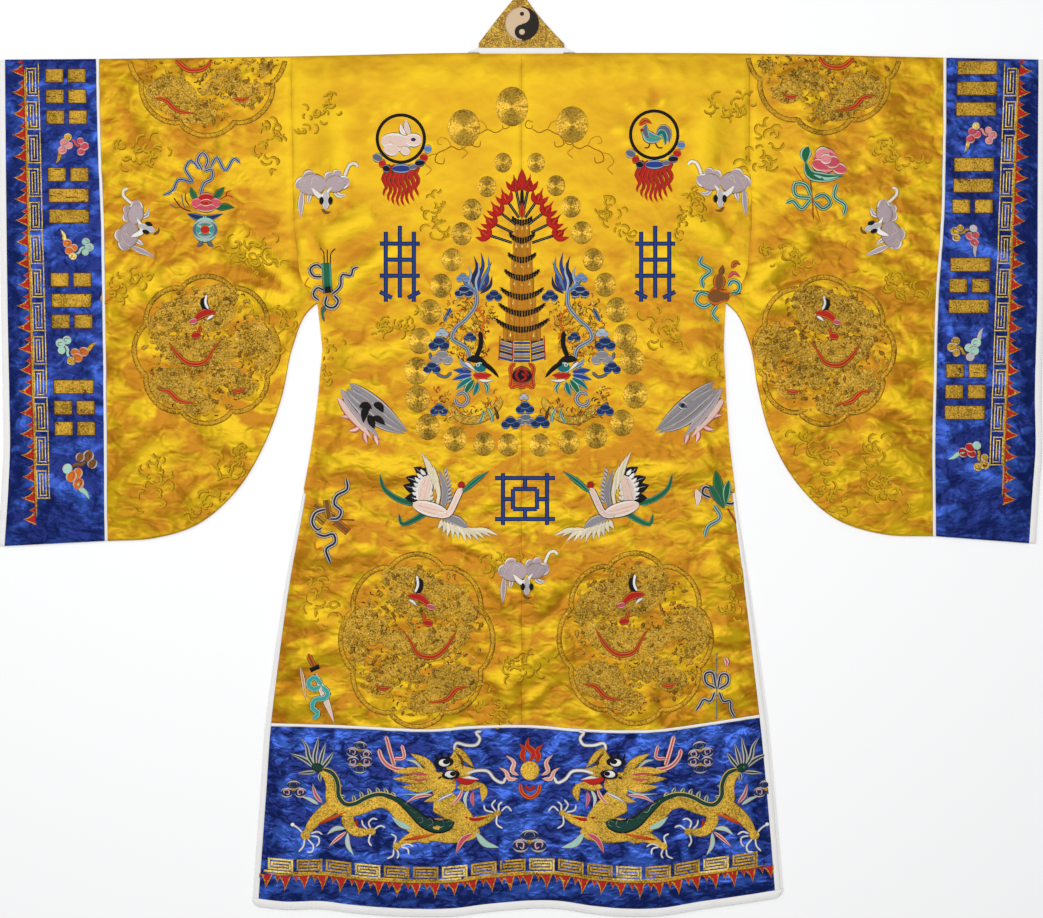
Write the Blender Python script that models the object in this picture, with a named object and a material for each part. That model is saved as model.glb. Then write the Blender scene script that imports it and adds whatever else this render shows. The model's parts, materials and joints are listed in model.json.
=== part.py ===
"""A wide-sleeved ceremonial robe, laid flat with its back up.

Each piece that is cut and sewn is its own object: a wall of cloth with the garment's true outline. The front panels
lie face down on the surface at z = 0 and the back panels lie on them, raised by the folds that the cloth keeps when it
is spread out. Sizes are metres. +X runs along the sleeves, +Y towards the collar and +Z up.
"""

from collections import namedtuple

import bpy
import numpy as np

# Cloth and the gaps between pieces
CLOTH = 0.0015
LAYER_GAP = 0.0006
SEAM_GAP = 0.0005
BACK_BASE = CLOTH + LAYER_GAP
FOLD_MIDDLE = (BACK_BASE + CLOTH) / 2
FOLD_INSET = 0.0018

# How the back panels rise off the front ones
LIFT = 0.0024
EDGE_FADE = 0.045

# Levels of the garment along Y
ARMPIT_Y = 0.243
SLIT_TOP_Y = -0.060
FRONT_HEM_RISE = 0.002

# Widths of the trimmings
SEAM_PIPING = 0.0048
CUFF_EDGE_PIPING = 0.0100
HEM_EDGE_PIPING = 0.0120
SIDE_PIPING_TOP = 0.0045
SIDE_PIPING_HEM = 0.0085
CORNER_RADIUS = 0.0100

# Neck, collar band and badge
NECK_HALF = 0.0690
NECK_PIPING_LOW = 0.6418
NECK_PIPING_HIGH = 0.6512
NECK_PIPING_TAIL = 0.0856
COLLAR_BASE_Y = 0.6517
BADGE_CENTRE = (0.0008, 0.6894)
BADGE_RADIUS = 0.0272
BADGE_THICK = 0.0012
BADGE_GAP = 0.0003

# The front layer lies a little to the right of the back one at the hem
FRONT_SHIFT = 0.0045
SHIFT_FROM_Y = 0.10
SHIFT_TO_Y = -0.44

# Grid steps
NECK_COLUMNS = 3
BODY_COLUMNS = 11
SLEEVE_COLUMNS = 12
CUFF_COLUMNS = 5
LOWER_ROWS = 24
UPPER_ROWS = 15
HEM_ROWS = 9
FRONT_LOWER_ROWS = 9
FRONT_UPPER_ROWS = 5
FRONT_HEM_ROWS = 3
BADGE_SPOKES = 24

Side = namedtuple("Side", "name sign")
LEFT = Side("left", -1.0)
RIGHT = Side("right", 1.0)

# Half widths to the left and right of the centre, from the armpit to the hem
SideEdge = namedtuple("SideEdge", "y left right")
SIDE_EDGE = (
    SideEdge(0.243, 0.3265, 0.3265),
    SideEdge(0.222, 0.3210, 0.3240),
    SideEdge(0.118, 0.3230, 0.3260),
    SideEdge(0.046, 0.3310, 0.3300),
    SideEdge(-0.072, 0.3510, 0.3430),
    SideEdge(-0.200, 0.3760, 0.3610),
    SideEdge(-0.346, 0.3980, 0.3800),
    SideEdge(-0.435, 0.4095, 0.3910),
    SideEdge(-0.541, 0.4170, 0.4010),
    SideEdge(-0.735, 0.4310, 0.4170),
)

# Half widths of the seam between body and sleeve, from the shoulder to the armpit
ArmSeam = namedtuple("ArmSeam", "y left right")
ARM_SEAM = (
    ArmSeam(0.643, 0.3690, 0.3650),
    ArmSeam(0.488, 0.3660, 0.3650),
    ArmSeam(0.328, 0.3590, 0.3640),
    ArmSeam(0.278, 0.3500, 0.3540),
    ArmSeam(0.243, 0.3265, 0.3265),
)

# Lower edge of the sleeve, from the armpit to the cuff seam
Underarm = namedtuple("Underarm", "left_x left_y right_x right_y")
UNDERARM = (
    Underarm(0.3265, 0.2430, 0.3265, 0.2430),
    Underarm(0.3410, 0.2300, 0.3400, 0.2310),
    Underarm(0.3660, 0.1740, 0.3650, 0.1790),
    Underarm(0.3840, 0.0940, 0.3790, 0.1040),
    Underarm(0.4120, 0.0180, 0.4020, 0.0240),
    Underarm(0.4600, -0.0600, 0.4420, -0.0450),
    Underarm(0.5220, -0.1120, 0.5040, -0.1020),
    Underarm(0.5900, -0.1330, 0.5830, -0.1270),
    Underarm(0.6640, -0.1375, 0.6605, -0.1300),
)

# Half widths of the seam between sleeve and cuff, and of the cuff's outer edge
CuffSeam = namedtuple("CuffSeam", "y left right")
CUFF_SEAM = (
    CuffSeam(0.636, 0.6780, 0.6770),
    CuffSeam(0.472, 0.6740, 0.6755),
    CuffSeam(0.376, 0.6700, 0.6730),
    CuffSeam(0.264, 0.6680, 0.6650),
    CuffSeam(0.120, 0.6660, 0.6610),
    CuffSeam(0.008, 0.6650, 0.6590),
    CuffSeam(-0.138, 0.6640, 0.6605),
)
CuffEdge = namedtuple("CuffEdge", "y left right")
CUFF_EDGE = (
    CuffEdge(0.632, 0.8360, 0.8368),
    CuffEdge(0.408, 0.8340, 0.8355),
    CuffEdge(0.248, 0.8320, 0.8350),
    CuffEdge(0.088, 0.8290, 0.8310),
    CuffEdge(0.010, 0.8280, 0.8320),
    CuffEdge(-0.060, 0.8310, 0.8270),
    CuffEdge(-0.146, 0.8368, 0.8215),
)
CUFF_FOOT_Y = {"left": -0.1456, "right": -0.1412}

# Height of the shoulder fold along the sleeves
Shoulder = namedtuple("Shoulder", "x y")
SHOULDER = (
    Shoulder(-0.836, 0.6325),
    Shoulder(-0.678, 0.6335),
    Shoulder(-0.369, 0.6375),
    Shoulder(-0.090, 0.6431),
    Shoulder(0.090, 0.6431),
    Shoulder(0.365, 0.6420),
    Shoulder(0.676, 0.6355),
    Shoulder(0.836, 0.6325),
)

# Seam above the hem band, and the hem's lower edge
HemSeam = namedtuple("HemSeam", "x y")
HEM_SEAM = (
    HemSeam(-0.410, -0.431),
    HemSeam(-0.295, -0.434),
    HemSeam(-0.210, -0.438),
    HemSeam(-0.142, -0.440),
    HemSeam(-0.090, -0.436),
    HemSeam(0.014, -0.434),
    HemSeam(0.094, -0.440),
    HemSeam(0.158, -0.442),
    HemSeam(0.222, -0.440),
    HemSeam(0.286, -0.432),
    HemSeam(0.350, -0.422),
    HemSeam(0.392, -0.416),
)
HemEdge = namedtuple("HemEdge", "x y")
HEM_EDGE = (
    HemEdge(-0.430, -0.7200),
    HemEdge(-0.382, -0.7260),
    HemEdge(-0.318, -0.7255),
    HemEdge(-0.274, -0.7310),
    HemEdge(-0.170, -0.7376),
    HemEdge(-0.110, -0.7370),
    HemEdge(-0.050, -0.7295),
    HemEdge(0.060, -0.7250),
    HemEdge(0.114, -0.7330),
    HemEdge(0.175, -0.7376),
    HemEdge(0.225, -0.7360),
    HemEdge(0.286, -0.7260),
    HemEdge(0.350, -0.7170),
    HemEdge(0.414, -0.7070),
)

# Folded edge of the collar, from the neck's side to the tip at the centre
CollarTop = namedtuple("CollarTop", "x left right")
COLLAR_TOP = (
    CollarTop(0.0000, 0.7376, 0.7370),
    CollarTop(0.0060, 0.7350, 0.7310),
    CollarTop(0.0270, 0.7120, 0.7030),
    CollarTop(0.0500, 0.6830, 0.6770),
    CollarTop(0.0690, 0.6580, 0.6570),
)

# Largest folds of the back: a ridge from one end to the other, its half width and its height
Fold = namedtuple("Fold", "x0 y0 x1 y1 half_width height")
FOLDS = (
    Fold(-0.335, 0.250, -0.470, 0.357, 0.022, 0.0060),
    Fold(-0.338, 0.236, -0.460, 0.264, 0.020, 0.0050),
    Fold(-0.354, 0.200, -0.440, 0.172, 0.020, 0.0040),
    Fold(-0.663, 0.232, -0.520, 0.310, 0.022, 0.0050),
    Fold(-0.665, -0.085, -0.540, 0.042, 0.028, 0.0070),
    Fold(-0.665, 0.152, -0.570, 0.178, 0.020, 0.0035),
    Fold(-0.655, 0.030, -0.585, 0.072, 0.020, 0.0035),
    Fold(-0.450, 0.630, -0.474, 0.430, 0.026, 0.0030),
    Fold(-0.610, 0.600, -0.560, 0.450, 0.024, 0.0030),
    Fold(-0.420, -0.010, -0.510, 0.070, 0.024, 0.0040),
    Fold(0.343, 0.250, 0.465, 0.350, 0.022, 0.0055),
    Fold(0.346, 0.236, 0.472, 0.258, 0.020, 0.0050),
    Fold(0.362, 0.200, 0.450, 0.163, 0.020, 0.0040),
    Fold(0.662, 0.248, 0.526, 0.312, 0.022, 0.0045),
    Fold(0.662, -0.072, 0.545, 0.050, 0.028, 0.0065),
    Fold(0.655, 0.052, 0.570, 0.098, 0.020, 0.0040),
    Fold(0.660, 0.165, 0.580, 0.180, 0.020, 0.0030),
    Fold(0.446, 0.630, 0.466, 0.440, 0.026, 0.0030),
    Fold(0.590, 0.590, 0.555, 0.470, 0.024, 0.0025),
    Fold(0.408, 0.004, 0.492, 0.080, 0.024, 0.0040),
    Fold(-0.815, 0.330, -0.690, 0.385, 0.022, 0.0035),
    Fold(-0.810, -0.020, -0.690, -0.075, 0.024, 0.0045),
    Fold(-0.815, 0.120, -0.700, 0.090, 0.020, 0.0030),
    Fold(0.815, 0.300, 0.690, 0.350, 0.022, 0.0035),
    Fold(0.812, -0.060, 0.690, -0.010, 0.024, 0.0045),
    Fold(0.815, 0.110, 0.700, 0.130, 0.020, 0.0030),
    Fold(-0.325, 0.340, -0.235, 0.388, 0.020, 0.0045),
    Fold(-0.308, 0.262, -0.184, 0.338, 0.020, 0.0045),
    Fold(0.323, 0.262, 0.205, 0.330, 0.020, 0.0045),
    Fold(0.330, 0.344, 0.252, 0.384, 0.020, 0.0040),
    Fold(-0.310, 0.146, -0.170, 0.178, 0.020, 0.0035),
    Fold(0.315, 0.134, 0.174, 0.178, 0.020, 0.0035),
    Fold(-0.335, -0.004, -0.160, -0.026, 0.022, 0.0045),
    Fold(0.338, -0.010, 0.166, -0.034, 0.022, 0.0045),
    Fold(-0.300, 0.560, -0.285, 0.430, 0.026, 0.0030),
    Fold(0.300, 0.570, 0.290, 0.440, 0.026, 0.0030),
    Fold(-0.370, -0.168, -0.226, -0.142, 0.020, 0.0050),
    Fold(-0.382, -0.248, -0.272, -0.282, 0.020, 0.0045),
    Fold(-0.394, -0.328, -0.270, -0.302, 0.020, 0.0055),
    Fold(-0.400, -0.402, -0.280, -0.374, 0.020, 0.0050),
    Fold(-0.050, -0.166, 0.064, -0.234, 0.022, 0.0050),
    Fold(-0.044, -0.378, 0.080, -0.294, 0.024, 0.0060),
    Fold(0.292, -0.166, 0.364, -0.218, 0.020, 0.0045),
    Fold(0.284, -0.298, 0.376, -0.270, 0.020, 0.0050),
    Fold(0.292, -0.394, 0.384, -0.358, 0.020, 0.0050),
    Fold(-0.178, -0.728, -0.170, -0.300, 0.044, 0.0060),
    Fold(0.198, -0.728, 0.190, -0.300, 0.044, 0.0060),
    Fold(0.014, -0.720, 0.006, -0.470, 0.030, 0.0030),
    Fold(-0.352, -0.716, -0.338, -0.450, 0.030, 0.0040),
    Fold(0.342, -0.708, 0.326, -0.450, 0.030, 0.0040),
)

# Finishes: colour, roughness and metallic value
Finish = namedtuple("Finish", "colour roughness metallic")
YELLOW_SATIN = Finish((0.79, 0.53, 0.035), 0.38, 0.0)
BLUE_SATIN = Finish((0.02, 0.07, 0.36), 0.36, 0.0)
WHITE_PIPING = Finish((0.86, 0.85, 0.83), 0.60, 0.0)
GOLD_BROCADE = Finish((0.55, 0.40, 0.10), 0.42, 0.3)
BADGE_SATIN = Finish((0.10, 0.10, 0.10), 0.45, 0.0)


def smooth(at, knots, values):
    """Cubic Hermite curve through the knots, each slope taken from the neighbouring knots."""
    knots = np.asarray(knots, float)
    values = np.asarray(values, float)
    order = np.argsort(knots)
    knots = knots[order]
    values = values[order]
    slopes = np.gradient(values, knots)
    low = np.clip(np.searchsorted(knots, at) - 1, 0, len(knots) - 2)
    step = knots[low + 1] - knots[low]
    t = np.clip((at - knots[low]) / step, 0, 1)
    stay = 2 * t**3 - 3 * t**2 + 1
    leave = t**3 - 2 * t**2 + t
    arrive = t**3 - t**2
    ends = stay * values[low] + (1 - stay) * values[low + 1]
    return ends + step * (leave * slopes[low] + arrive * slopes[low + 1])


def column_of(table, name):
    return [getattr(row, name) for row in table]


def read(table, key, name, at):
    """One column of a table as a smooth function of another."""
    return smooth(at, column_of(table, key), column_of(table, name))


def mix(start, end, share):
    return start + (end - start) * share


def ease(share):
    """0 below 0, 1 above 1 and a soft step between."""
    share = np.clip(share, 0, 1)
    return share * share * (3 - 2 * share)


def shoulder_y(x):
    return read(SHOULDER, "x", "y", x)


def hem_seam_y(x):
    return read(HEM_SEAM, "x", "y", x)


def hem_edge_y(x):
    return read(HEM_EDGE, "x", "y", x)


def side_half(side, y):
    """Half width at a height: the side edge below the armpit and the arm seam above it."""
    below = read(SIDE_EDGE, "y", side.name, y)
    above = read(ARM_SEAM, "y", side.name, y)
    return np.where(y < ARMPIT_Y, below, above)


def side_piping_width(y):
    share = (SLIT_TOP_Y - y) / (SLIT_TOP_Y - HEM_SEAM[0].y)
    return mix(SIDE_PIPING_TOP, SIDE_PIPING_HEM, np.clip(share, 0, 1))


def underarm(side, share):
    """A point of the sleeve's lower edge at a share of its length."""
    x = np.array(column_of(UNDERARM, side.name + "_x"))
    y = np.array(column_of(UNDERARM, side.name + "_y"))
    length = np.concatenate([[0], np.cumsum(np.hypot(np.diff(x), np.diff(y)))])
    length /= length[-1]
    return np.stack([side.sign * smooth(share, length, x), smooth(share, length, y)], axis=-1)


def arm_seam(side, v):
    """A point of the arm seam, v running from 0 at the shoulder to 1 at the armpit."""
    top = shoulder_y(side.sign * ARM_SEAM[0].left)
    y = mix(top, ARMPIT_Y, v)
    return np.stack([side.sign * read(ARM_SEAM, "y", side.name, y), y], axis=-1)


def cuff_seam(side, v):
    last = UNDERARM[-1]
    foot = getattr(last, side.name + "_y")
    y = mix(shoulder_y(side.sign * CUFF_SEAM[0].left), foot, v)
    return np.stack([side.sign * read(CUFF_SEAM, "y", side.name, y), y], axis=-1)


def cuff_edge(side, v):
    y = mix(shoulder_y(side.sign * CUFF_EDGE[0].left), CUFF_FOOT_Y[side.name], v)
    return np.stack([side.sign * read(CUFF_EDGE, "y", side.name, y), y], axis=-1)


def front_shift(y):
    return FRONT_SHIFT * ease((SHIFT_FROM_Y - y) / (SHIFT_FROM_Y - SHIFT_TO_Y))


def outline():
    """The robe's outline without its collar, as one closed ring of points."""
    share = np.linspace(0, 1, 25)
    ring = []
    for side in (RIGHT, LEFT):
        y = mix(SIDE_EDGE[-1].y, ARMPIT_Y, share[:-1])
        half = [
            np.stack([side.sign * side_half(side, y), y], axis=-1),
            underarm(side, share),
            cuff_edge(side, 1 - share),
        ]
        x = side.sign * mix(CUFF_EDGE[0].right, 0, share)
        half.append(np.stack([x, shoulder_y(x)], axis=-1))
        half = np.concatenate(half)
        ring.append(half if side is RIGHT else half[::-1])
    x = mix(-HEM_EDGE[-1].x, HEM_EDGE[-1].x, share)
    ring.append(np.stack([x, hem_edge_y(x)], axis=-1))
    return np.concatenate(ring)


def distance_to(ring, x, y):
    """Distance from each point to the nearest side of the ring."""
    start = ring
    along = np.roll(ring, -1, axis=0) - start
    length = np.maximum((along**2).sum(axis=1), 1e-12)
    dx = x[..., None] - start[:, 0]
    dy = y[..., None] - start[:, 1]
    share = np.clip((dx * along[:, 0] + dy * along[:, 1]) / length, 0, 1)
    return np.hypot(dx - share * along[:, 0], dy - share * along[:, 1]).min(axis=-1)


def rise(plan):
    """Height of the back's underside over a plan: the lift and the folds, fading to nothing at the outline."""
    x = plan[..., 0]
    y = plan[..., 1]
    height = np.full(x.shape, LIFT)
    for fold in FOLDS:
        along_x = fold.x1 - fold.x0
        along_y = fold.y1 - fold.y0
        length = np.hypot(along_x, along_y)
        share = ((x - fold.x0) * along_x + (y - fold.y0) * along_y) / length**2
        across = ((x - fold.x0) * along_y - (y - fold.y0) * along_x) / length
        taper = np.clip(4 * share * (1 - share), 0, 1) ** 0.5
        height += fold.height * taper * np.exp(-((across / fold.half_width) ** 2))
    fade = ease(distance_to(OUTLINE, x, y) / EDGE_FADE)
    return BACK_BASE + height * fade * (y < shoulder_y(x))


def wall(plan, low):
    """A wall of cloth over a plan: its upper and its lower points."""
    low = np.broadcast_to(low, plan.shape[:-1])
    lower = np.concatenate([plan, low[..., None]], axis=-1)
    upper = lower + np.array([0, 0, CLOTH])
    return upper, lower


def back_wall(plan):
    return wall(plan, rise(plan))


def shifted(plan):
    """The front layer's plan, moved aside towards the hem."""
    moved = plan.copy()
    moved[..., 0] += front_shift(plan[..., 1])
    return moved


def fold_row(edge, inwards):
    """The turned edge between two layers: outer points on the edge, inner points a wall's thickness inside."""
    outer = np.concatenate([edge, np.full(edge.shape[:-1] + (1,), FOLD_MIDDLE)], axis=-1)
    inner = outer.copy()
    inner[..., :2] += inwards * CLOTH
    return outer, inner


def pair_keys(a, b):
    return np.stack([np.minimum(a, b), np.maximum(a, b)], axis=-1)


def solid_sheet(outer, inner, active=None, closed=False):
    """A closed body from two matching grids of points, with walls round the edge of the active cells.

    outer and inner have a point for each row and column. closed joins the last row to the first. Both faces of a cell
    are cut along the same diagonal, the one that bends less, so that they never cross.
    """
    rows, columns = outer.shape[:2]
    count = rows * columns
    cell_rows = rows if closed else rows - 1
    r, c = np.meshgrid(np.arange(cell_rows), np.arange(columns - 1), indexing="ij")
    if active is not None:
        r, c = r[active], c[active]
    r, c = r.ravel(), c.ravel()
    after = (r + 1) % rows
    corners = [r * columns + c, r * columns + c + 1, after * columns + c + 1, after * columns + c]
    points = np.concatenate([outer.reshape(-1, 3), inner.reshape(-1, 3)])
    z = outer.reshape(-1, 3)[:, 2]
    turn = np.abs(z[corners[0]] - z[corners[2]]) > np.abs(z[corners[1]] - z[corners[3]])
    a, b, d, e = [np.where(turn, corners[(i + 1) % 4], corners[i]) for i in range(4)]
    upper = np.concatenate([np.stack([a, b, d], axis=-1), np.stack([a, d, e], axis=-1)])
    lower = upper[:, ::-1] + count
    starts = np.concatenate([corners[i] for i in range(4)])
    ends = np.concatenate([corners[(i + 1) % 4] for i in range(4)])
    _, index, uses = np.unique(pair_keys(starts, ends), axis=0, return_inverse=True, return_counts=True)
    rim = uses[index.reshape(-1)] == 1
    starts, ends = starts[rim], ends[rim]
    first = np.stack([ends, starts, starts + count], axis=-1)
    second = np.stack([ends, starts + count, ends + count], axis=-1)
    faces = np.concatenate([upper, lower, first, second])
    used, faces = np.unique(faces, return_inverse=True)
    faces = faces.reshape(-1, 3)
    points = points[used]
    centred = points - points.mean(axis=0)
    if np.linalg.det(centred[faces]).sum() < 0:
        faces = faces[:, ::-1]
    return points, faces


def make_material(name, finish):
    material = bpy.data.materials.new(name)
    material.use_nodes = True
    shader = material.node_tree.nodes["Principled BSDF"]
    shader.inputs["Base Color"].default_value = (*finish.colour, 1.0)
    shader.inputs["Roughness"].default_value = finish.roughness
    shader.inputs["Metallic"].default_value = finish.metallic
    return material


def add_object(name, solid, finish):
    points, faces = solid
    mesh = bpy.data.meshes.new(name)
    mesh.from_pydata(points.tolist(), [], faces.tolist())
    mesh.validate()
    mesh.materials.append(make_material(name, finish))
    piece = bpy.data.objects.new(name, mesh)
    bpy.context.scene.collection.objects.link(piece)
    return piece


def flat_tube(inner_edge, outer_edge, top_edge=None, bottom_edge=None, columns=1):
    """A flattened tube between two edges that run from the shoulder fold round the underarm fold and back.

    The plan is a Coons patch. inner_edge and outer_edge give its points at v, from 0 at the shoulder to 1 at the
    underarm. top_edge and bottom_edge, straight where they aren't given, give its points at u along the sleeve.
    """
    u = np.linspace(0, 1, columns + 1)

    def patch(v):
        start = inner_edge(v)[:, None]
        end = outer_edge(v)[:, None]
        ruled = mix(start, end, u[None, :, None])
        for edge, corner, share in ((top_edge, 0.0, 1 - v), (bottom_edge, 1.0, v)):
            if edge is not None:
                first = inner_edge(np.array([corner]))[0]
                last = outer_edge(np.array([corner]))[0]
                bow = edge(u) - mix(first, last, u[:, None])
                ruled = ruled + share[:, None, None] * bow[None]
        return ruled

    top = patch(TOP_V[1:-1])
    bottom = patch(BOTTOM_V[1:-1])[::-1]
    shoulder = patch(np.array([0.0]))[0]
    foot = patch(np.array([1.0]))[0]
    into_foot = top[-1] - foot
    into_foot /= np.linalg.norm(into_foot, axis=-1, keepdims=True)
    into_shoulder = top[0] - shoulder
    into_shoulder /= np.linalg.norm(into_shoulder, axis=-1, keepdims=True)
    top_upper, top_lower = back_wall(top)
    foot_outer, foot_inner = fold_row(foot, into_foot)
    front_upper, front_lower = wall(bottom, 0.0)
    shoulder_outer, shoulder_inner = fold_row(shoulder, into_shoulder)
    outer = np.concatenate([top_upper, foot_outer[None], front_lower, shoulder_outer[None]])
    inner = np.concatenate([top_lower, foot_inner[None], front_upper, shoulder_inner[None]])
    return solid_sheet(outer, inner, closed=True)


def beside(edge, offset, side):
    """An edge moved along X, away from the centre by offset."""
    return lambda v: edge(side, v) + np.array([side.sign * offset, 0.0])


def column_x(columns, half):
    """X of each column: 0 to 1 spans the neck and 1 to 2 the rest of the half width."""
    neck = np.minimum(columns, 1) * NECK_HALF
    return neck + np.maximum(columns - 1, 0) * (half - NECK_HALF)


def side_inset(y):
    """Room for the side piping, from the slit down."""
    return np.where(y < SLIT_TOP_Y, side_piping_width(y) + SEAM_GAP, 0.0)


def body_plan(side, levels, columns):
    """Plan of a body half: level -1 is the hem seam, 0 the armpit and 1 the shoulder fold."""
    level = levels[:, None]
    column = columns[None, :]
    foot_y = hem_seam_y(side.sign * SIDE_EDGE[-3].left)
    top_y = shoulder_y(side.sign * ARM_SEAM[0].left)
    side_y = np.where(level < 0, mix(ARMPIT_Y, foot_y, -level), mix(ARMPIT_Y, top_y, level))
    half = side_half(side, side_y) - side_inset(side_y) - np.where(level > 0, SEAM_GAP / 2, 0.0)
    x = side.sign * np.maximum(column_x(column, half), SEAM_GAP / 2)
    foot_half = side_half(side, foot_y) - side_inset(foot_y)
    foot_x = side.sign * column_x(column, foot_half)
    foot = hem_seam_y(foot_x) + SEAM_PIPING / 2 + SEAM_GAP
    y = np.where(level < 0, mix(ARMPIT_Y, foot, -level), mix(ARMPIT_Y, shoulder_y(x), level))
    return np.stack([x, y], axis=-1)


def body_half(side):
    """Back and front of one half in one piece, turned at the shoulder."""
    back = body_plan(side, BACK_LEVELS, BODY_C)
    turn = body_plan(side, np.array([1.0]), BODY_C)[0]
    front = shifted(body_plan(side, FRONT_LEVELS[::-1], BODY_C))
    back_upper, back_lower = back_wall(back)
    turn_outer, turn_inner = fold_row(turn, np.array([0.0, -1.0]))
    front_upper, front_lower = wall(front, 0.0)
    outer = np.concatenate([back_upper, turn_outer[None], front_lower])
    inner = np.concatenate([back_lower, turn_inner[None], front_upper])
    active = np.ones((len(outer) - 1, len(BODY_C) - 1), bool)
    active[len(back) - 1 :, :NECK_COLUMNS] = False
    return solid_sheet(outer, inner, active)


def hem_plan(edge_y, seam_y, shares, columns, sides):
    """Plan of a strip across the skirt from its lower edge, share 0, to its upper edge, share 1."""
    plans = []
    for side in sides:
        ordered = columns[::-1] if side is LEFT else columns
        foot = side_half(side, seam_y(0.0))
        guide = side.sign * column_x(ordered, foot)
        for _ in range(2):
            y = mix(edge_y(guide), seam_y(guide), shares[:, None])
            half = side_half(side, y) - side_inset(y)
            x = side.sign * column_x(ordered[None, :], half)
            guide = x[0]
        y = mix(edge_y(x), seam_y(x), shares[:, None])
        plans.append(np.stack([x, y], axis=-1))
    if len(plans) == 2:
        plans[1] = plans[1][:, 1:]
    return np.concatenate(plans, axis=1)


def shifted_up(curve, offset):
    return lambda x: curve(x) + offset


def hem_edge_plan(sides, columns, rise_by):
    """Plan of the binding along the hem, its outer corners rounded."""
    plan = hem_plan(
        shifted_up(hem_edge_y, rise_by),
        shifted_up(hem_edge_y, rise_by + HEM_EDGE_PIPING),
        np.array([0.0, 1.0]),
        columns,
        sides,
    )
    for side in sides:
        at = 0 if side is LEFT else -1
        corner = plan[:, at]
        end = side.sign * side_half(side, corner[0, 1])
        spare = np.abs(end - corner[0, 0])
        inset = np.array([0.62, 0.30, 0.10, 0.0]) * spare
        x = end - side.sign * inset
        cut = np.maximum(CORNER_RADIUS - inset, 0)
        lift = CORNER_RADIUS - np.sqrt(CORNER_RADIUS**2 - cut**2)
        lift = np.minimum(lift, HEM_EDGE_PIPING - 0.0015)
        low = hem_edge_y(x) + rise_by + lift
        high = hem_edge_y(x) + rise_by + HEM_EDGE_PIPING
        more = np.stack([np.stack([x, low], axis=-1), np.stack([x, high], axis=-1)])
        if side is LEFT:
            plan = np.concatenate([more[:, ::-1], plan], axis=1)
        else:
            plan = np.concatenate([plan, more], axis=1)
    return plan


def side_piping_plan(side, body_levels, hem_shares, rise_by):
    """Plan of the binding down the side, sharing its rows with the body and the hem."""
    last = np.array([2.0])
    low = shifted_up(hem_edge_y, rise_by + HEM_EDGE_PIPING + SEAM_GAP)
    high = shifted_up(hem_seam_y, -SEAM_PIPING / 2 - SEAM_GAP)
    body = body_plan(side, body_levels, last)[:, 0]
    hem = hem_plan(low, high, hem_shares, last, (side,))[:, 0]
    y = np.concatenate([hem[:, 1], body[:, 1]])
    outer_x = side.sign * side_half(side, y)
    inner_x = outer_x - side.sign * side_piping_width(y)
    outer_y = y.copy()
    outer_y[0] = low(outer_x[0])
    return np.stack([np.stack([inner_x, y], axis=-1), np.stack([outer_x, outer_y], axis=-1)], axis=1)


def collar_half(side):
    """The collar band of one side: its mitred end at the back of the neck, turned over and on down the front."""
    x = np.linspace(SEAM_GAP / 2, NECK_HALF - SEAM_GAP, NECK_COLUMNS + 1)
    top_y = read(COLLAR_TOP, "x", side.name, x)
    near_top = top_y - FOLD_INSET
    back_y = mix(COLLAR_BASE_Y, near_top[None, :], np.array([0.0, 0.5, 1.0])[:, None])
    neck_y = np.full_like(x, shoulder_y(0.0))
    level_rows = body_plan(side, FRONT_LEVELS[::-1][1:], np.array([1.0]))[:, 0, 1]
    hem_rows = hem_plan(
        shifted_up(hem_edge_y, FRONT_HEM_RISE),
        shifted_up(hem_seam_y, 0.0),
        FRONT_HEM_SHARES[:-1],
        np.array([1.0]),
        (side,),
    )[::-1, 0, 1]
    down = np.concatenate([level_rows, hem_rows])[:, None] + 0 * x[None, :]
    front_y = np.concatenate([near_top[None, :], neck_y[None, :], down])
    back = np.stack([side.sign * x + 0 * back_y, back_y], axis=-1)
    front = shifted(np.stack([side.sign * x + 0 * front_y, front_y], axis=-1))
    back_upper, back_lower = back_wall(back)
    turn_outer, turn_inner = fold_row(np.stack([side.sign * x, top_y], axis=-1), np.array([0.0, -1.0]))
    front_upper, front_lower = wall(front, 0.0)
    outer = np.concatenate([back_upper, turn_outer[None], front_lower])
    inner = np.concatenate([back_lower, turn_inner[None], front_upper])
    return solid_sheet(outer, inner)


def neck_piping_plan():
    """Plan of the white strip under the collar, its tails pointed."""
    half = np.array([0.0, 0.023, 0.046, 0.0655, 0.0688, 0.0780, NECK_PIPING_TAIL])
    tail = np.clip((half - half[4]) / (NECK_PIPING_TAIL - half[4]), 0, 1)
    low = np.where(half < half[4], NECK_PIPING_LOW, shoulder_y(0.0) + SEAM_GAP)
    high = mix(NECK_PIPING_HIGH, low + 0.0006, tail)
    x = np.concatenate([-half[:0:-1], half])
    low = np.concatenate([low[:0:-1], low])
    high = np.concatenate([high[:0:-1], high])
    return np.stack([np.stack([x, low], axis=-1), np.stack([x, high], axis=-1)])


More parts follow.
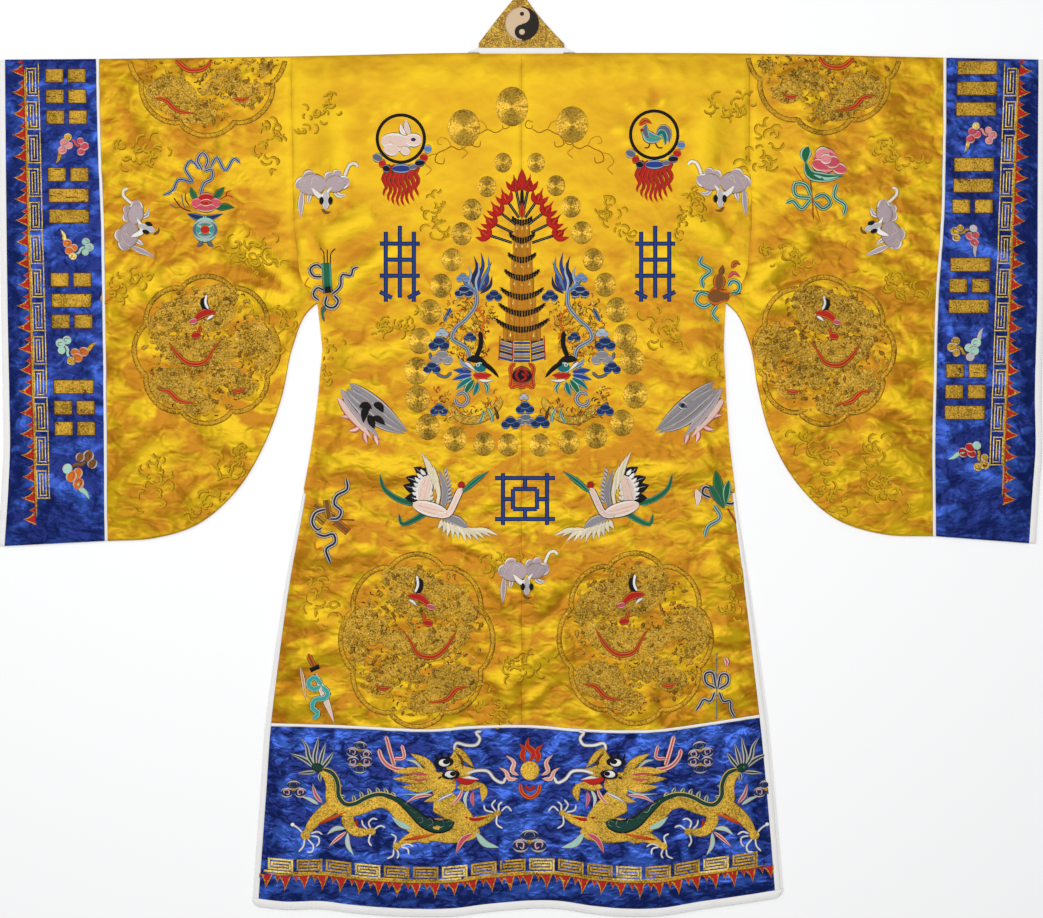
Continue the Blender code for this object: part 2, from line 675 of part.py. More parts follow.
def badge():
    """A round appliqué on the collar, a disc of a few rings."""
    turn = np.linspace(0, 2 * np.pi, BADGE_SPOKES, endpoint=False)
    low = BACK_BASE + CLOTH + BADGE_GAP
    profile = ((0.0, low), (BADGE_RADIUS, low), (BADGE_RADIUS, low + 0.7 * BADGE_THICK),
               (0.93 * BADGE_RADIUS, low + BADGE_THICK), (0.0, low + BADGE_THICK))
    rings = []
    for radius, z in profile[1:-1]:
        ring = np.stack([BADGE_CENTRE[0] + radius * np.cos(turn), BADGE_CENTRE[1] + radius * np.sin(turn)], axis=-1)
        rings.append(np.concatenate([ring, np.full((BADGE_SPOKES, 1), z)], axis=-1))
    points = np.concatenate([*rings, [[*BADGE_CENTRE, low]], [[*BADGE_CENTRE, low + BADGE_THICK]]])
    here = np.arange(BADGE_SPOKES)
    after = (here + 1) % BADGE_SPOKES
    faces = []
    for ring in range(len(rings) - 1):
        a, b = ring * BADGE_SPOKES + here, ring * BADGE_SPOKES + after
        faces.append(np.stack([a, b, b + BADGE_SPOKES], axis=-1))
        faces.append(np.stack([a, b + BADGE_SPOKES, a + BADGE_SPOKES], axis=-1))
    foot, crown = len(points) - 2, len(points) - 1
    last = (len(rings) - 1) * BADGE_SPOKES
    faces.append(np.stack([after, here, np.full_like(here, foot)], axis=-1))
    faces.append(np.stack([last + here, last + after, np.full_like(here, crown)], axis=-1))
    return points, np.concatenate(faces)


def build_sleeves():
    for side in (LEFT, RIGHT):
        inner_seam = SEAM_PIPING / 2 + SEAM_GAP
        add_object(
            "sleeve_" + side.name,
            flat_tube(
                beside(arm_seam, SEAM_GAP / 2, side),
                beside(cuff_seam, -inner_seam, side),
                top_edge=lambda u, s=side: shoulder_edge(s, u),
                bottom_edge=lambda u, s=side: underarm_edge(s, u),
                columns=SLEEVE_COLUMNS,
            ),
            YELLOW_SATIN,
        )
        add_object(
            "cuff_piping_inner_" + side.name,
            flat_tube(beside(cuff_seam, -SEAM_PIPING / 2, side), beside(cuff_seam, SEAM_PIPING / 2, side)),
            WHITE_PIPING,
        )
        add_object(
            "cuff_" + side.name,
            flat_tube(
                beside(cuff_seam, inner_seam, side),
                beside(cuff_edge, -CUFF_EDGE_PIPING - SEAM_GAP, side),
                columns=CUFF_COLUMNS,
            ),
            BLUE_SATIN,
        )
        add_object(
            "cuff_piping_edge_" + side.name,
            flat_tube(beside(cuff_edge, -CUFF_EDGE_PIPING, side), beside(cuff_edge, 0.0, side)),
            WHITE_PIPING,
        )


def shoulder_edge(side, u):
    start = arm_seam(side, 0.0)[0] + side.sign * SEAM_GAP / 2
    end = cuff_seam(side, 0.0)[0] - side.sign * (SEAM_PIPING / 2 + SEAM_GAP)
    x = mix(start, end, u)
    return np.stack([x, shoulder_y(x)], axis=-1)


def underarm_edge(side, u):
    """The sleeve's lower edge, its ends drawn in by the seam gaps."""
    edge = underarm(side, u)
    first = SEAM_GAP / 2
    last = -(SEAM_PIPING / 2 + SEAM_GAP)
    edge[..., 0] += side.sign * mix(first, last, u)
    return edge


def build_bodies():
    for side in (LEFT, RIGHT):
        add_object("body_" + side.name, body_half(side), YELLOW_SATIN)


def build_hems():
    both = (LEFT, RIGHT)
    low = shifted_up(hem_edge_y, HEM_EDGE_PIPING + SEAM_GAP)
    high = shifted_up(hem_seam_y, -SEAM_PIPING / 2 - SEAM_GAP)
    ends = np.array([0.0, 1.0])
    add_object("hem_back", solid_sheet(*back_wall(hem_plan(low, high, HEM_SHARES, BODY_C, both))), BLUE_SATIN)
    strip_low = shifted_up(hem_seam_y, -SEAM_PIPING / 2)
    strip_high = shifted_up(hem_seam_y, SEAM_PIPING / 2)
    plan = hem_plan(strip_low, strip_high, ends, BODY_C, both)
    add_object("hem_piping_top_back", solid_sheet(*back_wall(plan)), WHITE_PIPING)
    add_object("hem_piping_edge_back", solid_sheet(*back_wall(hem_edge_plan(both, BODY_C, 0.0))), WHITE_PIPING)
    front_low = shifted_up(hem_edge_y, FRONT_HEM_RISE + HEM_EDGE_PIPING + SEAM_GAP)
    for side in both:
        plan = side_piping_plan(side, BACK_LEVELS[BACK_LEVELS <= slit_level(side)], HEM_SHARES, 0.0)
        add_object("side_piping_back_" + side.name, solid_sheet(*back_wall(plan)), WHITE_PIPING)
        plan = hem_plan(front_low, high, FRONT_HEM_SHARES, FRONT_C, (side,))
        add_object("hem_front_" + side.name, solid_sheet(*wall(shifted(plan), 0.0)), BLUE_SATIN)
        plan = hem_plan(strip_low, strip_high, ends, FRONT_C, (side,))
        add_object("hem_piping_top_front_" + side.name, solid_sheet(*wall(shifted(plan), 0.0)), WHITE_PIPING)
        plan = hem_edge_plan((side,), FRONT_C, FRONT_HEM_RISE)
        add_object("hem_piping_edge_front_" + side.name, solid_sheet(*wall(shifted(plan), 0.0)), WHITE_PIPING)
        levels = FRONT_LEVELS[FRONT_LEVELS <= slit_level(side)]
        plan = side_piping_plan(side, levels, FRONT_HEM_SHARES, FRONT_HEM_RISE)
        add_object("side_piping_front_" + side.name, solid_sheet(*wall(shifted(plan), 0.0)), WHITE_PIPING)


def slit_level(side):
    foot_y = hem_seam_y(side.sign * SIDE_EDGE[-3].left)
    return -(ARMPIT_Y - SLIT_TOP_Y) / (ARMPIT_Y - foot_y)


def build_neck():
    add_object("neck_piping", solid_sheet(*back_wall(neck_piping_plan())), WHITE_PIPING)
    for side in (LEFT, RIGHT):
        add_object("collar_" + side.name, collar_half(side), GOLD_BROCADE)
    add_object("taiji_badge", badge(), BADGE_SATIN)


def clear_scene():
    for old in list(bpy.data.objects):
        bpy.data.objects.remove(old, do_unlink=True)


# Rows shared by neighbouring pieces. v runs down a sleeve, and the levels up a body half. The row next to a turned
# edge lies FOLD_INSET from it.
INSET_V = FOLD_INSET / (SHOULDER[3].y - ARMPIT_Y)
TOP_V = np.concatenate([[0.0], np.linspace(INSET_V, 1 - INSET_V, UPPER_ROWS + 1), [1.0]])
BOTTOM_V = np.concatenate([[0.0], np.linspace(INSET_V, 1 - INSET_V, FRONT_UPPER_ROWS + 1), [1.0]])
BACK_LEVELS = np.concatenate([np.linspace(-1, 0, LOWER_ROWS + 1), 1 - TOP_V[1:-2][::-1]])
FRONT_LEVELS = np.concatenate([np.linspace(-1, 0, FRONT_LOWER_ROWS + 1), 1 - BOTTOM_V[1:-2][::-1]])
HEM_SHARES = np.linspace(0, 1, HEM_ROWS + 1)
FRONT_HEM_SHARES = np.linspace(0, 1, FRONT_HEM_ROWS + 1)
FRONT_C = np.linspace(1, 2, BODY_COLUMNS + 1)
BODY_C = np.concatenate([np.linspace(0, 1, NECK_COLUMNS + 1)[:-1], FRONT_C])
OUTLINE = outline()


def main():
    clear_scene()
    build_bodies()
    build_sleeves()
    build_hems()
    build_neck()


main()
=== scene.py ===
"""The looks of a wide-sleeved ceremonial robe that is laid flat with its back up.

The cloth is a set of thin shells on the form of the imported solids, with finer creases. The needlework lies
on it as raised strips of silk and couched gold thread. Sizes are metres, unless a table's heading says
millimetres or drawing units. +X runs along the sleeves, +Y towards the collar and +Z up.
"""

import json
from collections import namedtuple

import bpy
import numpy as np
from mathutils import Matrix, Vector

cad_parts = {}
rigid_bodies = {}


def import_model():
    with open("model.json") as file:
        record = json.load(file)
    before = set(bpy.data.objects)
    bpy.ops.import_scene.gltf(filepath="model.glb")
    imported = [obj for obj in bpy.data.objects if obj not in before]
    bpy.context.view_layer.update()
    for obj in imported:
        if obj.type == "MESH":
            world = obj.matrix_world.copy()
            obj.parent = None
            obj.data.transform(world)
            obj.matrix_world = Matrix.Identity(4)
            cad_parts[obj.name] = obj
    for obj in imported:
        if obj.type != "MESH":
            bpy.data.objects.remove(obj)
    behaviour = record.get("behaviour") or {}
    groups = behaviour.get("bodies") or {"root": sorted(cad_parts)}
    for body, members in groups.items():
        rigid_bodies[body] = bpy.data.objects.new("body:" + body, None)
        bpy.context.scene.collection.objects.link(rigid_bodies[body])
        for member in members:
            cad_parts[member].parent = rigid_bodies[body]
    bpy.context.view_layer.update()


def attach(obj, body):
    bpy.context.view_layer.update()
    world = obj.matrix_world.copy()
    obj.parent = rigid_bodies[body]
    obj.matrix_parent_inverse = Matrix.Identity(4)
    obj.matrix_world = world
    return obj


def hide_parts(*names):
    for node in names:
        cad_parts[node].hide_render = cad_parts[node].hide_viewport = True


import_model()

bl_info = {
    "name": "Embroidered Ceremonial Robe",
    "version": (1, 0, 0),
    "blender": (4, 5, 0),
    "location": "3D View > Sidebar > Robe",
    "description": "Cloth shells, needlework and studio of a robe laid flat",
    "category": "Add Mesh",
}

MM = 0.001

# Cloth and the gaps between pieces
CLOTH = 0.0015
LAYER_GAP = 0.0006
SEAM_GAP = 0.0005
BACK_BASE = CLOTH + LAYER_GAP
FOLD_RADIUS = (BACK_BASE + CLOTH) / 2
LIFT = 0.0024
EDGE_FADE = 0.045
CREASE_FADE = 0.014

# Levels of the garment along Y
ARMPIT_Y = 0.243
SLIT_TOP_Y = -0.060
FRONT_HEM_RISE = 0.002

# Widths of the trimmings
SEAM_PIPING = 0.0048
CUFF_EDGE_PIPING = 0.0100
HEM_EDGE_PIPING = 0.0120
SIDE_PIPING_TOP = 0.0045
SIDE_PIPING_HEM = 0.0085

# Rounded corners of the hem's binding: radius, least width, and columns as shares of the width that is left
CORNER_RADIUS = 0.0100
CORNER_LEAST = 0.0015
CORNER_COLUMNS = (0.8, 0.62, 0.46, 0.30, 0.19, 0.10, 0.04, 0.0)

# Neck, collar band and badge
NECK_HALF = 0.0690
NECK_PIPING_LOW = 0.6418
NECK_PIPING_HIGH = 0.6512
NECK_PIPING_HALF = 0.0655
NECK_PIPING_TAIL_FROM = 0.0688
NECK_PIPING_TAIL = 0.0856
NECK_PIPING_POINT = 0.0006
COLLAR_BASE_Y = 0.6517
BADGE_CENTRE = (0.0008, 0.6894)
BADGE_RADIUS = 0.0272
BADGE_THICK = 0.0012
BADGE_GAP = 0.0003
BADGE_FALL = 0.45
BADGE_SPOKES = 64
BADGE_RINGS = 12

# The front layer lies a little to the right of the back one at the hem
FRONT_SHIFT = 0.0045
SHIFT_FROM_Y = 0.10
SHIFT_TO_Y = -0.44

Side = namedtuple("Side", "name sign")
LEFT = Side("left", -1.0)
RIGHT = Side("right", 1.0)

# Half widths to the left and right of the centre, from the armpit to the hem
SideEdge = namedtuple("SideEdge", "y left right")
SIDE_EDGE = (
    SideEdge(0.243, 0.3265, 0.3265),
    SideEdge(0.222, 0.3210, 0.3240),
    SideEdge(0.118, 0.3230, 0.3260),
    SideEdge(0.046, 0.3310, 0.3300),
    SideEdge(-0.072, 0.3510, 0.3430),
    SideEdge(-0.200, 0.3760, 0.3610),
    SideEdge(-0.346, 0.3980, 0.3800),
    SideEdge(-0.435, 0.4095, 0.3910),
    SideEdge(-0.541, 0.4170, 0.4010),
    SideEdge(-0.735, 0.4310, 0.4170),
)

# Half widths of the seam between body and sleeve, from the shoulder to the armpit
ArmSeam = namedtuple("ArmSeam", "y left right")
ARM_SEAM = (
    ArmSeam(0.643, 0.3690, 0.3650),
    ArmSeam(0.488, 0.3660, 0.3650),
    ArmSeam(0.328, 0.3590, 0.3640),
    ArmSeam(0.278, 0.3500, 0.3540),
    ArmSeam(0.243, 0.3265, 0.3265),
)

# Lower edge of the sleeve, from the armpit to the cuff seam
Underarm = namedtuple("Underarm", "left_x left_y right_x right_y")
UNDERARM = (
    Underarm(0.3265, 0.2430, 0.3265, 0.2430),
    Underarm(0.3410, 0.2300, 0.3400, 0.2310),
    Underarm(0.3660, 0.1740, 0.3650, 0.1790),
    Underarm(0.3840, 0.0940, 0.3790, 0.1040),
    Underarm(0.4120, 0.0180, 0.4020, 0.0240),
    Underarm(0.4600, -0.0600, 0.4420, -0.0450),
    Underarm(0.5220, -0.1120, 0.5040, -0.1020),
    Underarm(0.5900, -0.1330, 0.5830, -0.1270),
    Underarm(0.6640, -0.1375, 0.6605, -0.1300),
)

# Half widths of the seam between sleeve and cuff, and of the cuff's outer edge
CuffSeam = namedtuple("CuffSeam", "y left right")
CUFF_SEAM = (
    CuffSeam(0.636, 0.6780, 0.6770),
    CuffSeam(0.472, 0.6740, 0.6755),
    CuffSeam(0.376, 0.6700, 0.6730),
    CuffSeam(0.264, 0.6680, 0.6650),
    CuffSeam(0.120, 0.6660, 0.6610),
    CuffSeam(0.008, 0.6650, 0.6590),
    CuffSeam(-0.138, 0.6640, 0.6605),
)
CuffEdge = namedtuple("CuffEdge", "y left right")
CUFF_EDGE = (
    CuffEdge(0.632, 0.8360, 0.8368),
    CuffEdge(0.408, 0.8340, 0.8355),
    CuffEdge(0.248, 0.8320, 0.8350),
    CuffEdge(0.088, 0.8290, 0.8310),
    CuffEdge(0.010, 0.8280, 0.8320),
    CuffEdge(-0.060, 0.8310, 0.8270),
    CuffEdge(-0.146, 0.8368, 0.8215),
)
CUFF_FOOT_Y = {"left": -0.1456, "right": -0.1412}

# Height of the shoulder fold along the sleeves
Shoulder = namedtuple("Shoulder", "x y")
SHOULDER = (
    Shoulder(-0.836, 0.6325),
    Shoulder(-0.678, 0.6335),
    Shoulder(-0.369, 0.6375),
    Shoulder(-0.090, 0.6431),
    Shoulder(0.090, 0.6431),
    Shoulder(0.365, 0.6420),
    Shoulder(0.676, 0.6355),
    Shoulder(0.836, 0.6325),
)

# Seam above the hem band, and the hem's lower edge
HemSeam = namedtuple("HemSeam", "x y")
HEM_SEAM = (
    HemSeam(-0.410, -0.431),
    HemSeam(-0.295, -0.434),
    HemSeam(-0.210, -0.438),
    HemSeam(-0.142, -0.440),
    HemSeam(-0.090, -0.436),
    HemSeam(0.014, -0.434),
    HemSeam(0.094, -0.440),
    HemSeam(0.158, -0.442),
    HemSeam(0.222, -0.440),
    HemSeam(0.286, -0.432),
    HemSeam(0.350, -0.422),
    HemSeam(0.392, -0.416),
)
HemEdge = namedtuple("HemEdge", "x y")
HEM_EDGE = (
    HemEdge(-0.430, -0.7200),
    HemEdge(-0.382, -0.7260),
    HemEdge(-0.318, -0.7255),
    HemEdge(-0.274, -0.7310),
    HemEdge(-0.170, -0.7376),
    HemEdge(-0.110, -0.7370),
    HemEdge(-0.050, -0.7295),
    HemEdge(0.060, -0.7250),
    HemEdge(0.114, -0.7330),
    HemEdge(0.175, -0.7376),
    HemEdge(0.225, -0.7360),
    HemEdge(0.286, -0.7260),
    HemEdge(0.350, -0.7170),
    HemEdge(0.414, -0.7070),
)

# Folded edge of the collar, from the neck's side to the tip at the centre
CollarTop = namedtuple("CollarTop", "x left right")
COLLAR_TOP = (
    CollarTop(0.0000, 0.7376, 0.7370),
    CollarTop(0.0060, 0.7350, 0.7310),
    CollarTop(0.0270, 0.7120, 0.7030),
    CollarTop(0.0500, 0.6830, 0.6770),
    CollarTop(0.0690, 0.6580, 0.6570),
)

# Largest folds, the same as in the solids: a ridge's two ends, its half width and its height, in millimetres
Fold = namedtuple("Fold", "x0 y0 x1 y1 half_width height")
FOLDS = (
    Fold(-335, 250, -470, 357, 22, 6.0),
    Fold(-338, 236, -460, 264, 20, 5.0),
    Fold(-354, 200, -440, 172, 20, 4.0),
    Fold(-663, 232, -520, 310, 22, 5.0),
    Fold(-665, -85, -540, 42, 28, 7.0),
    Fold(-665, 152, -570, 178, 20, 3.5),
    Fold(-655, 30, -585, 72, 20, 3.5),
    Fold(-450, 630, -474, 430, 26, 3.0),
    Fold(-610, 600, -560, 450, 24, 3.0),
    Fold(-420, -10, -510, 70, 24, 4.0),
    Fold(343, 250, 465, 350, 22, 5.5),
    Fold(346, 236, 472, 258, 20, 5.0),
    Fold(362, 200, 450, 163, 20, 4.0),
    Fold(662, 248, 526, 312, 22, 4.5),
    Fold(662, -72, 545, 50, 28, 6.5),
    Fold(655, 52, 570, 98, 20, 4.0),
    Fold(660, 165, 580, 180, 20, 3.0),
    Fold(446, 630, 466, 440, 26, 3.0),
    Fold(590, 590, 555, 470, 24, 2.5),
    Fold(408, 4, 492, 80, 24, 4.0),
    Fold(-815, 330, -690, 385, 22, 3.5),
    Fold(-810, -20, -690, -75, 24, 4.5),
    Fold(-815, 120, -700, 90, 20, 3.0),
    Fold(815, 300, 690, 350, 22, 3.5),
    Fold(812, -60, 690, -10, 24, 4.5),
    Fold(815, 110, 700, 130, 20, 3.0),
    Fold(-325, 340, -235, 388, 20, 4.5),
    Fold(-308, 262, -184, 338, 20, 4.5),
    Fold(323, 262, 205, 330, 20, 4.5),
    Fold(330, 344, 252, 384, 20, 4.0),
    Fold(-310, 146, -170, 178, 20, 3.5),
    Fold(315, 134, 174, 178, 20, 3.5),
    Fold(-335, -4, -160, -26, 22, 4.5),
    Fold(338, -10, 166, -34, 22, 4.5),
    Fold(-300, 560, -285, 430, 26, 3.0),
    Fold(300, 570, 290, 440, 26, 3.0),
    Fold(-370, -168, -226, -142, 20, 5.0),
    Fold(-382, -248, -272, -282, 20, 4.5),
    Fold(-394, -328, -270, -302, 20, 5.5),
    Fold(-400, -402, -280, -374, 20, 5.0),
    Fold(-50, -166, 64, -234, 22, 5.0),
    Fold(-44, -378, 80, -294, 24, 6.0),
    Fold(292, -166, 364, -218, 20, 4.5),
    Fold(284, -298, 376, -270, 20, 5.0),
    Fold(292, -394, 384, -358, 20, 5.0),
    Fold(-178, -728, -170, -300, 44, 6.0),
    Fold(198, -728, 190, -300, 44, 6.0),
    Fold(14, -720, 6, -470, 30, 3.0),
    Fold(-352, -716, -338, -450, 30, 4.0),
    Fold(342, -708, 326, -450, 30, 4.0),
)

# Finer creases: a ridge, or a trough where the height is below nothing, bowed aside by bend, in millimetres
Crease = namedtuple("Crease", "x0 y0 x1 y1 bend half_width height")
CREASES = (
    Crease(-356, 246, -500, 300, 8, 7, -2.2),
    Crease(-350, 232, -436, 240, 4, 6, 1.8),
    Crease(-356, 220, -420, 214, -4, 6, -1.6),
    Crease(-364, 190, -432, 160, 5, 7, 1.6),
    Crease(-372, 160, -420, 128, 4, 6, -1.4),
    Crease(-470, 312, -424, 330, 6, 7, 1.6),
    Crease(-448, 292, -384, 268, -5, 7, -2.0),
    Crease(-536, 310, -630, 268, -12, 7, -2.4),
    Crease(-524, 322, -650, 262, -14, 6, 1.6),
    Crease(-662, 190, -604, 212, 4, 7, -2.2),
    Crease(-658, 158, -590, 162, -7, 7, -2.2),
    Crease(-660, 176, -600, 190, 3, 6, 1.6),
    Crease(-656, 40, -606, 66, 4, 7, -2.2),
    Crease(-654, 82, -600, 100, 3, 7, -1.8),
    Crease(-660, -86, -572, 26, -8, 10, 1.8),
    Crease(-650, -100, -548, 18, -10, 11, -2.2),
    Crease(-620, -96, -560, -30, 10, 12, 1.4),
    Crease(-540, -60, -470, -34, 8, 12, 1.4),
    Crease(356, 246, 500, 296, -8, 7, -2.2),
    Crease(352, 230, 440, 236, -4, 6, 1.8),
    Crease(358, 214, 424, 206, 4, 6, -1.6),
    Crease(366, 188, 428, 150, -5, 7, 1.6),
    Crease(374, 150, 424, 118, -4, 6, -1.4),
    Crease(470, 304, 400, 282, 6, 7, -2.0),
    Crease(640, 252, 560, 290, 8, 6, 1.8),
    Crease(650, 238, 600, 232, -4, 6, -1.6),
    Crease(600, 170, 656, 150, 4, 7, 2.0),
    Crease(590, 150, 652, 122, 6, 9, -2.4),
    Crease(560, 88, 652, 40, 10, 11, -2.6),
    Crease(570, 40, 652, 12, -6, 9, 2.0),
    Crease(536, 10, 500, -40, 8, 10, 2.2),
    Crease(560, -20, 640, -64, 6, 12, -2.0),
    Crease(620, -60, 540, -64, 4, 9, 1.8),
    Crease(-460, 600, -452, 470, 6, 10, -1.2),
    Crease(-636, 560, -610, 500, 4, 8, -1.6),
    Crease(-650, 604, -600, 590, 4, 8, 1.4),
    Crease(-654, 440, -600, 424, 5, 7, -1.6),
    Crease(-560, 420, -500, 404, -6, 8, -1.4),
    Crease(-430, 392, -386, 372, 4, 8, -2.0),
    Crease(-420, 346, -380, 318, 4, 7, -1.8),
    Crease(640, 540, 590, 520, 4, 8, 1.4),
    Crease(650, 450, 596, 430, 4, 7, -1.6),
    Crease(470, 392, 400, 360, 6, 8, -1.8),
    Crease(-142, -154, -60, -172, -6, 7, -2.4),
    Crease(-120, -134, -40, -168, -5, 6, 1.8),
    Crease(-66, -196, -10, -270, -8, 8, 2.2),
    Crease(-60, -180, 6, -222, -6, 7, -2.0),
    Crease(60, -180, 6, -232, 6, 7, -2.0),
    Crease(72, -206, 20, -268, 8, 8, 2.0),
    Crease(-72, -300, -20, -330, 5, 8, 1.8),
    Crease(60, -316, 12, -350, -5, 8, -1.8),
    Crease(-60, -350, -8, -404, -6, 9, 2.0),
    Crease(48, -360, 4, -410, 6, 9, 2.0),
    Crease(120, -112, 60, -140, 5, 7, -1.8),
    Crease(-238, -98, -300, -116, 4, 8, 1.8),
    Crease(244, -100, 306, -120, -4, 8, 1.8),
    Crease(-20, -90, -84, -104, 4, 7, -1.6),
    Crease(30, -92, 96, -110, -4, 7, 1.6),
    Crease(-240, 74, -316, 62, 6, 9, 1.4),
    Crease(244, 66, 314, 50, -6, 9, 1.4),
    Crease(-160, 20, -248, 8, 8, 10, 1.2),
    Crease(160, 14, 250, 0, -8, 10, 1.2),
    Crease(-60, 40, -132, 26, 5, 9, -1.2),
    Crease(64, 38, 140, 22, -5, 9, -1.2),
    Crease(-250, -700, -200, -480, 10, 12, 2.6),
    Crease(-120, -706, -96, -470, -8, 12, 2.4),
    Crease(-40, -700, -24, -460, 6, 10, 1.8),
    Crease(70, -700, 90, -470, 8, 12, 2.4),
    Crease(150, -706, 132, -460, -8, 10, -2.2),
    Crease(260, -700, 244, -470, 8, 12, 2.6),
    Crease(380, -690, 352, -440, -6, 11, 2.2),
    Crease(-396, -700, -376, -450, 6, 11, 2.2),
)

# Rows of ripples: a line through their middles, their length, turn in degrees, number, half width and height
Ripple = namedtuple("Ripple", "x0 y0 x1 y1 length turn number half_width height")
RIPPLES = (
    Ripple(-342, -112, -376, -424, 78, 12, 17, 5.5, 2.1),
    Ripple(330, -112, 358, -410, 74, -14, 15, 5.5, 2.0),
    Ripple(-322, -402, -70, -418, 52, 62, 13, 6.0, 1.6),
    Ripple(80, -418, 300, -408, 50, -58, 11, 6.0, 1.6),
    Ripple(-28, -130, -34, -412, 60, -38, 9, 6.0, 1.6),
    Ripple(30, -140, 38, -412, 60, 38, 9, 6.0, 1.6),
    Ripple(-286, 210, -318, -90, 80, 9, 12, 6.5, 1.2),
    Ripple(286, 206, 312, -92, 78, -10, 12, 6.5, 1.2),
    Ripple(-642, 590, -636, -70, 54, 26, 21, 6.0, 1.5),
    Ripple(642, 590, 630, -60, 54, -22, 20, 6.0, 1.5),
    Ripple(-500, 244, -404, 90, 46, 20, 8, 6.0, 1.2),
    Ripple(400, 240, 404, 70, 46, -24, 8, 6.0, 1.2),
    Ripple(-560, -100, -420, 10, 52, 48, 7, 8.0, 1.5),
    Ripple(420, 10, 600, -100, 52, -40, 8, 8.0, 1.5),
    Ripple(-340, 470, -346, 300, 36, 14, 9, 5.0, 1.3),
    Ripple(340, 470, 340, 300, 36, -14, 9, 5.0, 1.3),
    Ripple(-390, 610, -610, 610, 40, 78, 9, 7.0, 1.0),
    Ripple(390, 616, 610, 610, 40, 98, 9, 7.0, 1.0),
    Ripple(-320, 610, -60, 620, 50, 86, 10, 9.0, 0.8),
    Ripple(60, 620, 320, 614, 50, 94, 10, 9.0, 0.8),
    Ripple(-690, 600, -690, -110, 60, -32, 20, 7.0, 1.4),
    Ripple(-790, 590, -790, -110, 56, 30, 18, 6.0, 1.2),
    Ripple(690, 600, 690, -100, 60, 34, 20, 7.0, 1.4),
    Ripple(790, 590, 790, -100, 56, -28, 18, 6.0, 1.2),
    Ripple(-390, -470, 370, -466, 62, 66, 34, 8.0, 1.9),
    Ripple(-390, -640, 370, -632, 70, 112, 36, 8.0, 1.9),
    Ripple(-250, -560, 250, -556, 64, 48, 22, 8.0, 1.6),
)

# Puckers round stiff needlework: centre, inner and outer radius, number and height, in millimetres
Pucker = namedtuple("Pucker", "x y inner outer number height")
PUCKERS = (
    Pucker(-503, 168, 116, 160, 20, 1.6),
    Pucker(482, 165, 116, 158, 20, 1.6),
    Pucker(-167, -296, 134, 172, 24, 1.8),
    Pucker(178, -288, 134, 172, 24, 1.8),
    Pucker(-503, 640, 122, 158, 18, 1.2),
    Pucker(482, 645, 122, 158, 18, 1.2),
    Pucker(-193, 512, 38, 74, 16, 1.5),
    Pucker(212, 516, 38, 74, 16, 1.5),
    Pucker(-319, 424, 40, 66, 12, 1.5),
    Pucker(326, 428, 40, 66, 12, 1.5),
    Pucker(-194, 300, 34, 72, 14, 1.6),
    Pucker(214, 300, 34, 70, 14, 1.6),
    Pucker(-229, 68, 46, 78, 12, 1.5),
    Pucker(270, 72, 46, 78, 12, 1.5),
    Pucker(-130, -72, 46, 84, 12, 1.6),
    Pucker(141, -69, 46, 84, 12, 1.6),
    Pucker(5, -72, 52, 84, 14, 1.6),
    Pucker(5, -200, 46, 76, 12, 1.6),
    Pucker(-502, 408, 50, 84, 12, 1.4),
    Pucker(486, 432, 50, 84, 12, 1.4),
    Pucker(-610, 360, 34, 66, 12, 1.5),
    Pucker(578, 363, 34, 66, 12, 1.5),
    Pucker(0, 270, 74, 150, 26, 0.9),
    Pucker(0, 92, 96, 150, 22, 1.2),
)
PUCKER_HALF_WIDTH = 4.6

# Seed of the random creases, and the signs that one of them takes: one in three is a trough
SEED = 11
CREASE_SIGNS = (1.0, 1.0, -0.8)

# How a ridge's height falls off towards its ends: a power, on the large folds and on the finer creases
FOLD_TAPER = 0.5
CREASE_TAPER = 0.7

# Grid of distances inside the outline: its cell, its limits, and the grid itself once it is worked out
ROOM_CELL = 0.004
ROOM_X = (-0.86, 0.861)
ROOM_Y = (-0.76, 0.661)
ROOM = []

# Crumpled cloth: size of the wide and of the fine creases, and the part of the height that each gives
CRUMPLE_WIDE = 0.034
CRUMPLE_FINE = 0.017
WIDE_PART = 0.65
FINE_PART = 0.35

# Crumpling of the blue cloth, which starts at these limits, and the least and what is added on yellow
BLUE_BEYOND_X = 0.668
BLUE_BELOW_Y = -0.44
CRUMPLE_BLUE = 0.0021
CRUMPLE_LEAST = 0.0004
CRUMPLE_MORE = 0.0011

# Where the crumpling of the skirt and of the sleeves sets in, and over what length
SKIRT_FROM_Y = 0.10
SKIRT_OVER = 0.3
SLEEVE_FROM_X = 0.34
SLEEVE_OVER_X = 0.1
SLEEVE_FROM_Y = 0.42
SLEEVE_OVER_Y = 0.2
SLEEVE_PART = 0.8

# Depth of a sewn seam and how far it reaches to each side
SEAM_DIP = 0.0009
SEAM_REACH = 0.0034


def smooth(at, knots, values):
    """Cubic Hermite curve through the knots, each slope taken from the neighbouring knots."""
    knots = np.asarray(knots, float)
    values = np.asarray(values, float)
    order = np.argsort(knots)
    knots = knots[order]
    values = values[order]
    slopes = np.gradient(values, knots)
    low = np.clip(np.searchsorted(knots, at) - 1, 0, len(knots) - 2)
    step = knots[low + 1] - knots[low]
    t = np.clip((at - knots[low]) / step, 0, 1)
    stay = 2 * t**3 - 3 * t**2 + 1
    leave = t**3 - 2 * t**2 + t
    arrive = t**3 - t**2
    ends = stay * values[low] + (1 - stay) * values[low + 1]
    return ends + step * (leave * slopes[low] + arrive * slopes[low + 1])


def column_of(table, name):
    """One column of a table."""
    return [getattr(row, name) for row in table]


def read(table, key, name, at):
    """One column of a table as a smooth function of another."""
    return smooth(at, column_of(table, key), column_of(table, name))


def mix(start, end, share):
    """A straight blend: start at share 0 and end at share 1."""
    return start + (end - start) * share


def ease(share):
    """0 below 0, 1 above 1 and a soft step between."""
    share = np.clip(share, 0, 1)
    return share * share * (3 - 2 * share)


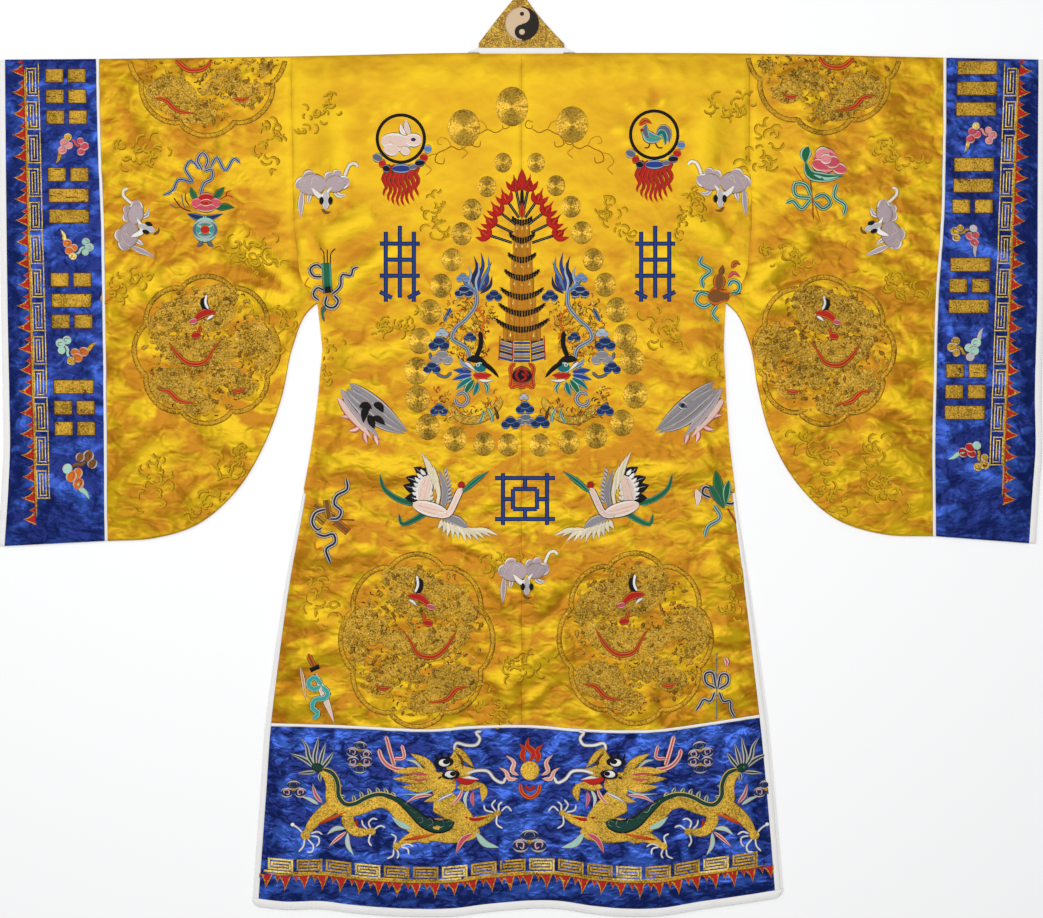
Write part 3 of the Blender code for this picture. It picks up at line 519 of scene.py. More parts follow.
def shoulder_y(x):
    """Y of the shoulder fold at an X."""
    return read(SHOULDER, "x", "y", x)


def hem_seam_y(x):
    """Y of the seam above the hem band at an X."""
    return read(HEM_SEAM, "x", "y", x)


def hem_edge_y(x):
    """Y of the hem's lower edge at an X."""
    return read(HEM_EDGE, "x", "y", x)


def side_half(side, y):
    """Half width at a height: the side edge below the armpit and the arm seam above it."""
    below = read(SIDE_EDGE, "y", side.name, y)
    above = read(ARM_SEAM, "y", side.name, y)
    return np.where(y < ARMPIT_Y, below, above)


def side_piping_width(y):
    """Width of the side's binding, which grows evenly from the slit's top to the hem seam."""
    share = (SLIT_TOP_Y - y) / (SLIT_TOP_Y - HEM_SEAM[0].y)
    return mix(SIDE_PIPING_TOP, SIDE_PIPING_HEM, np.clip(share, 0, 1))


def underarm(side, share):
    """A point of the sleeve's lower edge at a share of its length."""
    x = np.array(column_of(UNDERARM, side.name + "_x"))
    y = np.array(column_of(UNDERARM, side.name + "_y"))
    length = np.concatenate([[0], np.cumsum(np.hypot(np.diff(x), np.diff(y)))])
    length /= length[-1]
    return np.stack([side.sign * smooth(share, length, x), smooth(share, length, y)], axis=-1)


def arm_seam(side, v):
    """A point of the arm seam, v running from 0 at the shoulder to 1 at the armpit."""
    top = shoulder_y(side.sign * ARM_SEAM[0].left)
    y = mix(top, ARMPIT_Y, v)
    return np.stack([side.sign * read(ARM_SEAM, "y", side.name, y), y], axis=-1)


def cuff_seam(side, v):
    """A point of the seam between sleeve and cuff, v running from 0 at the shoulder to 1 at its foot."""
    foot = getattr(UNDERARM[-1], side.name + "_y")
    y = mix(shoulder_y(side.sign * CUFF_SEAM[0].left), foot, v)
    return np.stack([side.sign * read(CUFF_SEAM, "y", side.name, y), y], axis=-1)


def cuff_edge(side, v):
    """A point of the cuff's outer edge, v running from 0 at the shoulder to 1 at its foot."""
    y = mix(shoulder_y(side.sign * CUFF_EDGE[0].left), CUFF_FOOT_Y[side.name], v)
    return np.stack([side.sign * read(CUFF_EDGE, "y", side.name, y), y], axis=-1)


def front_shift(y):
    """How far the front is moved along X: a soft step from nothing at the chest down to the hem seam."""
    return FRONT_SHIFT * ease((SHIFT_FROM_Y - y) / (SHIFT_FROM_Y - SHIFT_TO_Y))


def outline():
    """The robe's outline without its collar, as one closed ring of points."""
    share = np.linspace(0, 1, 25)
    ring = []
    for side in (RIGHT, LEFT):
        y = mix(SIDE_EDGE[-1].y, ARMPIT_Y, share[:-1])
        half = [
            np.stack([side.sign * side_half(side, y), y], axis=-1),
            underarm(side, share),
            cuff_edge(side, 1 - share),
        ]
        x = side.sign * mix(CUFF_EDGE[0].right, 0, share)
        half.append(np.stack([x, shoulder_y(x)], axis=-1))
        half = np.concatenate(half)
        ring.append(half if side is RIGHT else half[::-1])
    x = mix(-HEM_EDGE[-1].x, HEM_EDGE[-1].x, share)
    ring.append(np.stack([x, hem_edge_y(x)], axis=-1))
    return np.concatenate(ring)


def distance_to(ring, x, y):
    """Distance from each point to the nearest side of the ring."""
    along = np.roll(ring, -1, axis=0) - ring
    length = np.maximum((along**2).sum(axis=1), 1e-12)
    found = np.full(x.size, np.inf)
    flat_x = x.ravel()
    flat_y = y.ravel()
    for start, step, square in zip(ring, along, length):
        dx = flat_x - start[0]
        dy = flat_y - start[1]
        share = np.clip((dx * step[0] + dy * step[1]) / square, 0, 1)
        found = np.minimum(found, (dx - share * step[0]) ** 2 + (dy - share * step[1]) ** 2)
    return np.sqrt(found).reshape(x.shape)


def room_grid():
    """Distance inside the outline on a grid of square cells, negative outside it."""
    ring = outline()
    x, y = np.meshgrid(np.arange(*ROOM_X, ROOM_CELL), np.arange(*ROOM_Y, ROOM_CELL), indexing="ij")
    inside = np.zeros(x.shape, bool)
    for (x0, y0), (x1, y1) in zip(ring, np.roll(ring, -1, axis=0)):
        if y0 != y1:
            crossed = (y0 > y) != (y1 > y)
            inside ^= crossed & (x < x0 + (y - y0) * (x1 - x0) / (y1 - y0))
    return np.where(inside, 1.0, -1.0) * distance_to(ring, x, y)


def room_at(points):
    """Distance inside the outline at points in plan, read from the grid."""
    if not ROOM:
        ROOM.append(room_grid())
    grid = ROOM[0]
    place = (points - np.array([ROOM_X[0], ROOM_Y[0]])) / ROOM_CELL
    place = np.clip(place, 0, np.array(grid.shape) - 1.001)
    low = place.astype(int)
    i, j = low[..., 0], low[..., 1]
    u, v = (place - low)[..., 0], (place - low)[..., 1]
    return mix(mix(grid[i, j], grid[i + 1, j], u), mix(grid[i, j + 1], grid[i + 1, j + 1], u), v)


def spread_creases():
    """The table's own creases, the ripples and the puckers, as one list of creases in millimetres."""
    chance = np.random.default_rng(SEED)
    found = list(CREASES)
    for row in RIPPLES:
        for i in range(row.number):
            share = (i + chance.uniform(0.1, 0.9)) / row.number
            turn = np.radians(row.turn + chance.uniform(-20, 20))
            half = row.length * chance.uniform(0.3, 0.62)
            x = mix(row.x0, row.x1, share) + chance.uniform(-0.2, 0.2) * row.length
            y = mix(row.y0, row.y1, share)
            dx, dy = half * np.cos(turn), half * np.sin(turn)
            bend = chance.uniform(-0.16, 0.16) * row.length
            width = row.half_width * chance.uniform(0.7, 1.5)
            height = row.height * chance.uniform(0.35, 1.25) * chance.choice(CREASE_SIGNS)
            found.append(Crease(x - dx, y - dy, x + dx, y + dy, bend, width, height))
    for row in PUCKERS:
        for i in range(row.number):
            turn = 2 * np.pi * (i + chance.uniform(-0.35, 0.35)) / row.number
            near = row.inner * chance.uniform(0.92, 1.08)
            far = mix(row.inner, row.outer, chance.uniform(0.35, 1.0))
            lean = turn + chance.uniform(-0.12, 0.12)
            width = PUCKER_HALF_WIDTH * chance.uniform(0.8, 1.4)
            height = row.height * chance.uniform(0.4, 1.1) * chance.choice(CREASE_SIGNS)
            found.append(Crease(
                row.x + near * np.cos(turn), row.y + near * np.sin(turn),
                row.x + far * np.cos(lean), row.y + far * np.sin(lean),
                chance.uniform(-4, 4), width, height,
            ))
    return found


def ridge(rows, x, y, power):
    """Summed height of the rows' ridges: a bell across each, its height falling to nothing at both ends.

    A ridge reaches out to two and a half half widths from its line, which bows aside as a parabola.
    """
    total = np.zeros(x.shape)
    for row in rows:
        reach = 2.5 * row.half_width * MM
        bend = getattr(row, "bend", 0.0) * MM
        margin = reach + abs(bend)
        x0, y0, x1, y1 = row.x0 * MM, row.y0 * MM, row.x1 * MM, row.y1 * MM
        near = (x > min(x0, x1) - margin) & (x < max(x0, x1) + margin)
        near &= (y > min(y0, y1) - margin) & (y < max(y0, y1) + margin)
        if not near.any():
            continue
        dx = x[near] - x0
        dy = y[near] - y0
        length = np.hypot(x1 - x0, y1 - y0)
        share = (dx * (x1 - x0) + dy * (y1 - y0)) / length**2
        across = (dx * (y1 - y0) - dy * (x1 - x0)) / length
        taper = np.clip(4 * share * (1 - share), 0, 1)
        across = across - bend * taper
        bell = np.exp(-((across / (row.half_width * MM)) ** 2))
        total[near] += row.height * MM * taper**power * bell
    return total


def value_noise(x, y, cell, seed):
    """Smooth noise from -1 to 1: random values on a square lattice, blended by soft steps."""
    size = 64
    lattice = np.random.default_rng(seed).uniform(-1, 1, (size, size))
    u = x / cell
    v = y / cell
    i = np.floor(u).astype(int)
    j = np.floor(v).astype(int)
    s = ease(u - i)
    t = ease(v - j)

    def corner(a, b):
        return lattice[(i + a) % size, (j + b) % size]

    low = mix(corner(0, 0), corner(1, 0), s)
    high = mix(corner(0, 1), corner(1, 1), s)
    return mix(low, high, t)


def crumple(x, y):
    """Crumpled height from 0 to 1: sharp valleys where smooth noise changes sign, in two sizes laid askew."""
    wide = 1 - np.abs(value_noise(x + 0.4 * y, 1.3 * y - 0.3 * x, CRUMPLE_WIDE, seed=3))
    fine = 1 - np.abs(value_noise(x - 0.3 * y, 1.2 * y + 0.2 * x, CRUMPLE_FINE, seed=4))
    return WIDE_PART * wide**2 + FINE_PART * fine**2


def crumple_depth(x, y):
    """How crumpled each place is: the blue cloth and the lower skirt most, the upper back least."""
    blue = (np.abs(x) > BLUE_BEYOND_X) | (y < BLUE_BELOW_Y)
    skirt = ease((SKIRT_FROM_Y - y) / SKIRT_OVER)
    sleeve = ease((np.abs(x) - SLEEVE_FROM_X) / SLEEVE_OVER_X) * ease((SLEEVE_FROM_Y - y) / SLEEVE_OVER_Y)
    yellow = CRUMPLE_LEAST + CRUMPLE_MORE * np.maximum(skirt, SLEEVE_PART * sleeve)
    return np.where(blue, CRUMPLE_BLUE, yellow)


def seams(x, y):
    """Dip of the cloth at the centre back seam and at the arm seams."""
    centre = np.where((y > hem_seam_y(0.0)) & (y < NECK_PIPING_LOW), np.abs(x), 1.0)
    left = np.abs(x + read(ARM_SEAM, "y", "left", y))
    right = np.abs(x - read(ARM_SEAM, "y", "right", y))
    arm = np.where(y > ARMPIT_Y, np.minimum(left, right), 1.0)
    return SEAM_DIP * np.exp(-((np.minimum(centre, arm) / SEAM_REACH) ** 2))


# Worked out once: the outline, and all creases finer than the large folds
OUTLINE = outline()
FINE_CREASES = spread_creases()


def rise(plan):
    """Height of the back's underside over a plan: lift, folds and creases, which fade out at the outline."""
    x = plan[..., 0]
    y = plan[..., 1]
    away = distance_to(OUTLINE, x, y)
    height = (LIFT + ridge(FOLDS, x, y, FOLD_TAPER)) * ease(away / EDGE_FADE)
    fine = ridge(FINE_CREASES, x, y, CREASE_TAPER) + crumple_depth(x, y) * (crumple(x, y) - 0.5)
    height += (fine - seams(x, y)) * ease(away / CREASE_FADE)
    return BACK_BASE + np.maximum(height, 0) * (y < shoulder_y(x))


def cloth_top(plan):
    """Height of the cloth's upper face over a plan."""
    return rise(plan) + CLOTH


def wall(plan, low, crown=0.0):
    """A wall of cloth over a plan: its upper points, raised by crown, and its lower points."""
    low = np.broadcast_to(low, plan.shape[:-1])
    lower = np.concatenate([plan, low[..., None]], axis=-1)
    upper = lower.copy()
    upper[..., 2] += CLOTH + crown
    return upper, lower


def back_wall(plan, crown=0.0):
    """A wall of cloth at the height of the back layer."""
    return wall(plan, rise(plan), crown)


def shifted(plan):
    """The front layer's plan, moved aside towards the hem."""
    moved = plan.copy()
    moved[..., 0] += front_shift(plan[..., 1])
    return moved


# Turns round a folded edge at which its rows lie, from the upper layer to the lower one
FOLD_TURNS = np.radians([60.0, 30.0, 0.0, -30.0, -60.0])


def fold_rows(edge, inwards):
    """The turned edge between two layers: half a circle in section, the inner wall one cloth inside."""
    outer = []
    inner = []
    for turn in FOLD_TURNS:
        for radius, rows in ((FOLD_RADIUS, outer), (FOLD_RADIUS - CLOTH, inner)):
            plan = edge + inwards * (FOLD_RADIUS - radius * np.cos(turn))
            height = np.full(edge.shape[:-1] + (1,), FOLD_RADIUS + radius * np.sin(turn))
            rows.append(np.concatenate([plan, height], axis=-1))
    return np.stack(outer), np.stack(inner)


def facing_out(points, faces):
    """The faces of a closed body, all turned over if its signed volume is below nothing."""
    centred = points - points.mean(axis=0)
    corners = [centred[faces[:, i]] for i in range(4)]
    volume = 0.0
    for i in (1, 2):
        volume += (np.cross(corners[i], corners[i + 1]) * corners[0]).sum()
    return faces[:, ::-1] if volume < 0 else faces


def shell(outer, inner, active=None, closed=False):
    """A closed body from two matching grids of points, with walls round the rim of the active cells.

    closed joins the last row to the first.
    """
    rows, columns = outer.shape[:2]
    count = rows * columns
    cell_rows = rows if closed else rows - 1
    r, c = np.meshgrid(np.arange(cell_rows), np.arange(columns - 1), indexing="ij")
    if active is not None:
        r, c = r[active], c[active]
    r, c = r.ravel(), c.ravel()
    after = (r + 1) % rows
    here = r * columns + c
    below = after * columns + c
    upper = np.stack([here, here + 1, below + 1, below], axis=-1)
    lower = upper[:, ::-1] + count
    starts = upper.ravel()
    ends = np.roll(upper, -1, axis=1).ravel()
    keys = np.minimum(starts, ends) * (2 * count) + np.maximum(starts, ends)
    _, index, uses = np.unique(keys, return_inverse=True, return_counts=True)
    rim = uses[index.reshape(-1)] == 1
    starts, ends = starts[rim], ends[rim]
    walls = np.stack([ends, starts, starts + count, ends + count], axis=-1)
    faces = np.concatenate([upper, lower, walls])
    points = np.concatenate([outer.reshape(-1, 3), inner.reshape(-1, 3)])
    used, faces = np.unique(faces, return_inverse=True)
    faces = faces.reshape(-1, 4)
    points = points[used]
    return points, facing_out(points, faces)


# Painted shade in the cloth's hollows: rounds of averaging round each point of the cloth, and the depth at
# which a hollow is fully shaded
TROUGH_ROUNDS = 36
TROUGH_DEPTH = 0.0016

# Grid of the back layer, in metres, and rows of the front layer, which lies face down
MESH_STEP = 0.0062
FRONT_LOWER_ROWS = 9
FRONT_UPPER_ROWS = 5
FRONT_HEM_ROWS = 3

# Bindings and pipings: how high they are rounded, and columns across
PIPING_CROWN = 0.0013
PIPING_COLUMNS = 4


def steps(length):
    """How many steps of the mesh a length takes, two at least."""
    return max(2, int(round(length / MESH_STEP)))


def beside(edge, offset, side):
    """An edge moved along X, away from the centre by offset."""
    return lambda v: edge(side, v) + np.array([side.sign * offset, 0.0])


def crowned(columns):
    """Height of a rounded strip over its columns: a parabola that is nothing at both sides."""
    across = np.linspace(-1, 1, columns + 1)
    return PIPING_CROWN * (1 - across**2)


def flat_tube(inner_edge, outer_edge, top_edge=None, bottom_edge=None, columns=PIPING_COLUMNS, crown=0.0):
    """A flattened tube between two edges that run from the shoulder fold round the underarm fold and back.

    The plan is a Coons patch: straight rows from edge to edge, plus the bow of the top and bottom edges, each
    times its share. inner_edge and outer_edge give its points at v, from 0 at the shoulder to 1 at the
    underarm. top_edge and bottom_edge, straight where they aren't given, give them at u along the sleeve.
    """
    u = np.linspace(0, 1, columns + 1)

    def patch(v):
        start = inner_edge(v)[:, None]
        end = outer_edge(v)[:, None]
        ruled = mix(start, end, u[None, :, None])
        for edge, corner, share in ((top_edge, 0.0, 1 - v), (bottom_edge, 1.0, v)):
            if edge is not None:
                first = inner_edge(np.array([corner]))[0]
                last = outer_edge(np.array([corner]))[0]
                bow = edge(u) - mix(first, last, u[:, None])
                ruled = ruled + share[:, None, None] * bow[None]
        return ruled

    top = patch(TOP_V[1:-1])
    bottom = patch(BOTTOM_V[1:-1])[::-1]
    shoulder = patch(np.array([0.0]))[0]
    foot = patch(np.array([1.0]))[0]
    into_foot = top[-1] - foot
    into_foot /= np.linalg.norm(into_foot, axis=-1, keepdims=True)
    into_shoulder = top[0] - shoulder
    into_shoulder /= np.linalg.norm(into_shoulder, axis=-1, keepdims=True)
    top_upper, top_lower = back_wall(top, crown)
    foot_outer, foot_inner = fold_rows(foot, into_foot)
    front_upper, front_lower = wall(bottom, 0.0)
    shoulder_outer, shoulder_inner = fold_rows(shoulder, into_shoulder)
    outer = np.concatenate([top_upper, foot_outer, front_lower, shoulder_outer[::-1]])
    inner = np.concatenate([top_lower, foot_inner, front_upper, shoulder_inner[::-1]])
    return shell(outer, inner, closed=True)


def column_x(columns, half):
    """X of each column: 0 to 1 spans the neck and 1 to 2 the rest of the half width."""
    neck = np.minimum(columns, 1) * NECK_HALF
    return neck + np.maximum(columns - 1, 0) * (half - NECK_HALF)


def side_inset(y):
    """Room for the side piping, from the slit down."""
    return np.where(y < SLIT_TOP_Y, side_piping_width(y) + SEAM_GAP, 0.0)


def body_plan(side, levels, columns):
    """Plan of a body half: level -1 is the hem seam, 0 the armpit and 1 the shoulder fold."""
    level = levels[:, None]
    column = columns[None, :]
    foot_y = hem_seam_y(side.sign * SIDE_EDGE[-3].left)
    top_y = shoulder_y(side.sign * ARM_SEAM[0].left)
    side_y = np.where(level < 0, mix(ARMPIT_Y, foot_y, -level), mix(ARMPIT_Y, top_y, level))
    half = side_half(side, side_y) - side_inset(side_y) - np.where(level > 0, CLOSE_SEAM, 0.0)
    x = side.sign * np.maximum(column_x(column, half), CLOSE_SEAM)
    foot_half = side_half(side, foot_y) - side_inset(foot_y)
    foot_x = side.sign * column_x(column, foot_half)
    foot = hem_seam_y(foot_x) + SEAM_PIPING / 2 + SEAM_GAP
    y = np.where(level < 0, mix(ARMPIT_Y, foot, -level), mix(ARMPIT_Y, shoulder_y(x), level))
    return np.stack([x, y], axis=-1)


def body_half(side):
    """Back and front of one half in one piece, turned at the shoulder."""
    back = body_plan(side, BACK_LEVELS, BODY_C)
    turn = body_plan(side, np.array([1.0]), BODY_C)[0]
    front = shifted(body_plan(side, FRONT_LEVELS[::-1], BODY_C))
    back_upper, back_lower = back_wall(back)
    turn_outer, turn_inner = fold_rows(turn, np.array([0.0, -1.0]))
    front_upper, front_lower = wall(front, 0.0)
    outer = np.concatenate([back_upper, turn_outer, front_lower])
    inner = np.concatenate([back_lower, turn_inner, front_upper])
    active = np.ones((len(outer) - 1, len(BODY_C) - 1), bool)
    active[len(back) + len(FOLD_TURNS) // 2 :, :NECK_COLUMNS] = False
    return shell(outer, inner, active)


def hem_plan(edge_y, seam_y, shares, columns, sides):
    """Plan of a strip across the skirt from its lower edge, share 0, to its upper edge, share 1.

    The edges bend with X and the sides lean with Y, so the X of the lowest row is found in two rounds.
    """
    plans = []
    for side in sides:
        ordered = columns[::-1] if side is LEFT else columns
        foot = side_half(side, seam_y(0.0))
        guide = side.sign * column_x(ordered, foot)
        for _ in range(2):
            y = mix(edge_y(guide), seam_y(guide), shares[:, None])
            half = side_half(side, y) - side_inset(y)
            x = side.sign * column_x(ordered[None, :], half)
            guide = x[0]
        y = mix(edge_y(x), seam_y(x), shares[:, None])
        plans.append(np.stack([x, y], axis=-1))
    if len(plans) == 2:
        plans[1] = plans[1][:, 1:]
    return np.concatenate(plans, axis=1)


def shifted_up(curve, offset):
    """A curve over X, moved along Y by offset."""
    return lambda x: curve(x) + offset


def hem_edge_plan(sides, columns, rise_by):
    """Plan of the binding along the hem, its outer corners rounded."""
    shares = np.linspace(0, 1, PIPING_COLUMNS + 1)
    plan = hem_plan(
        shifted_up(hem_edge_y, rise_by),
        shifted_up(hem_edge_y, rise_by + HEM_EDGE_PIPING),
        shares,
        columns,
        sides,
    )
    for side in sides:
        at = 0 if side is LEFT else -1
        corner = plan[:, at]
        end = side.sign * side_half(side, corner[0, 1])
        spare = np.abs(end - corner[0, 0])
        inset = np.array(CORNER_COLUMNS) * spare
        x = end - side.sign * inset
        cut = np.maximum(CORNER_RADIUS - inset, 0)
        lift = CORNER_RADIUS - np.sqrt(CORNER_RADIUS**2 - cut**2)
        lift = np.minimum(lift, HEM_EDGE_PIPING - CORNER_LEAST)
        low = hem_edge_y(x) + rise_by + lift
        high = hem_edge_y(x) + rise_by + HEM_EDGE_PIPING
        y = mix(low[None], high[None], shares[:, None])
        more = np.stack([np.broadcast_to(x, y.shape), y], axis=-1)
        parts = [more[:, ::-1], plan] if side is LEFT else [plan, more]
        plan = np.concatenate(parts, axis=1)
    return plan


def side_piping_plan(side, body_levels, hem_shares, rise_by):
    """Plan of the binding down the side, sharing its rows with the body and the hem."""
    last = np.array([2.0])
    low = shifted_up(hem_edge_y, rise_by + HEM_EDGE_PIPING + SEAM_GAP)
    high = shifted_up(hem_seam_y, -SEAM_PIPING / 2 - SEAM_GAP)
    body = body_plan(side, body_levels, last)[:, 0]
    hem = hem_plan(low, high, hem_shares, last, (side,))[:, 0]
    y = np.concatenate([hem[:, 1], body[:, 1]])
    outer_x = side.sign * side_half(side, y)
    inner_x = outer_x - side.sign * side_piping_width(y)
    share = np.linspace(0, 1, PIPING_COLUMNS + 1)[None, :]
    x = mix(inner_x[:, None], outer_x[:, None], share)
    rows = np.broadcast_to(y[:, None], x.shape).copy()
    rows[0] = low(x[0])
    return np.stack([x, rows], axis=-1)


def slit_level(side):
    """Level of the slit's top on a body half, between 0 at the armpit and -1 at the hem seam."""
    foot_y = hem_seam_y(side.sign * SIDE_EDGE[-3].left)
    return -(ARMPIT_Y - SLIT_TOP_Y) / (ARMPIT_Y - foot_y)


def collar_half(side):
    """The collar band of one side: mitred at the back of the neck, turned over and on down the front."""
    x = np.linspace(CLOSE_SEAM, NECK_HALF - SEAM_GAP, NECK_COLUMNS + 1)
    top_y = read(COLLAR_TOP, "x", side.name, x)
    near_top = top_y - FOLD_RADIUS
    back_y = mix(COLLAR_BASE_Y, near_top[None, :], np.linspace(0, 1, COLLAR_ROWS)[:, None])
    neck_y = np.full_like(x, shoulder_y(0.0))
    level_rows = body_plan(side, FRONT_LEVELS[::-1][1:], np.array([1.0]))[:, 0, 1]
    hem_rows = hem_plan(
        shifted_up(hem_edge_y, FRONT_HEM_RISE),
        shifted_up(hem_seam_y, 0.0),
        np.linspace(0, 1, FRONT_HEM_ROWS + 1)[:-1],
        np.array([1.0]),
        (side,),
    )[::-1, 0, 1]
    hem_rows[-1] += COLLAR_SHORTFALL
    down = np.concatenate([level_rows, hem_rows])[:, None] + 0 * x[None, :]
    front_y = np.concatenate([near_top[None, :], neck_y[None, :], down])
    back = np.stack([side.sign * x + 0 * back_y, back_y], axis=-1)
    front = shifted(np.stack([side.sign * x + 0 * front_y, front_y], axis=-1))
    back_upper, back_lower = back_wall(back)
    turn = np.stack([side.sign * x, top_y], axis=-1)
    turn_outer, turn_inner = fold_rows(turn, np.array([0.0, -1.0]))
    front_upper, front_lower = wall(front, 0.0)
    outer = np.concatenate([back_upper, turn_outer, front_lower])
    inner = np.concatenate([back_lower, turn_inner, front_upper])
    return shell(outer, inner)


def badge():
    """A round badge with a flat foot: a dome of rings that falls as the fourth power of the radius."""
    turn = np.linspace(0, 2 * np.pi, BADGE_SPOKES, endpoint=False)
    radius = np.linspace(0, 1, BADGE_RINGS + 1)[1:]
    low = BACK_BASE + CLOTH + BADGE_GAP
    heights = low + BADGE_THICK * (1 - BADGE_FALL * radius**4)
    radius = np.append(radius, 1.0)
    heights = np.append(heights, low)
    x = BADGE_CENTRE[0] + BADGE_RADIUS * radius[:, None] * np.cos(turn)
    y = BADGE_CENTRE[1] + BADGE_RADIUS * radius[:, None] * np.sin(turn)
    z = np.broadcast_to(heights[:, None], x.shape)
    middle = [[*BADGE_CENTRE, low + BADGE_THICK], [*BADGE_CENTRE, low]]
    points = np.concatenate([np.stack([x, y, z], axis=-1).reshape(-1, 3), middle])
    row, spoke = np.meshgrid(np.arange(BADGE_RINGS), np.arange(BADGE_SPOKES), indexing="ij")
    start = row * BADGE_SPOKES + spoke
    end = row * BADGE_SPOKES + (spoke + 1) % BADGE_SPOKES
    rings = np.stack([start, start + BADGE_SPOKES, end + BADGE_SPOKES, end], axis=-1).reshape(-1, 4)
    here = np.arange(BADGE_SPOKES)
    after = (here + 1) % BADGE_SPOKES
    last = BADGE_SPOKES * BADGE_RINGS
    crown = np.stack([np.full(BADGE_SPOKES, len(points) - 2), here, after], axis=-1)
    foot = np.stack([np.full(BADGE_SPOKES, len(points) - 1), last + after, last + here], axis=-1)
    return points, [rings, np.concatenate([crown, foot])]


def neck_piping_plan():
    """Plan of the white strip under the collar, its tails pointed."""
    middle = np.linspace(0, NECK_PIPING_HALF, 16)
    half = np.concatenate([middle, np.linspace(NECK_PIPING_TAIL_FROM, NECK_PIPING_TAIL, 6)])
    tail = np.clip((half - NECK_PIPING_TAIL_FROM) / (NECK_PIPING_TAIL - NECK_PIPING_TAIL_FROM), 0, 1)
    low = np.where(half < NECK_PIPING_TAIL_FROM, NECK_PIPING_LOW, shoulder_y(0.0) + SEAM_GAP)
    high = mix(NECK_PIPING_HIGH, low + NECK_PIPING_POINT, tail)
    x = np.concatenate([-half[:0:-1], half])
    low = np.concatenate([low[:0:-1], low])
    high = np.concatenate([high[:0:-1], high])
    y = mix(low, high, np.linspace(0, 1, PIPING_COLUMNS + 1)[:, None])
    return np.stack([np.broadcast_to(x, y.shape), y], axis=-1)


def shoulder_edge(side, u):
    """The sleeve's shoulder fold, its ends drawn in by the seam gaps."""
    start = arm_seam(side, 0.0)[0] + side.sign * CLOSE_SEAM
    end = cuff_seam(side, 0.0)[0] - side.sign * (SEAM_PIPING / 2 + SEAM_GAP)
    x = mix(start, end, u)
    return np.stack([x, shoulder_y(x)], axis=-1)


def underarm_edge(side, u):
    """The sleeve's lower edge, its ends drawn in by the seam gaps."""
    edge = underarm(side, u)
    edge[..., 0] += side.sign * mix(CLOSE_SEAM, -(SEAM_PIPING / 2 + SEAM_GAP), u)
    return edge


# Half of the gap at a seam of yellow on yellow
CLOSE_SEAM = 0.0001

# Rows shared by neighbouring pieces. v runs down a sleeve, and the levels up a body half.
NECK_COLUMNS = steps(NECK_HALF)
COLLAR_ROWS = 20

# How far the collar's lower end stops short of the front's edge, so that the back hem covers it
COLLAR_SHORTFALL = 0.009
SLEEVE_DEPTH = SHOULDER[3].y - ARMPIT_Y
INSET_V = FOLD_RADIUS / SLEEVE_DEPTH
TOP_ROWS = steps(SHOULDER[0].y - CUFF_FOOT_Y["left"])
TOP_V = np.concatenate([[0.0], np.linspace(INSET_V, 1 - INSET_V, TOP_ROWS), [1.0]])
BOTTOM_V = np.concatenate([[0.0], np.linspace(INSET_V, 1 - INSET_V, FRONT_UPPER_ROWS + 1), [1.0]])
UPPER_LEVELS = np.linspace(0, 1 - INSET_V, steps(SLEEVE_DEPTH))[1:]
BACK_LEVELS = np.concatenate([np.linspace(-1, 0, steps(ARMPIT_Y - HEM_SEAM[0].y)), UPPER_LEVELS])
FRONT_LEVELS = np.concatenate([
    np.linspace(-1, 0, FRONT_LOWER_ROWS + 1),
    np.linspace(0, 1 - INSET_V, FRONT_UPPER_ROWS + 1)[1:],
])
HEM_SHARES = np.linspace(0, 1, steps(HEM_SEAM[0].y - HEM_EDGE[0].y))
FRONT_HEM_SHARES = np.linspace(0, 1, FRONT_HEM_ROWS + 1)
FRONT_C = np.linspace(1, 2, steps(SIDE_EDGE[-3].left - NECK_HALF))
BODY_C = np.concatenate([np.linspace(0, 1, NECK_COLUMNS + 1)[:-1], FRONT_C])


def make_mesh(name, points, faces, per_point=None, per_face=None, colours=None, uv=None):
    """A mesh object from arrays: faces is a list of arrays, one for each number of corners."""
    mesh = bpy.data.meshes.new(name)
    mesh.vertices.add(len(points))
    mesh.vertices.foreach_set("co", np.asarray(points, np.float32).ravel())
    corners = np.concatenate([group.ravel() for group in faces])
    totals = np.concatenate([np.full(len(group), group.shape[1]) for group in faces])
    mesh.loops.add(len(corners))
    mesh.loops.foreach_set("vertex_index", corners.astype(np.int32))
    mesh.polygons.add(len(totals))
    starts = np.concatenate([[0], np.cumsum(totals)[:-1]])
    mesh.polygons.foreach_set("loop_start", starts.astype(np.int32))
    mesh.polygons.foreach_set("loop_total", totals.astype(np.int32))
    mesh.polygons.foreach_set("use_smooth", np.ones(len(totals), bool))
    if per_face is not None:
        mesh.polygons.foreach_set("material_index", per_face.astype(np.int32))
    mesh.update(calc_edges=True)
    if per_point is not None:
        for key, values in per_point.items():
            layer = mesh.attributes.new(key, "FLOAT", "POINT")
            layer.data.foreach_set("value", values.astype(np.float32))
    if colours is not None:
        layer = mesh.attributes.new("thread", "FLOAT_COLOR", "POINT")
        rgba = np.concatenate([colours, np.ones((len(colours), 1))], axis=1)
        layer.data.foreach_set("color", rgba.astype(np.float32).ravel())
    if uv is not None:
        layer = mesh.uv_layers.new(name="stitches")
        layer.data.foreach_set("uv", uv[corners].astype(np.float32).ravel())
    piece = bpy.data.objects.new(name, mesh)
    bpy.context.scene.collection.objects.link(piece)
    return piece


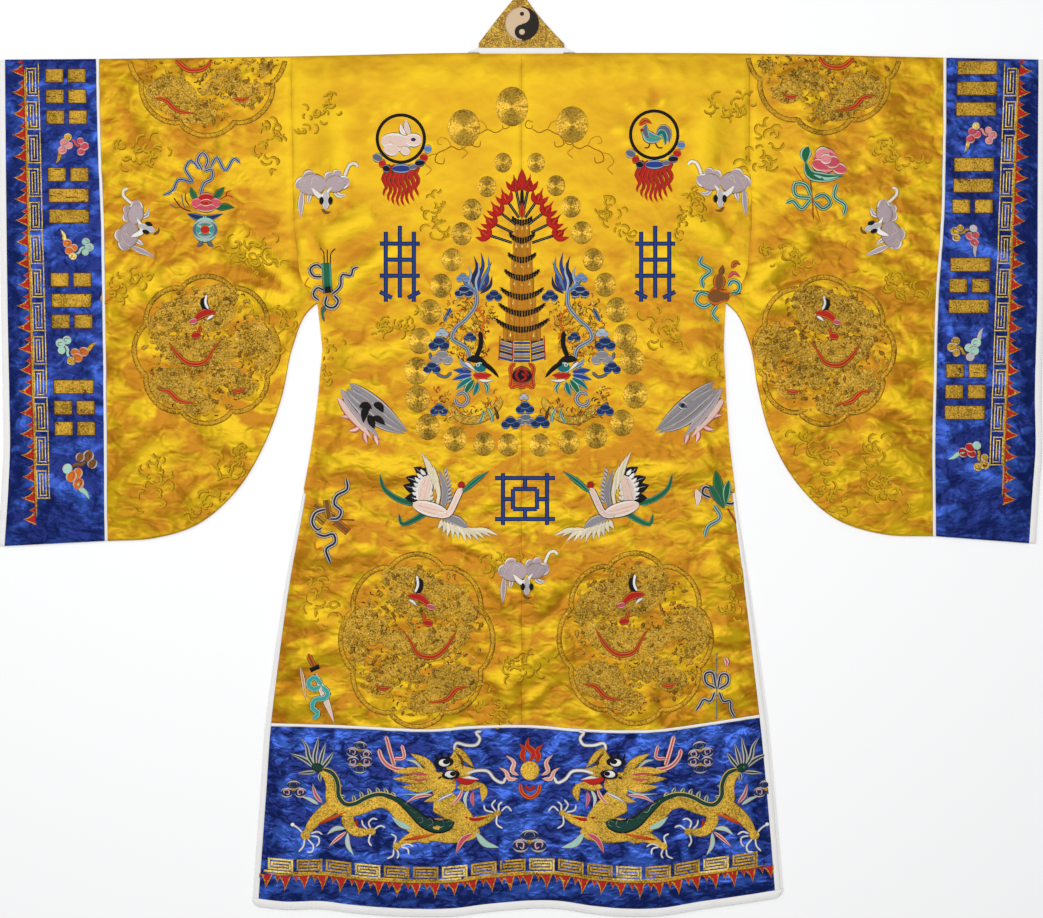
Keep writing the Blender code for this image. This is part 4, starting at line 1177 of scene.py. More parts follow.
def trough_depth(points, faces):
    """Painted shade for the hollows, from 0 on a ridge to 1 in a full hollow: how far each point lies below
    its smoothed surroundings.

    The surroundings are the height after repeated averaging with the four neighbours of each point.
    """
    starts = faces.ravel()
    ends = np.roll(faces, -1, axis=1).ravel()
    count = np.bincount(starts, minlength=len(points)) + np.bincount(ends, minlength=len(points))
    height = points[:, 2]
    around = height.copy()
    for _ in range(TROUGH_ROUNDS):
        total = np.bincount(starts, around[ends], len(points))
        total = total + np.bincount(ends, around[starts], len(points))
        around = 0.5 * around + 0.5 * total / count
    return np.clip(0.5 + 0.5 * (around - height) / TROUGH_DEPTH, 0, 1)


def add_cloth(node, body, material):
    """A shell in place of its solid, riding on the robe."""
    points, faces = body
    if isinstance(faces, list):
        piece = make_mesh(node + "_cloth", points, faces)
    else:
        # The shell carries its painted shade for hollows, which the satin reads
        piece = make_mesh(node + "_cloth", points, [faces], {"trough": trough_depth(points, faces)})
    piece.data.materials.append(material)
    piece.data.set_sharp_from_angle(angle=np.radians(50))
    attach(piece, "root")
    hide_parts(node)
    return piece


class Wire:
    """A socket of a material's nodes. Arithmetic on it adds Math nodes."""

    def __init__(self, tree, socket=None):
        self.tree = tree
        self.socket = socket

    def add(self, kind, settings=None, inputs=None, output=0):
        """Any node: its type, its settings, the values or wires of its sockets, and which output to read."""
        node = self.tree.nodes.new(kind)
        for name, value in (settings or {}).items():
            setattr(node, name, value)
        for key, value in (inputs or {}).items():
            if isinstance(value, Wire):
                self.tree.links.new(value.socket, node.inputs[key])
            else:
                node.inputs[key].default_value = value
        return Wire(self.tree, node.outputs[output] if len(node.outputs) else None)

    def math(self, operation, *values, clamp=False):
        """A Math node on values or wires."""
        settings = {"operation": operation, "use_clamp": clamp}
        return self.add("ShaderNodeMath", settings, dict(enumerate(values)))

    def __add__(self, other):
        return self.math("ADD", self, other)

    __radd__ = __add__

    def __sub__(self, other):
        return self.math("SUBTRACT", self, other)

    def __rsub__(self, other):
        return self.math("SUBTRACT", other, self)

    def __mul__(self, other):
        return self.math("MULTIPLY", self, other)

    __rmul__ = __mul__

    def clamped(self):
        """This value, held between 0 and 1."""
        return self.math("ADD", self, 0.0, clamp=True)

    def size(self):
        """This value without its sign."""
        return self.math("ABSOLUTE", self)

    def root(self):
        """The square root of this value."""
        return self.math("SQRT", self)

    def sine(self):
        """The sine of this value."""
        return self.math("SINE", self)

    def object_place(self):
        """Object coordinates, in metres."""
        return self.add("ShaderNodeTexCoord", output=3)

    def stitch_place(self, axis):
        """Metres along a strip on axis 0, and across it on axis 1."""
        return self.add("ShaderNodeUVMap", {"uv_map": "stitches"}).part(axis)

    def part(self, axis):
        """One part of this vector: 0 for X and 1 for Y."""
        return self.add("ShaderNodeSeparateXYZ", None, {"Vector": self}, output=axis)

    def waves(self, pitch, shift=0.0):
        """A sine wave from 0 to 1 along this length, one for each pitch, moved on by shift."""
        return 0.5 + 0.5 * (self * (2 * np.pi / pitch) + shift).sine()

    def stretched(self, scale, shift=(0.0, 0.0, 0.0)):
        """This vector times a scale along each axis, and moved."""
        settings = {"Vector": self, "Scale": scale, "Location": shift}
        return self.add("ShaderNodeMapping", {"vector_type": "POINT"}, settings)

    def noise(self, scale, detail=2.0, roughness=0.5, distortion=0.0):
        """Soft random values from 0 to 1, read at this place."""
        inputs = {"Vector": self, "Scale": scale, "Detail": detail}
        inputs.update({"Roughness": roughness, "Distortion": distortion})
        return self.add("ShaderNodeTexNoise", None, inputs)

    def blend(self, start, end):
        """Two colours mixed by this share."""
        return self.add("ShaderNodeMix", {"data_type": "RGBA"}, {0: self, 6: start, 7: end}, output=2)

    def times_colour(self, colour):
        """This colour multiplied by another colour or by a value."""
        return self.add("ShaderNodeVectorMath", {"operation": "MULTIPLY"}, {0: self, 1: colour})

    def bump(self, distance, strength=1.0, normal=None):
        """A normal from this height, which is distance metres at 1."""
        inputs = {"Height": self, "Distance": distance, "Strength": strength}
        if normal is not None:
            inputs["Normal"] = normal
        return self.add("ShaderNodeBump", None, inputs)


def new_material(name):
    """An empty material, and a wire to add its nodes from."""
    material = bpy.data.materials.new(name)
    material.use_nodes = True
    material.node_tree.nodes.clear()
    return material, Wire(material.node_tree)


def finish_material(start, inputs):
    """The shader and the output: the last nodes of a material."""
    shader = start.add("ShaderNodeBsdfPrincipled", None, inputs)
    start.add("ShaderNodeOutputMaterial", None, {"Surface": shader})


def rgba(colour):
    """A colour with full alpha."""
    return (*colour[:3], 1.0)


# A satin: how light it is, size and stretch of its soft folds, their height and the strength of their painted
# light and shade, metal and roughness
Satin = namedtuple("Satin", "level scale stretch relief contrast metallic roughness calm_back")
YELLOW_SATIN = Satin(
    level=1.0,
    scale=10.0,
    stretch=(0.95, 1.3, 1.0),
    relief=0.0055,
    contrast=0.75,
    metallic=0.35,
    roughness=0.34,
    calm_back=True,
)
BLUE_SATIN = Satin(
    level=0.72,
    scale=17.0,
    stretch=(0.9, 1.2, 1.0),
    relief=0.0060,
    contrast=0.9,
    metallic=0.55,
    roughness=0.28,
    calm_back=False,
)

# Soft folds in three sizes: how many times finer than the first, detail of the noise, and strength
SoftFold = namedtuple("SoftFold", "finer detail strength")
SOFT_FOLDS = (SoftFold(1.0, 1.5, 1.0), SoftFold(2.7, 1.0, 0.55), SoftFold(4.6, 1.0, 0.35))
# How strongly a fold's lean paints light and shade into the satin's colour, and the bump distance of the
# folds' height
LEAN_SHADE_GAIN = 7.0
FOLD_BUMP = 0.01

# Where yellow satin lies calm on the upper back, how much lighter it is painted there as light on the flat
# cloth, and what calm cloth keeps
CALM_ABOVE_Y = 0.46
CALM_HALF = 0.36
CALM_PAINTED_LIGHT = 0.25
CALM_LEFT = 0.2

# Blue satin: where the cuffs begin, how much calmer and deeper it is there, and how much lighter on the hem
CUFF_FROM_X = 0.60
CUFF_CALM = 0.6
CUFF_DEEPER = 0.22
HEM_LIGHTER = 0.10

# Distance from one thread to the next: satin stitches, rows of couched gold, and the bindings' weave
STITCH_PITCH = 0.0011
COUCHED_PITCH = 0.0014
WEAVE_PITCH = 0.0008

# Steepness of the step at the rim of a shape on the badge, for each metre
RIM_GAIN = 3000.0


def satin(name, light, deep, cloth):
    """Satin: long floats that shine, and soft folds of three sizes, painted from lit to shaded facets.

    A fold's lean is its height a little further up less its height here, clamped to both sides. The colour is
    painted lighter or deeper by that lean, as light and shade on the facets, and deeper in hollows as painted
    shade. Yellow satin is calmer and painted lighter on its flat upper back, as light falling there, and blue
    satin is calmer and deeper on the cuffs than on the hem.
    """
    material, start = new_material(name)
    where = start.object_place()
    floats = where.stretched((60.0, 1400.0, 60.0)).noise(1.0, detail=1.0)
    tint = where.stretched((1.0, 1.3, 1.0)).noise(5.0, distortion=0.5)
    lean_shades = []
    heights = []
    for fold in SOFT_FOLDS:
        size = fold.finer * cloth.scale
        here = where.stretched(cloth.stretch).noise(size, fold.detail, distortion=0.6)
        moved = where.stretched(cloth.stretch, (0.0, 0.25 / size, 0.0))
        above = moved.noise(size, fold.detail, distortion=0.6)
        # Painted light and shade: a facet's lean makes the colour lighter or deeper
        lean = ((above - here) * LEAN_SHADE_GAIN + 0.5).clamped() - 0.5
        lean_shades.append(lean * (cloth.contrast * fold.strength))
        heights.append(here * (cloth.relief / FOLD_BUMP * fold.strength))
    # Painted shade: the colour is deeper in the cloth's hollows
    trough = start.add("ShaderNodeAttribute", {"attribute_name": "trough"}, output=2)
    share = 0.95 * cloth.level + (tint - 0.5) * 0.9 - trough * 1.2
    out = where.part(0).size()
    if cloth.calm_back:
        below = ((CALM_ABOVE_Y - where.part(1)) * 2.2).clamped()
        slack = (below + ((out - CALM_HALF) * 9.0).clamped() * 0.8).clamped()
        # Painted light: the calm, flat upper back is lighter
        share = share + CALM_PAINTED_LIGHT * (1.0 - slack)
    else:
        at_cuff = ((out - CUFF_FROM_X) * 20.0).clamped()
        slack = 1.0 - at_cuff * CUFF_CALM
        share = share + HEM_LIGHTER - at_cuff * CUFF_DEEPER
    slack = CALM_LEFT + slack * (1.0 - CALM_LEFT)
    # The folds' painted light and shade, weaker where the cloth is calm
    folds = (lean_shades[0] + lean_shades[1] + lean_shades[2]) * slack
    height = (heights[0] + heights[1] + heights[2]) * slack
    # The lit and the shaded colours, blended by the painted light and shade and by random tone
    colour = (share + folds).clamped().blend(rgba(deep), rgba(light))
    finish_material(start, {
        "Base Color": colour.times_colour(0.96 + floats * 0.08),
        "Roughness": cloth.roughness + 0.05 * tint + 0.03 * floats,
        "Metallic": cloth.metallic,
        "Specular IOR Level": 0.1,
        "Normal": floats.bump(0.00004, 0.4, height.bump(FOLD_BUMP)),
    })
    return material


def taiji_satin(name, light, dark):
    """The badge: two halves parted by a curve of two half circles, with a dot in each, sewn in satin stitch.

    A disc's share is its radius less the distance from its centre, times a large number, and clamped. Its
    radius and its place above the badge's centre are given in badge radii.
    """
    material, start = new_material(name)
    where = start.object_place()
    x, y = where.part(0), where.part(1)

    def disc(up, radius):
        across = x - BADGE_CENTRE[0]
        high = y - (BADGE_CENTRE[1] + up * BADGE_RADIUS)
        return ((radius * BADGE_RADIUS - (across * across + high * high).root()) * RIM_GAIN).clamped()

    left = ((BADGE_CENTRE[0] - x) * RIM_GAIN).clamped()
    pale = (left + disc(up=0.47, radius=0.47)).clamped() * (1.0 - disc(up=-0.48, radius=0.44))
    pale = pale * (1.0 - disc(up=0.58, radius=0.13)) + disc(up=-0.48, radius=0.17)
    rim = 1.0 - disc(up=0.0, radius=0.95)
    stitches = y.waves(STITCH_PITCH)
    specks = where.noise(500.0)
    colour = (pale - rim * 0.35).clamped().blend(rgba(dark), rgba(light))
    finish_material(start, {
        "Base Color": colour.times_colour(0.84 + 0.16 * stitches + 0.1 * specks),
        "Roughness": 0.5 + 0.1 * specks,
        "Specular IOR Level": 0.15,
        "Normal": stitches.bump(0.0002, 0.6),
    })
    return material


def plain_weave(name, colour):
    """A dull white binding of crossed threads."""
    material, start = new_material(name)
    where = start.object_place()
    threads = 0.5 * where.part(0).waves(WEAVE_PITCH) + 0.5 * where.part(1).waves(WEAVE_PITCH)
    soft = where.noise(50.0, detail=3.0)
    finish_material(start, {
        "Base Color": (0.86 + 0.1 * threads + 0.1 * soft).blend((0, 0, 0, 1), rgba(colour)),
        "Roughness": 0.62 + 0.1 * soft,
        "Sheen Weight": 0.2,
        "Normal": threads.bump(0.00012, 0.6, soft.bump(0.0015)),
    })
    return material


def brocade(name, bright, dark):
    """Metal-thread brocade: speckled rows of bright and dark gold."""
    material, start = new_material(name)
    where = start.object_place()
    specks = where.stretched((1.0, 1.6, 1.0)).noise(420.0, detail=3.0, roughness=0.7)
    patches = where.noise(60.0)
    share = ((specks - 0.45) * 5.0 + (patches - 0.5) * 1.5).clamped()
    finish_material(start, {
        "Base Color": share.blend(rgba(dark), rgba(bright)),
        "Roughness": 0.34 + 0.3 * patches,
        "Metallic": 0.55,
        "Normal": specks.bump(0.0012, 0.8),
    })
    return material


def silk_thread(name):
    """Satin stitch: the thread's own colour with a ridge for each stitch across the strip."""
    material, start = new_material(name)
    colour = start.add("ShaderNodeAttribute", {"attribute_name": "thread"})
    where = start.object_place()
    stitches = start.stitch_place(0).waves(STITCH_PITCH, 3.0 * where.noise(300.0, detail=1.0))
    uneven = where.noise(420.0)
    finish_material(start, {
        "Base Color": colour.times_colour(0.62 + 0.3 * stitches + 0.34 * uneven),
        "Roughness": 0.48 + 0.16 * uneven,
        "Specular IOR Level": 0.10,
        "Normal": stitches.bump(0.00022, 0.7, uneven.bump(0.0004)),
    })
    return material


def gold_thread(name):
    """Couched gold thread: painted glints and shade in bright and dark curls where it turns, in uneven areas.
    """
    material, start = new_material(name)
    colour = start.add("ShaderNodeAttribute", {"attribute_name": "thread"})
    where = start.object_place()
    couched = start.stitch_place(1).waves(COUCHED_PITCH)
    specks = where.noise(340.0, roughness=0.6)
    curls = (where.noise(150.0, detail=1.5, distortion=2.5) - 0.5).size()
    areas = where.noise(38.0, detail=1.5)
    # Painted glints and shade: specks, curls and couched rows make the metal brighter or darker; broad areas
    # add uneven tone
    share = (specks - 0.5) * 2.8 + (curls - 0.08) * 5.0 + (areas - 0.5) * 1.4
    share = (share + 0.55 + 0.3 * couched).clamped()
    finish_material(start, {
        "Base Color": colour.times_colour(0.42 + 1.1 * share),
        "Roughness": 0.38 + 0.25 * specks,
        "Metallic": 0.45,
        "Specular IOR Level": 0.15,
        "Normal": couched.bump(0.0003, 0.5, (specks + curls).bump(0.0014, 0.9)),
    })
    return material


# Colours of the cloth, of the collar's brocade, of the badge and of the floor. Each satin has a lit colour
# and a deeper one, which serves as its painted shade and as its deeper random tone
YELLOW_LIGHT = (0.555, 0.352, 0.0050)
YELLOW_DEEP_AND_SHADED = (0.37, 0.150, 0.0030)
BLUE_LIGHT = (0.040, 0.105, 0.48)
BLUE_DEEP_AND_SHADED = (0.007, 0.016, 0.11)
WHITE = (0.84, 0.83, 0.81)
GOLD_BRIGHT = (0.80, 0.54, 0.07)
GOLD_DARK = (0.24, 0.11, 0.008)
BADGE_PALE = (0.66, 0.48, 0.31)
BADGE_DARK = (0.018, 0.014, 0.010)
FLOOR_GREY = 0.96


def colour_prop(name, about, default):
    """A colour that a user may change."""
    return bpy.props.FloatVectorProperty(
        name=name, description=about, default=default, size=3, min=0.0, max=1.0, subtype="COLOR",
    )


class RobeColours(bpy.types.PropertyGroup):
    """Colours of the cloth."""

    # Each satin's first colour is its lit flats, and its second its painted shade and deeper random tone
    yellow: colour_prop("Yellow", "Satin of the body and the sleeves, on its flats", YELLOW_LIGHT)
    yellow_deep: colour_prop("Deep yellow", "The same satin in its deeper patches", YELLOW_DEEP_AND_SHADED)
    blue: colour_prop("Blue", "Satin of the cuffs and the hem band", BLUE_LIGHT)
    blue_deep: colour_prop("Deep blue", "The same satin in its deeper patches", BLUE_DEEP_AND_SHADED)
    white: colour_prop("White", "Bindings and pipings", WHITE)
    gold: colour_prop("Bright gold", "Bright thread of the collar's brocade", GOLD_BRIGHT)
    gold_dark: colour_prop("Dark gold", "Dark ground of the collar's brocade", GOLD_DARK)
    floor: bpy.props.FloatProperty(
        name="Floor",
        description="Grey of the studio floor",
        default=FLOOR_GREY,
        min=0.0,
        max=1.0,
        subtype="FACTOR",
    )


class RobeLight(bpy.types.PropertyGroup):
    """Lights of the studio."""

    key: bpy.props.FloatProperty(
        name="Key light", description="Power of the large light above", default=84.0, min=0.0, unit="POWER",
    )
    side: bpy.props.FloatProperty(
        name="Side light", description="Power of the light at the left", default=18.0, min=0.0, unit="POWER",
    )
    world: bpy.props.FloatProperty(
        name="Room light", description="Strength of the pale light from all round", default=0.40, min=0.0,
    )


def finish_for(key):
    """The material of a finish, made at its first use."""
    colours = bpy.context.scene.robe_colours
    if key not in bpy.data.materials:
        if key == "yellow satin":
            satin(key, colours.yellow, colours.yellow_deep, YELLOW_SATIN)
        elif key == "blue satin":
            satin(key, colours.blue, colours.blue_deep, BLUE_SATIN)
        elif key == "white binding":
            plain_weave(key, colours.white)
        elif key == "gold brocade":
            brocade(key, colours.gold, colours.gold_dark)
        elif key == "badge satin":
            taiji_satin(key, BADGE_PALE, BADGE_DARK)
        elif key == "silk thread":
            silk_thread(key)
        else:
            gold_thread(key)
    return bpy.data.materials[key]


class ROBE_OT_bodies(bpy.types.Operator):
    """Lay the two body halves, each with its front and back in one piece"""

    bl_idname = "robe.bodies"
    bl_label = "Body Halves"

    def execute(self, context):
        for side in (LEFT, RIGHT):
            add_cloth("body_" + side.name, body_half(side), finish_for("yellow satin"))
        return {"FINISHED"}


class ROBE_OT_sleeves(bpy.types.Operator):
    """Lay the sleeves, their cuffs and the cuffs' pipings"""

    bl_idname = "robe.sleeves"
    bl_label = "Sleeves and Cuffs"

    def execute(self, context):
        half_seam = SEAM_PIPING / 2
        beyond = half_seam + SEAM_GAP
        crown = crowned(PIPING_COLUMNS)
        for side in (LEFT, RIGHT):
            body = flat_tube(
                beside(arm_seam, CLOSE_SEAM, side),
                beside(cuff_seam, -beyond, side),
                top_edge=lambda u, s=side: shoulder_edge(s, u),
                bottom_edge=lambda u, s=side: underarm_edge(s, u),
                columns=steps(CUFF_SEAM[0].left - ARM_SEAM[0].left),
            )
            add_cloth("sleeve_" + side.name, body, finish_for("yellow satin"))
            inner = beside(cuff_seam, -half_seam, side)
            body = flat_tube(inner, beside(cuff_seam, half_seam, side), crown=crown)
            add_cloth("cuff_piping_inner_" + side.name, body, finish_for("white binding"))
            body = flat_tube(
                beside(cuff_seam, beyond, side),
                beside(cuff_edge, -CUFF_EDGE_PIPING - SEAM_GAP, side),
                columns=steps(CUFF_EDGE[0].left - CUFF_SEAM[0].left),
            )
            add_cloth("cuff_" + side.name, body, finish_for("blue satin"))
            inner = beside(cuff_edge, -CUFF_EDGE_PIPING, side)
            body = flat_tube(inner, beside(cuff_edge, 0.0, side), crown=crown)
            add_cloth("cuff_piping_edge_" + side.name, body, finish_for("white binding"))
        return {"FINISHED"}


class ROBE_OT_hem(bpy.types.Operator):
    """Lay the hem bands and the bindings of the hem and of the side slits"""

    bl_idname = "robe.hem"
    bl_label = "Hem Bands and Bindings"

    def execute(self, context):
        both = (LEFT, RIGHT)
        blue = finish_for("blue satin")
        white = finish_for("white binding")
        low = shifted_up(hem_edge_y, HEM_EDGE_PIPING + SEAM_GAP)
        high = shifted_up(hem_seam_y, -SEAM_PIPING / 2 - SEAM_GAP)
        strip_low = shifted_up(hem_seam_y, -SEAM_PIPING / 2)
        strip_high = shifted_up(hem_seam_y, SEAM_PIPING / 2)
        strip_rows = np.linspace(0, 1, PIPING_COLUMNS + 1)
        crown = crowned(PIPING_COLUMNS)
        plan = hem_plan(low, high, HEM_SHARES, BODY_C, both)
        add_cloth("hem_back", shell(*back_wall(plan)), blue)
        plan = hem_plan(strip_low, strip_high, strip_rows, BODY_C, both)
        add_cloth("hem_piping_top_back", shell(*back_wall(plan, crown[:, None])), white)
        plan = hem_edge_plan(both, BODY_C, 0.0)
        add_cloth("hem_piping_edge_back", shell(*back_wall(plan, crown[:, None])), white)
        front_low = shifted_up(hem_edge_y, FRONT_HEM_RISE + HEM_EDGE_PIPING + SEAM_GAP)
        for side in both:
            plan = side_piping_plan(side, BACK_LEVELS[BACK_LEVELS <= slit_level(side)], HEM_SHARES, 0.0)
            add_cloth("side_piping_back_" + side.name, shell(*back_wall(plan, crown)), white)
            plan = shifted(hem_plan(front_low, high, FRONT_HEM_SHARES, FRONT_C, (side,)))
            add_cloth("hem_front_" + side.name, shell(*wall(plan, 0.0)), blue)
            plan = shifted(hem_plan(strip_low, strip_high, strip_rows, FRONT_C, (side,)))
            add_cloth("hem_piping_top_front_" + side.name, shell(*wall(plan, 0.0)), white)
            plan = shifted(hem_edge_plan((side,), FRONT_C, FRONT_HEM_RISE))
            add_cloth("hem_piping_edge_front_" + side.name, shell(*wall(plan, 0.0)), white)
            levels = FRONT_LEVELS[FRONT_LEVELS <= slit_level(side)]
            plan = shifted(side_piping_plan(side, levels, FRONT_HEM_SHARES, FRONT_HEM_RISE))
            add_cloth("side_piping_front_" + side.name, shell(*wall(plan, 0.0)), white)
        return {"FINISHED"}


class ROBE_OT_neck(bpy.types.Operator):
    """Lay the collar band, the white strip under it and the round badge"""

    bl_idname = "robe.neck"
    bl_label = "Collar and Badge"

    def execute(self, context):
        crown = crowned(PIPING_COLUMNS)
        body = shell(*back_wall(neck_piping_plan(), crown[:, None]))
        add_cloth("neck_piping", body, finish_for("white binding"))
        for side in (LEFT, RIGHT):
            add_cloth("collar_" + side.name, collar_half(side), finish_for("gold brocade"))
        add_cloth("taiji_badge", badge(), finish_for("badge satin"))
        return {"FINISHED"}


# Cut size of each piece of cloth, its area where it is no plain strip, and what is sewn to it
Cut = namedtuple("Cut", "node width length area bindings")
CUTS = (
    Cut("body_left", 0.43, 2.16, 0.698, ("side_piping_back_left", "side_piping_front_left", "neck_piping")),
    Cut("body_right", 0.43, 2.16, 0.688, ("side_piping_back_right", "side_piping_front_right")),
    Cut("sleeve_left", 0.35, 1.545, 0.434, ("cuff_piping_inner_left",)),
    Cut("sleeve_right", 0.35, 1.545, 0.434, ("cuff_piping_inner_right",)),
    Cut("cuff_left", 0.152, 1.55, None, ("cuff_piping_edge_left",)),
    Cut("cuff_right", 0.152, 1.55, None, ("cuff_piping_edge_right",)),
    Cut("hem_back", 0.29, 0.83, 0.228, ("hem_piping_top_back", "hem_piping_edge_back")),
    Cut("hem_front_left", 0.29, 0.35, 0.096, ("hem_piping_top_front_left", "hem_piping_edge_front_left")),
    Cut("hem_front_right", 0.29, 0.35, 0.091, ("hem_piping_top_front_right", "hem_piping_edge_front_right")),
    Cut("collar_left", 0.0705, 1.475, None, ("taiji_badge",)),
    Cut("collar_right", 0.0705, 1.475, None, ()),
)


class ROBE_OT_cuts(bpy.types.Operator):
    """Look up each piece of cloth and the bindings sewn to it, without setting anything on them"""

    bl_idname = "robe.cuts"
    bl_label = "Cuts"

    def execute(self, context):
        pieces = bpy.data.objects
        for cut in CUTS:
            bindings = [pieces[name + "_cloth"] for name in cut.bindings]
            cloth = pieces[cut.node + "_cloth"]
        return {"FINISHED"}


# Thread colours, as linear red, green and blue
THREADS = {
    "red": (0.46, 0.016, 0.013),
    "orange": (0.66, 0.15, 0.015),
    "brick": (0.33, 0.060, 0.030),
    "pink": (0.75, 0.26, 0.26),
    "rose": (0.60, 0.080, 0.11),
    "blush": (0.80, 0.58, 0.48),
    "white": (0.82, 0.80, 0.76),
    "cream": (0.80, 0.70, 0.50),
    "silver": (0.50, 0.47, 0.47),
    "grey": (0.27, 0.25, 0.26),
    "slate": (0.12, 0.14, 0.19),
    "black": (0.008, 0.008, 0.010),
    "navy": (0.012, 0.024, 0.090),
    "blue": (0.020, 0.052, 0.25),
    "sky": (0.10, 0.22, 0.45),
    "pale_blue": (0.36, 0.46, 0.58),
    "teal": (0.008, 0.15, 0.16),
    "sea": (0.05, 0.34, 0.30),
    "green": (0.015, 0.12, 0.050),
    "leaf": (0.09, 0.22, 0.060),
    "mint": (0.36, 0.62, 0.50),
    "brown": (0.21, 0.082, 0.020),
    "umber": (0.10, 0.042, 0.012),
    "tan": (0.52, 0.30, 0.020),
    "shade": (0.30, 0.14, 0.008),
    "gold": (0.47, 0.275, 0.026),
    "pale_gold": (0.74, 0.53, 0.14),
    "ochre": (0.50, 0.27, 0.015),
    "amber": (0.50, 0.19, 0.010),
    "filigree": (0.44, 0.252, 0.025),
    "mauve": (0.43, 0.34, 0.36),
    "light_gold": (0.52, 0.315, 0.036),
    "pine": (0.010, 0.050, 0.036),
    "violet": (0.42, 0.20, 0.44),
    "satin": (0.62, 0.38, 0.010),
    # Painted shadow under the tone-on-tone curls
    "satin_painted_shadow": (0.36, 0.155, 0.005),
    "dark_gold": (0.25, 0.125, 0.012),
}

# Threads that the curls of gold are sewn in, and threads that shine as metal
GOLDS = ("gold", "ochre", "pale_gold", "dark_gold", "umber")
METAL_THREADS = ("filigree", "ochre", "gold", "light_gold", "pale_gold", "dark_gold")

# One unit of a drawing, which the motifs' tables are given in
UNIT = 0.0016

# Heights above the cloth: of the lowest strip's sides, of a small step up, of a crown and of a strip's foot
SEWN_BASE = 0.00032
SEWN_STEP = 0.00002
SEWN_CROWN = 0.00024
SEWN_FOOT = -0.00025

# Small steps up from one strip to the next that crosses it, and from a dark line to the strip on it
ONE_OVER = 12
OUTLINE_RISE = 3

# Dark lines, partly embroidered outline and partly painted shadow round a strip: from what width in drawing
# units a strip has one, how much wider it is, and its crown
OUTLINED = 2.3
OUTLINE_WIDTH = 0.0019
OUTLINE_CROWN = -0.0005

# Points along a strip: how far apart, and the fewest, the most, and the fewest on a wide rounded one
LEAST_SPACING = 0.0028
WIDE_SPACING = 0.0068
FEWEST_POINTS = 5
MOST_POINTS = 400
ROUND_POINTS = 11

# Rows across a strip: how far apart, the most, and the number past which the underside has points of its own
ROW_SPACING = 0.0030
MOST_ROWS = 12
OPEN_ROWS = 5

# Where a strip's sides turn down, as a share of its half width
STEEP = 0.93

# Strips of two colours: where the core ends on a narrow and on a wide one, and how far the colours blend
NARROW = 0.0085
NARROW_CORE = 0.42
WIDE_CORE = 0.7
CORE_BLEND = 0.04

# Least width of a strip's end, how far needlework stays inside the cloth's outline, and its least share there
END_WIDTH = 0.00018
EDGE_MARGIN = 0.0022
EDGE_SHARE = 0.2


def even(share):
    """Full width all along, a little rounded at both ends."""
    return np.sqrt(np.clip(1 - np.abs(2 * share - 1) ** 14, 0, 1))


def leaf(share):
    """Pointed at both ends, widest before the middle."""
    return np.sin(np.pi * share**0.8) ** 0.9


def tail(share):
    """Full at the start and pointed at the end."""
    return np.sqrt(np.clip(1 - share**1.6, 0, 1)) * np.clip(share * 12, 0.5, 1)


def drop(share):
    """Pointed at the start and round at the end."""
    return share**0.8 * np.sqrt(np.clip(1 - share**8, 0, 1))


def oval(share):
    """An ellipse along the path."""
    return np.sqrt(np.clip(1 - (2 * share - 1) ** 2, 0, 1))


def full(share):
    """The same width all along."""
    return np.ones_like(share)


def swell(share):
    """Slim at both ends and fullest past the middle, as a long body."""
    return 0.45 + 0.55 * np.sin(np.pi * share**1.5) ** 0.8


def wedge(share):
    """A triangle: full at the start, narrowing straight to a point."""
    return 1 - share


def spike(share):
    """Full at the start, with hollow sides that run to a point."""
    return (1 - share) ** 1.35


def crowded(count, crowd):
    """Shares from 0 to 1: even ones, blended by crowd with half of one less a cosine."""
    even_shares = np.linspace(0, 1, count)
    return mix(even_shares, 0.5 - 0.5 * np.cos(np.pi * even_shares), crowd)


def spline(points, count, crowd=0.0):
    """Points along a smooth curve through the given ones (cubic Hermite, slopes of the neighbours).

    They are spaced evenly, or crowded towards both ends where crowd is 1.
    """
    points = np.asarray(points, float)
    if len(points) == 2:
        return mix(points[0], points[1], crowded(count, crowd)[:, None])
    knots = np.concatenate([[0], np.cumsum(np.hypot(*np.diff(points, axis=0).T) ** 0.75)])
    fine = np.linspace(0, knots[-1], 12 * len(points))
    dense = np.stack([smooth(fine, knots, points[:, i]) for i in (0, 1)], axis=-1)
    length = np.concatenate([[0], np.cumsum(np.hypot(*np.diff(dense, axis=0).T))])
    at = length[-1] * crowded(count, crowd)
    return np.stack([np.interp(at, length, dense[:, i]) for i in (0, 1)], axis=-1)


def path_length(path):
    """Length of a path, summed from point to point."""
    return np.hypot(*np.diff(path, axis=0).T).sum()


def read_points(text):
    """Points from text such as '0 0, 3 4'."""
    return np.array([[float(value) for value in pair.split()] for pair in text.split(",")])


class Place:
    """Where a motif lies: its centre in drawing units, its scale, turn in degrees, mirroring and stretch."""

    def __init__(self, x, y, scale=1.0, turn=0.0, mirrored=False, stretch=(1.0, 1.0)):
        self.centre = np.array([x, y]) * UNIT
        self.mirrored = mirrored
        self.scale = scale
        self.stretch = np.array(stretch)
        turn = np.radians(turn)
        self.across = np.array([np.cos(turn), np.sin(turn)])
        self.up = np.array([-np.sin(turn), np.cos(turn)])

    def __call__(self, points):
        points = np.asarray(points, float) * UNIT * self.scale * self.stretch
        side = -1.0 if self.mirrored else 1.0
        moved = points[..., :1] * self.across + points[..., 1:] * self.up
        moved[..., 0] *= side
        return moved + self.centre


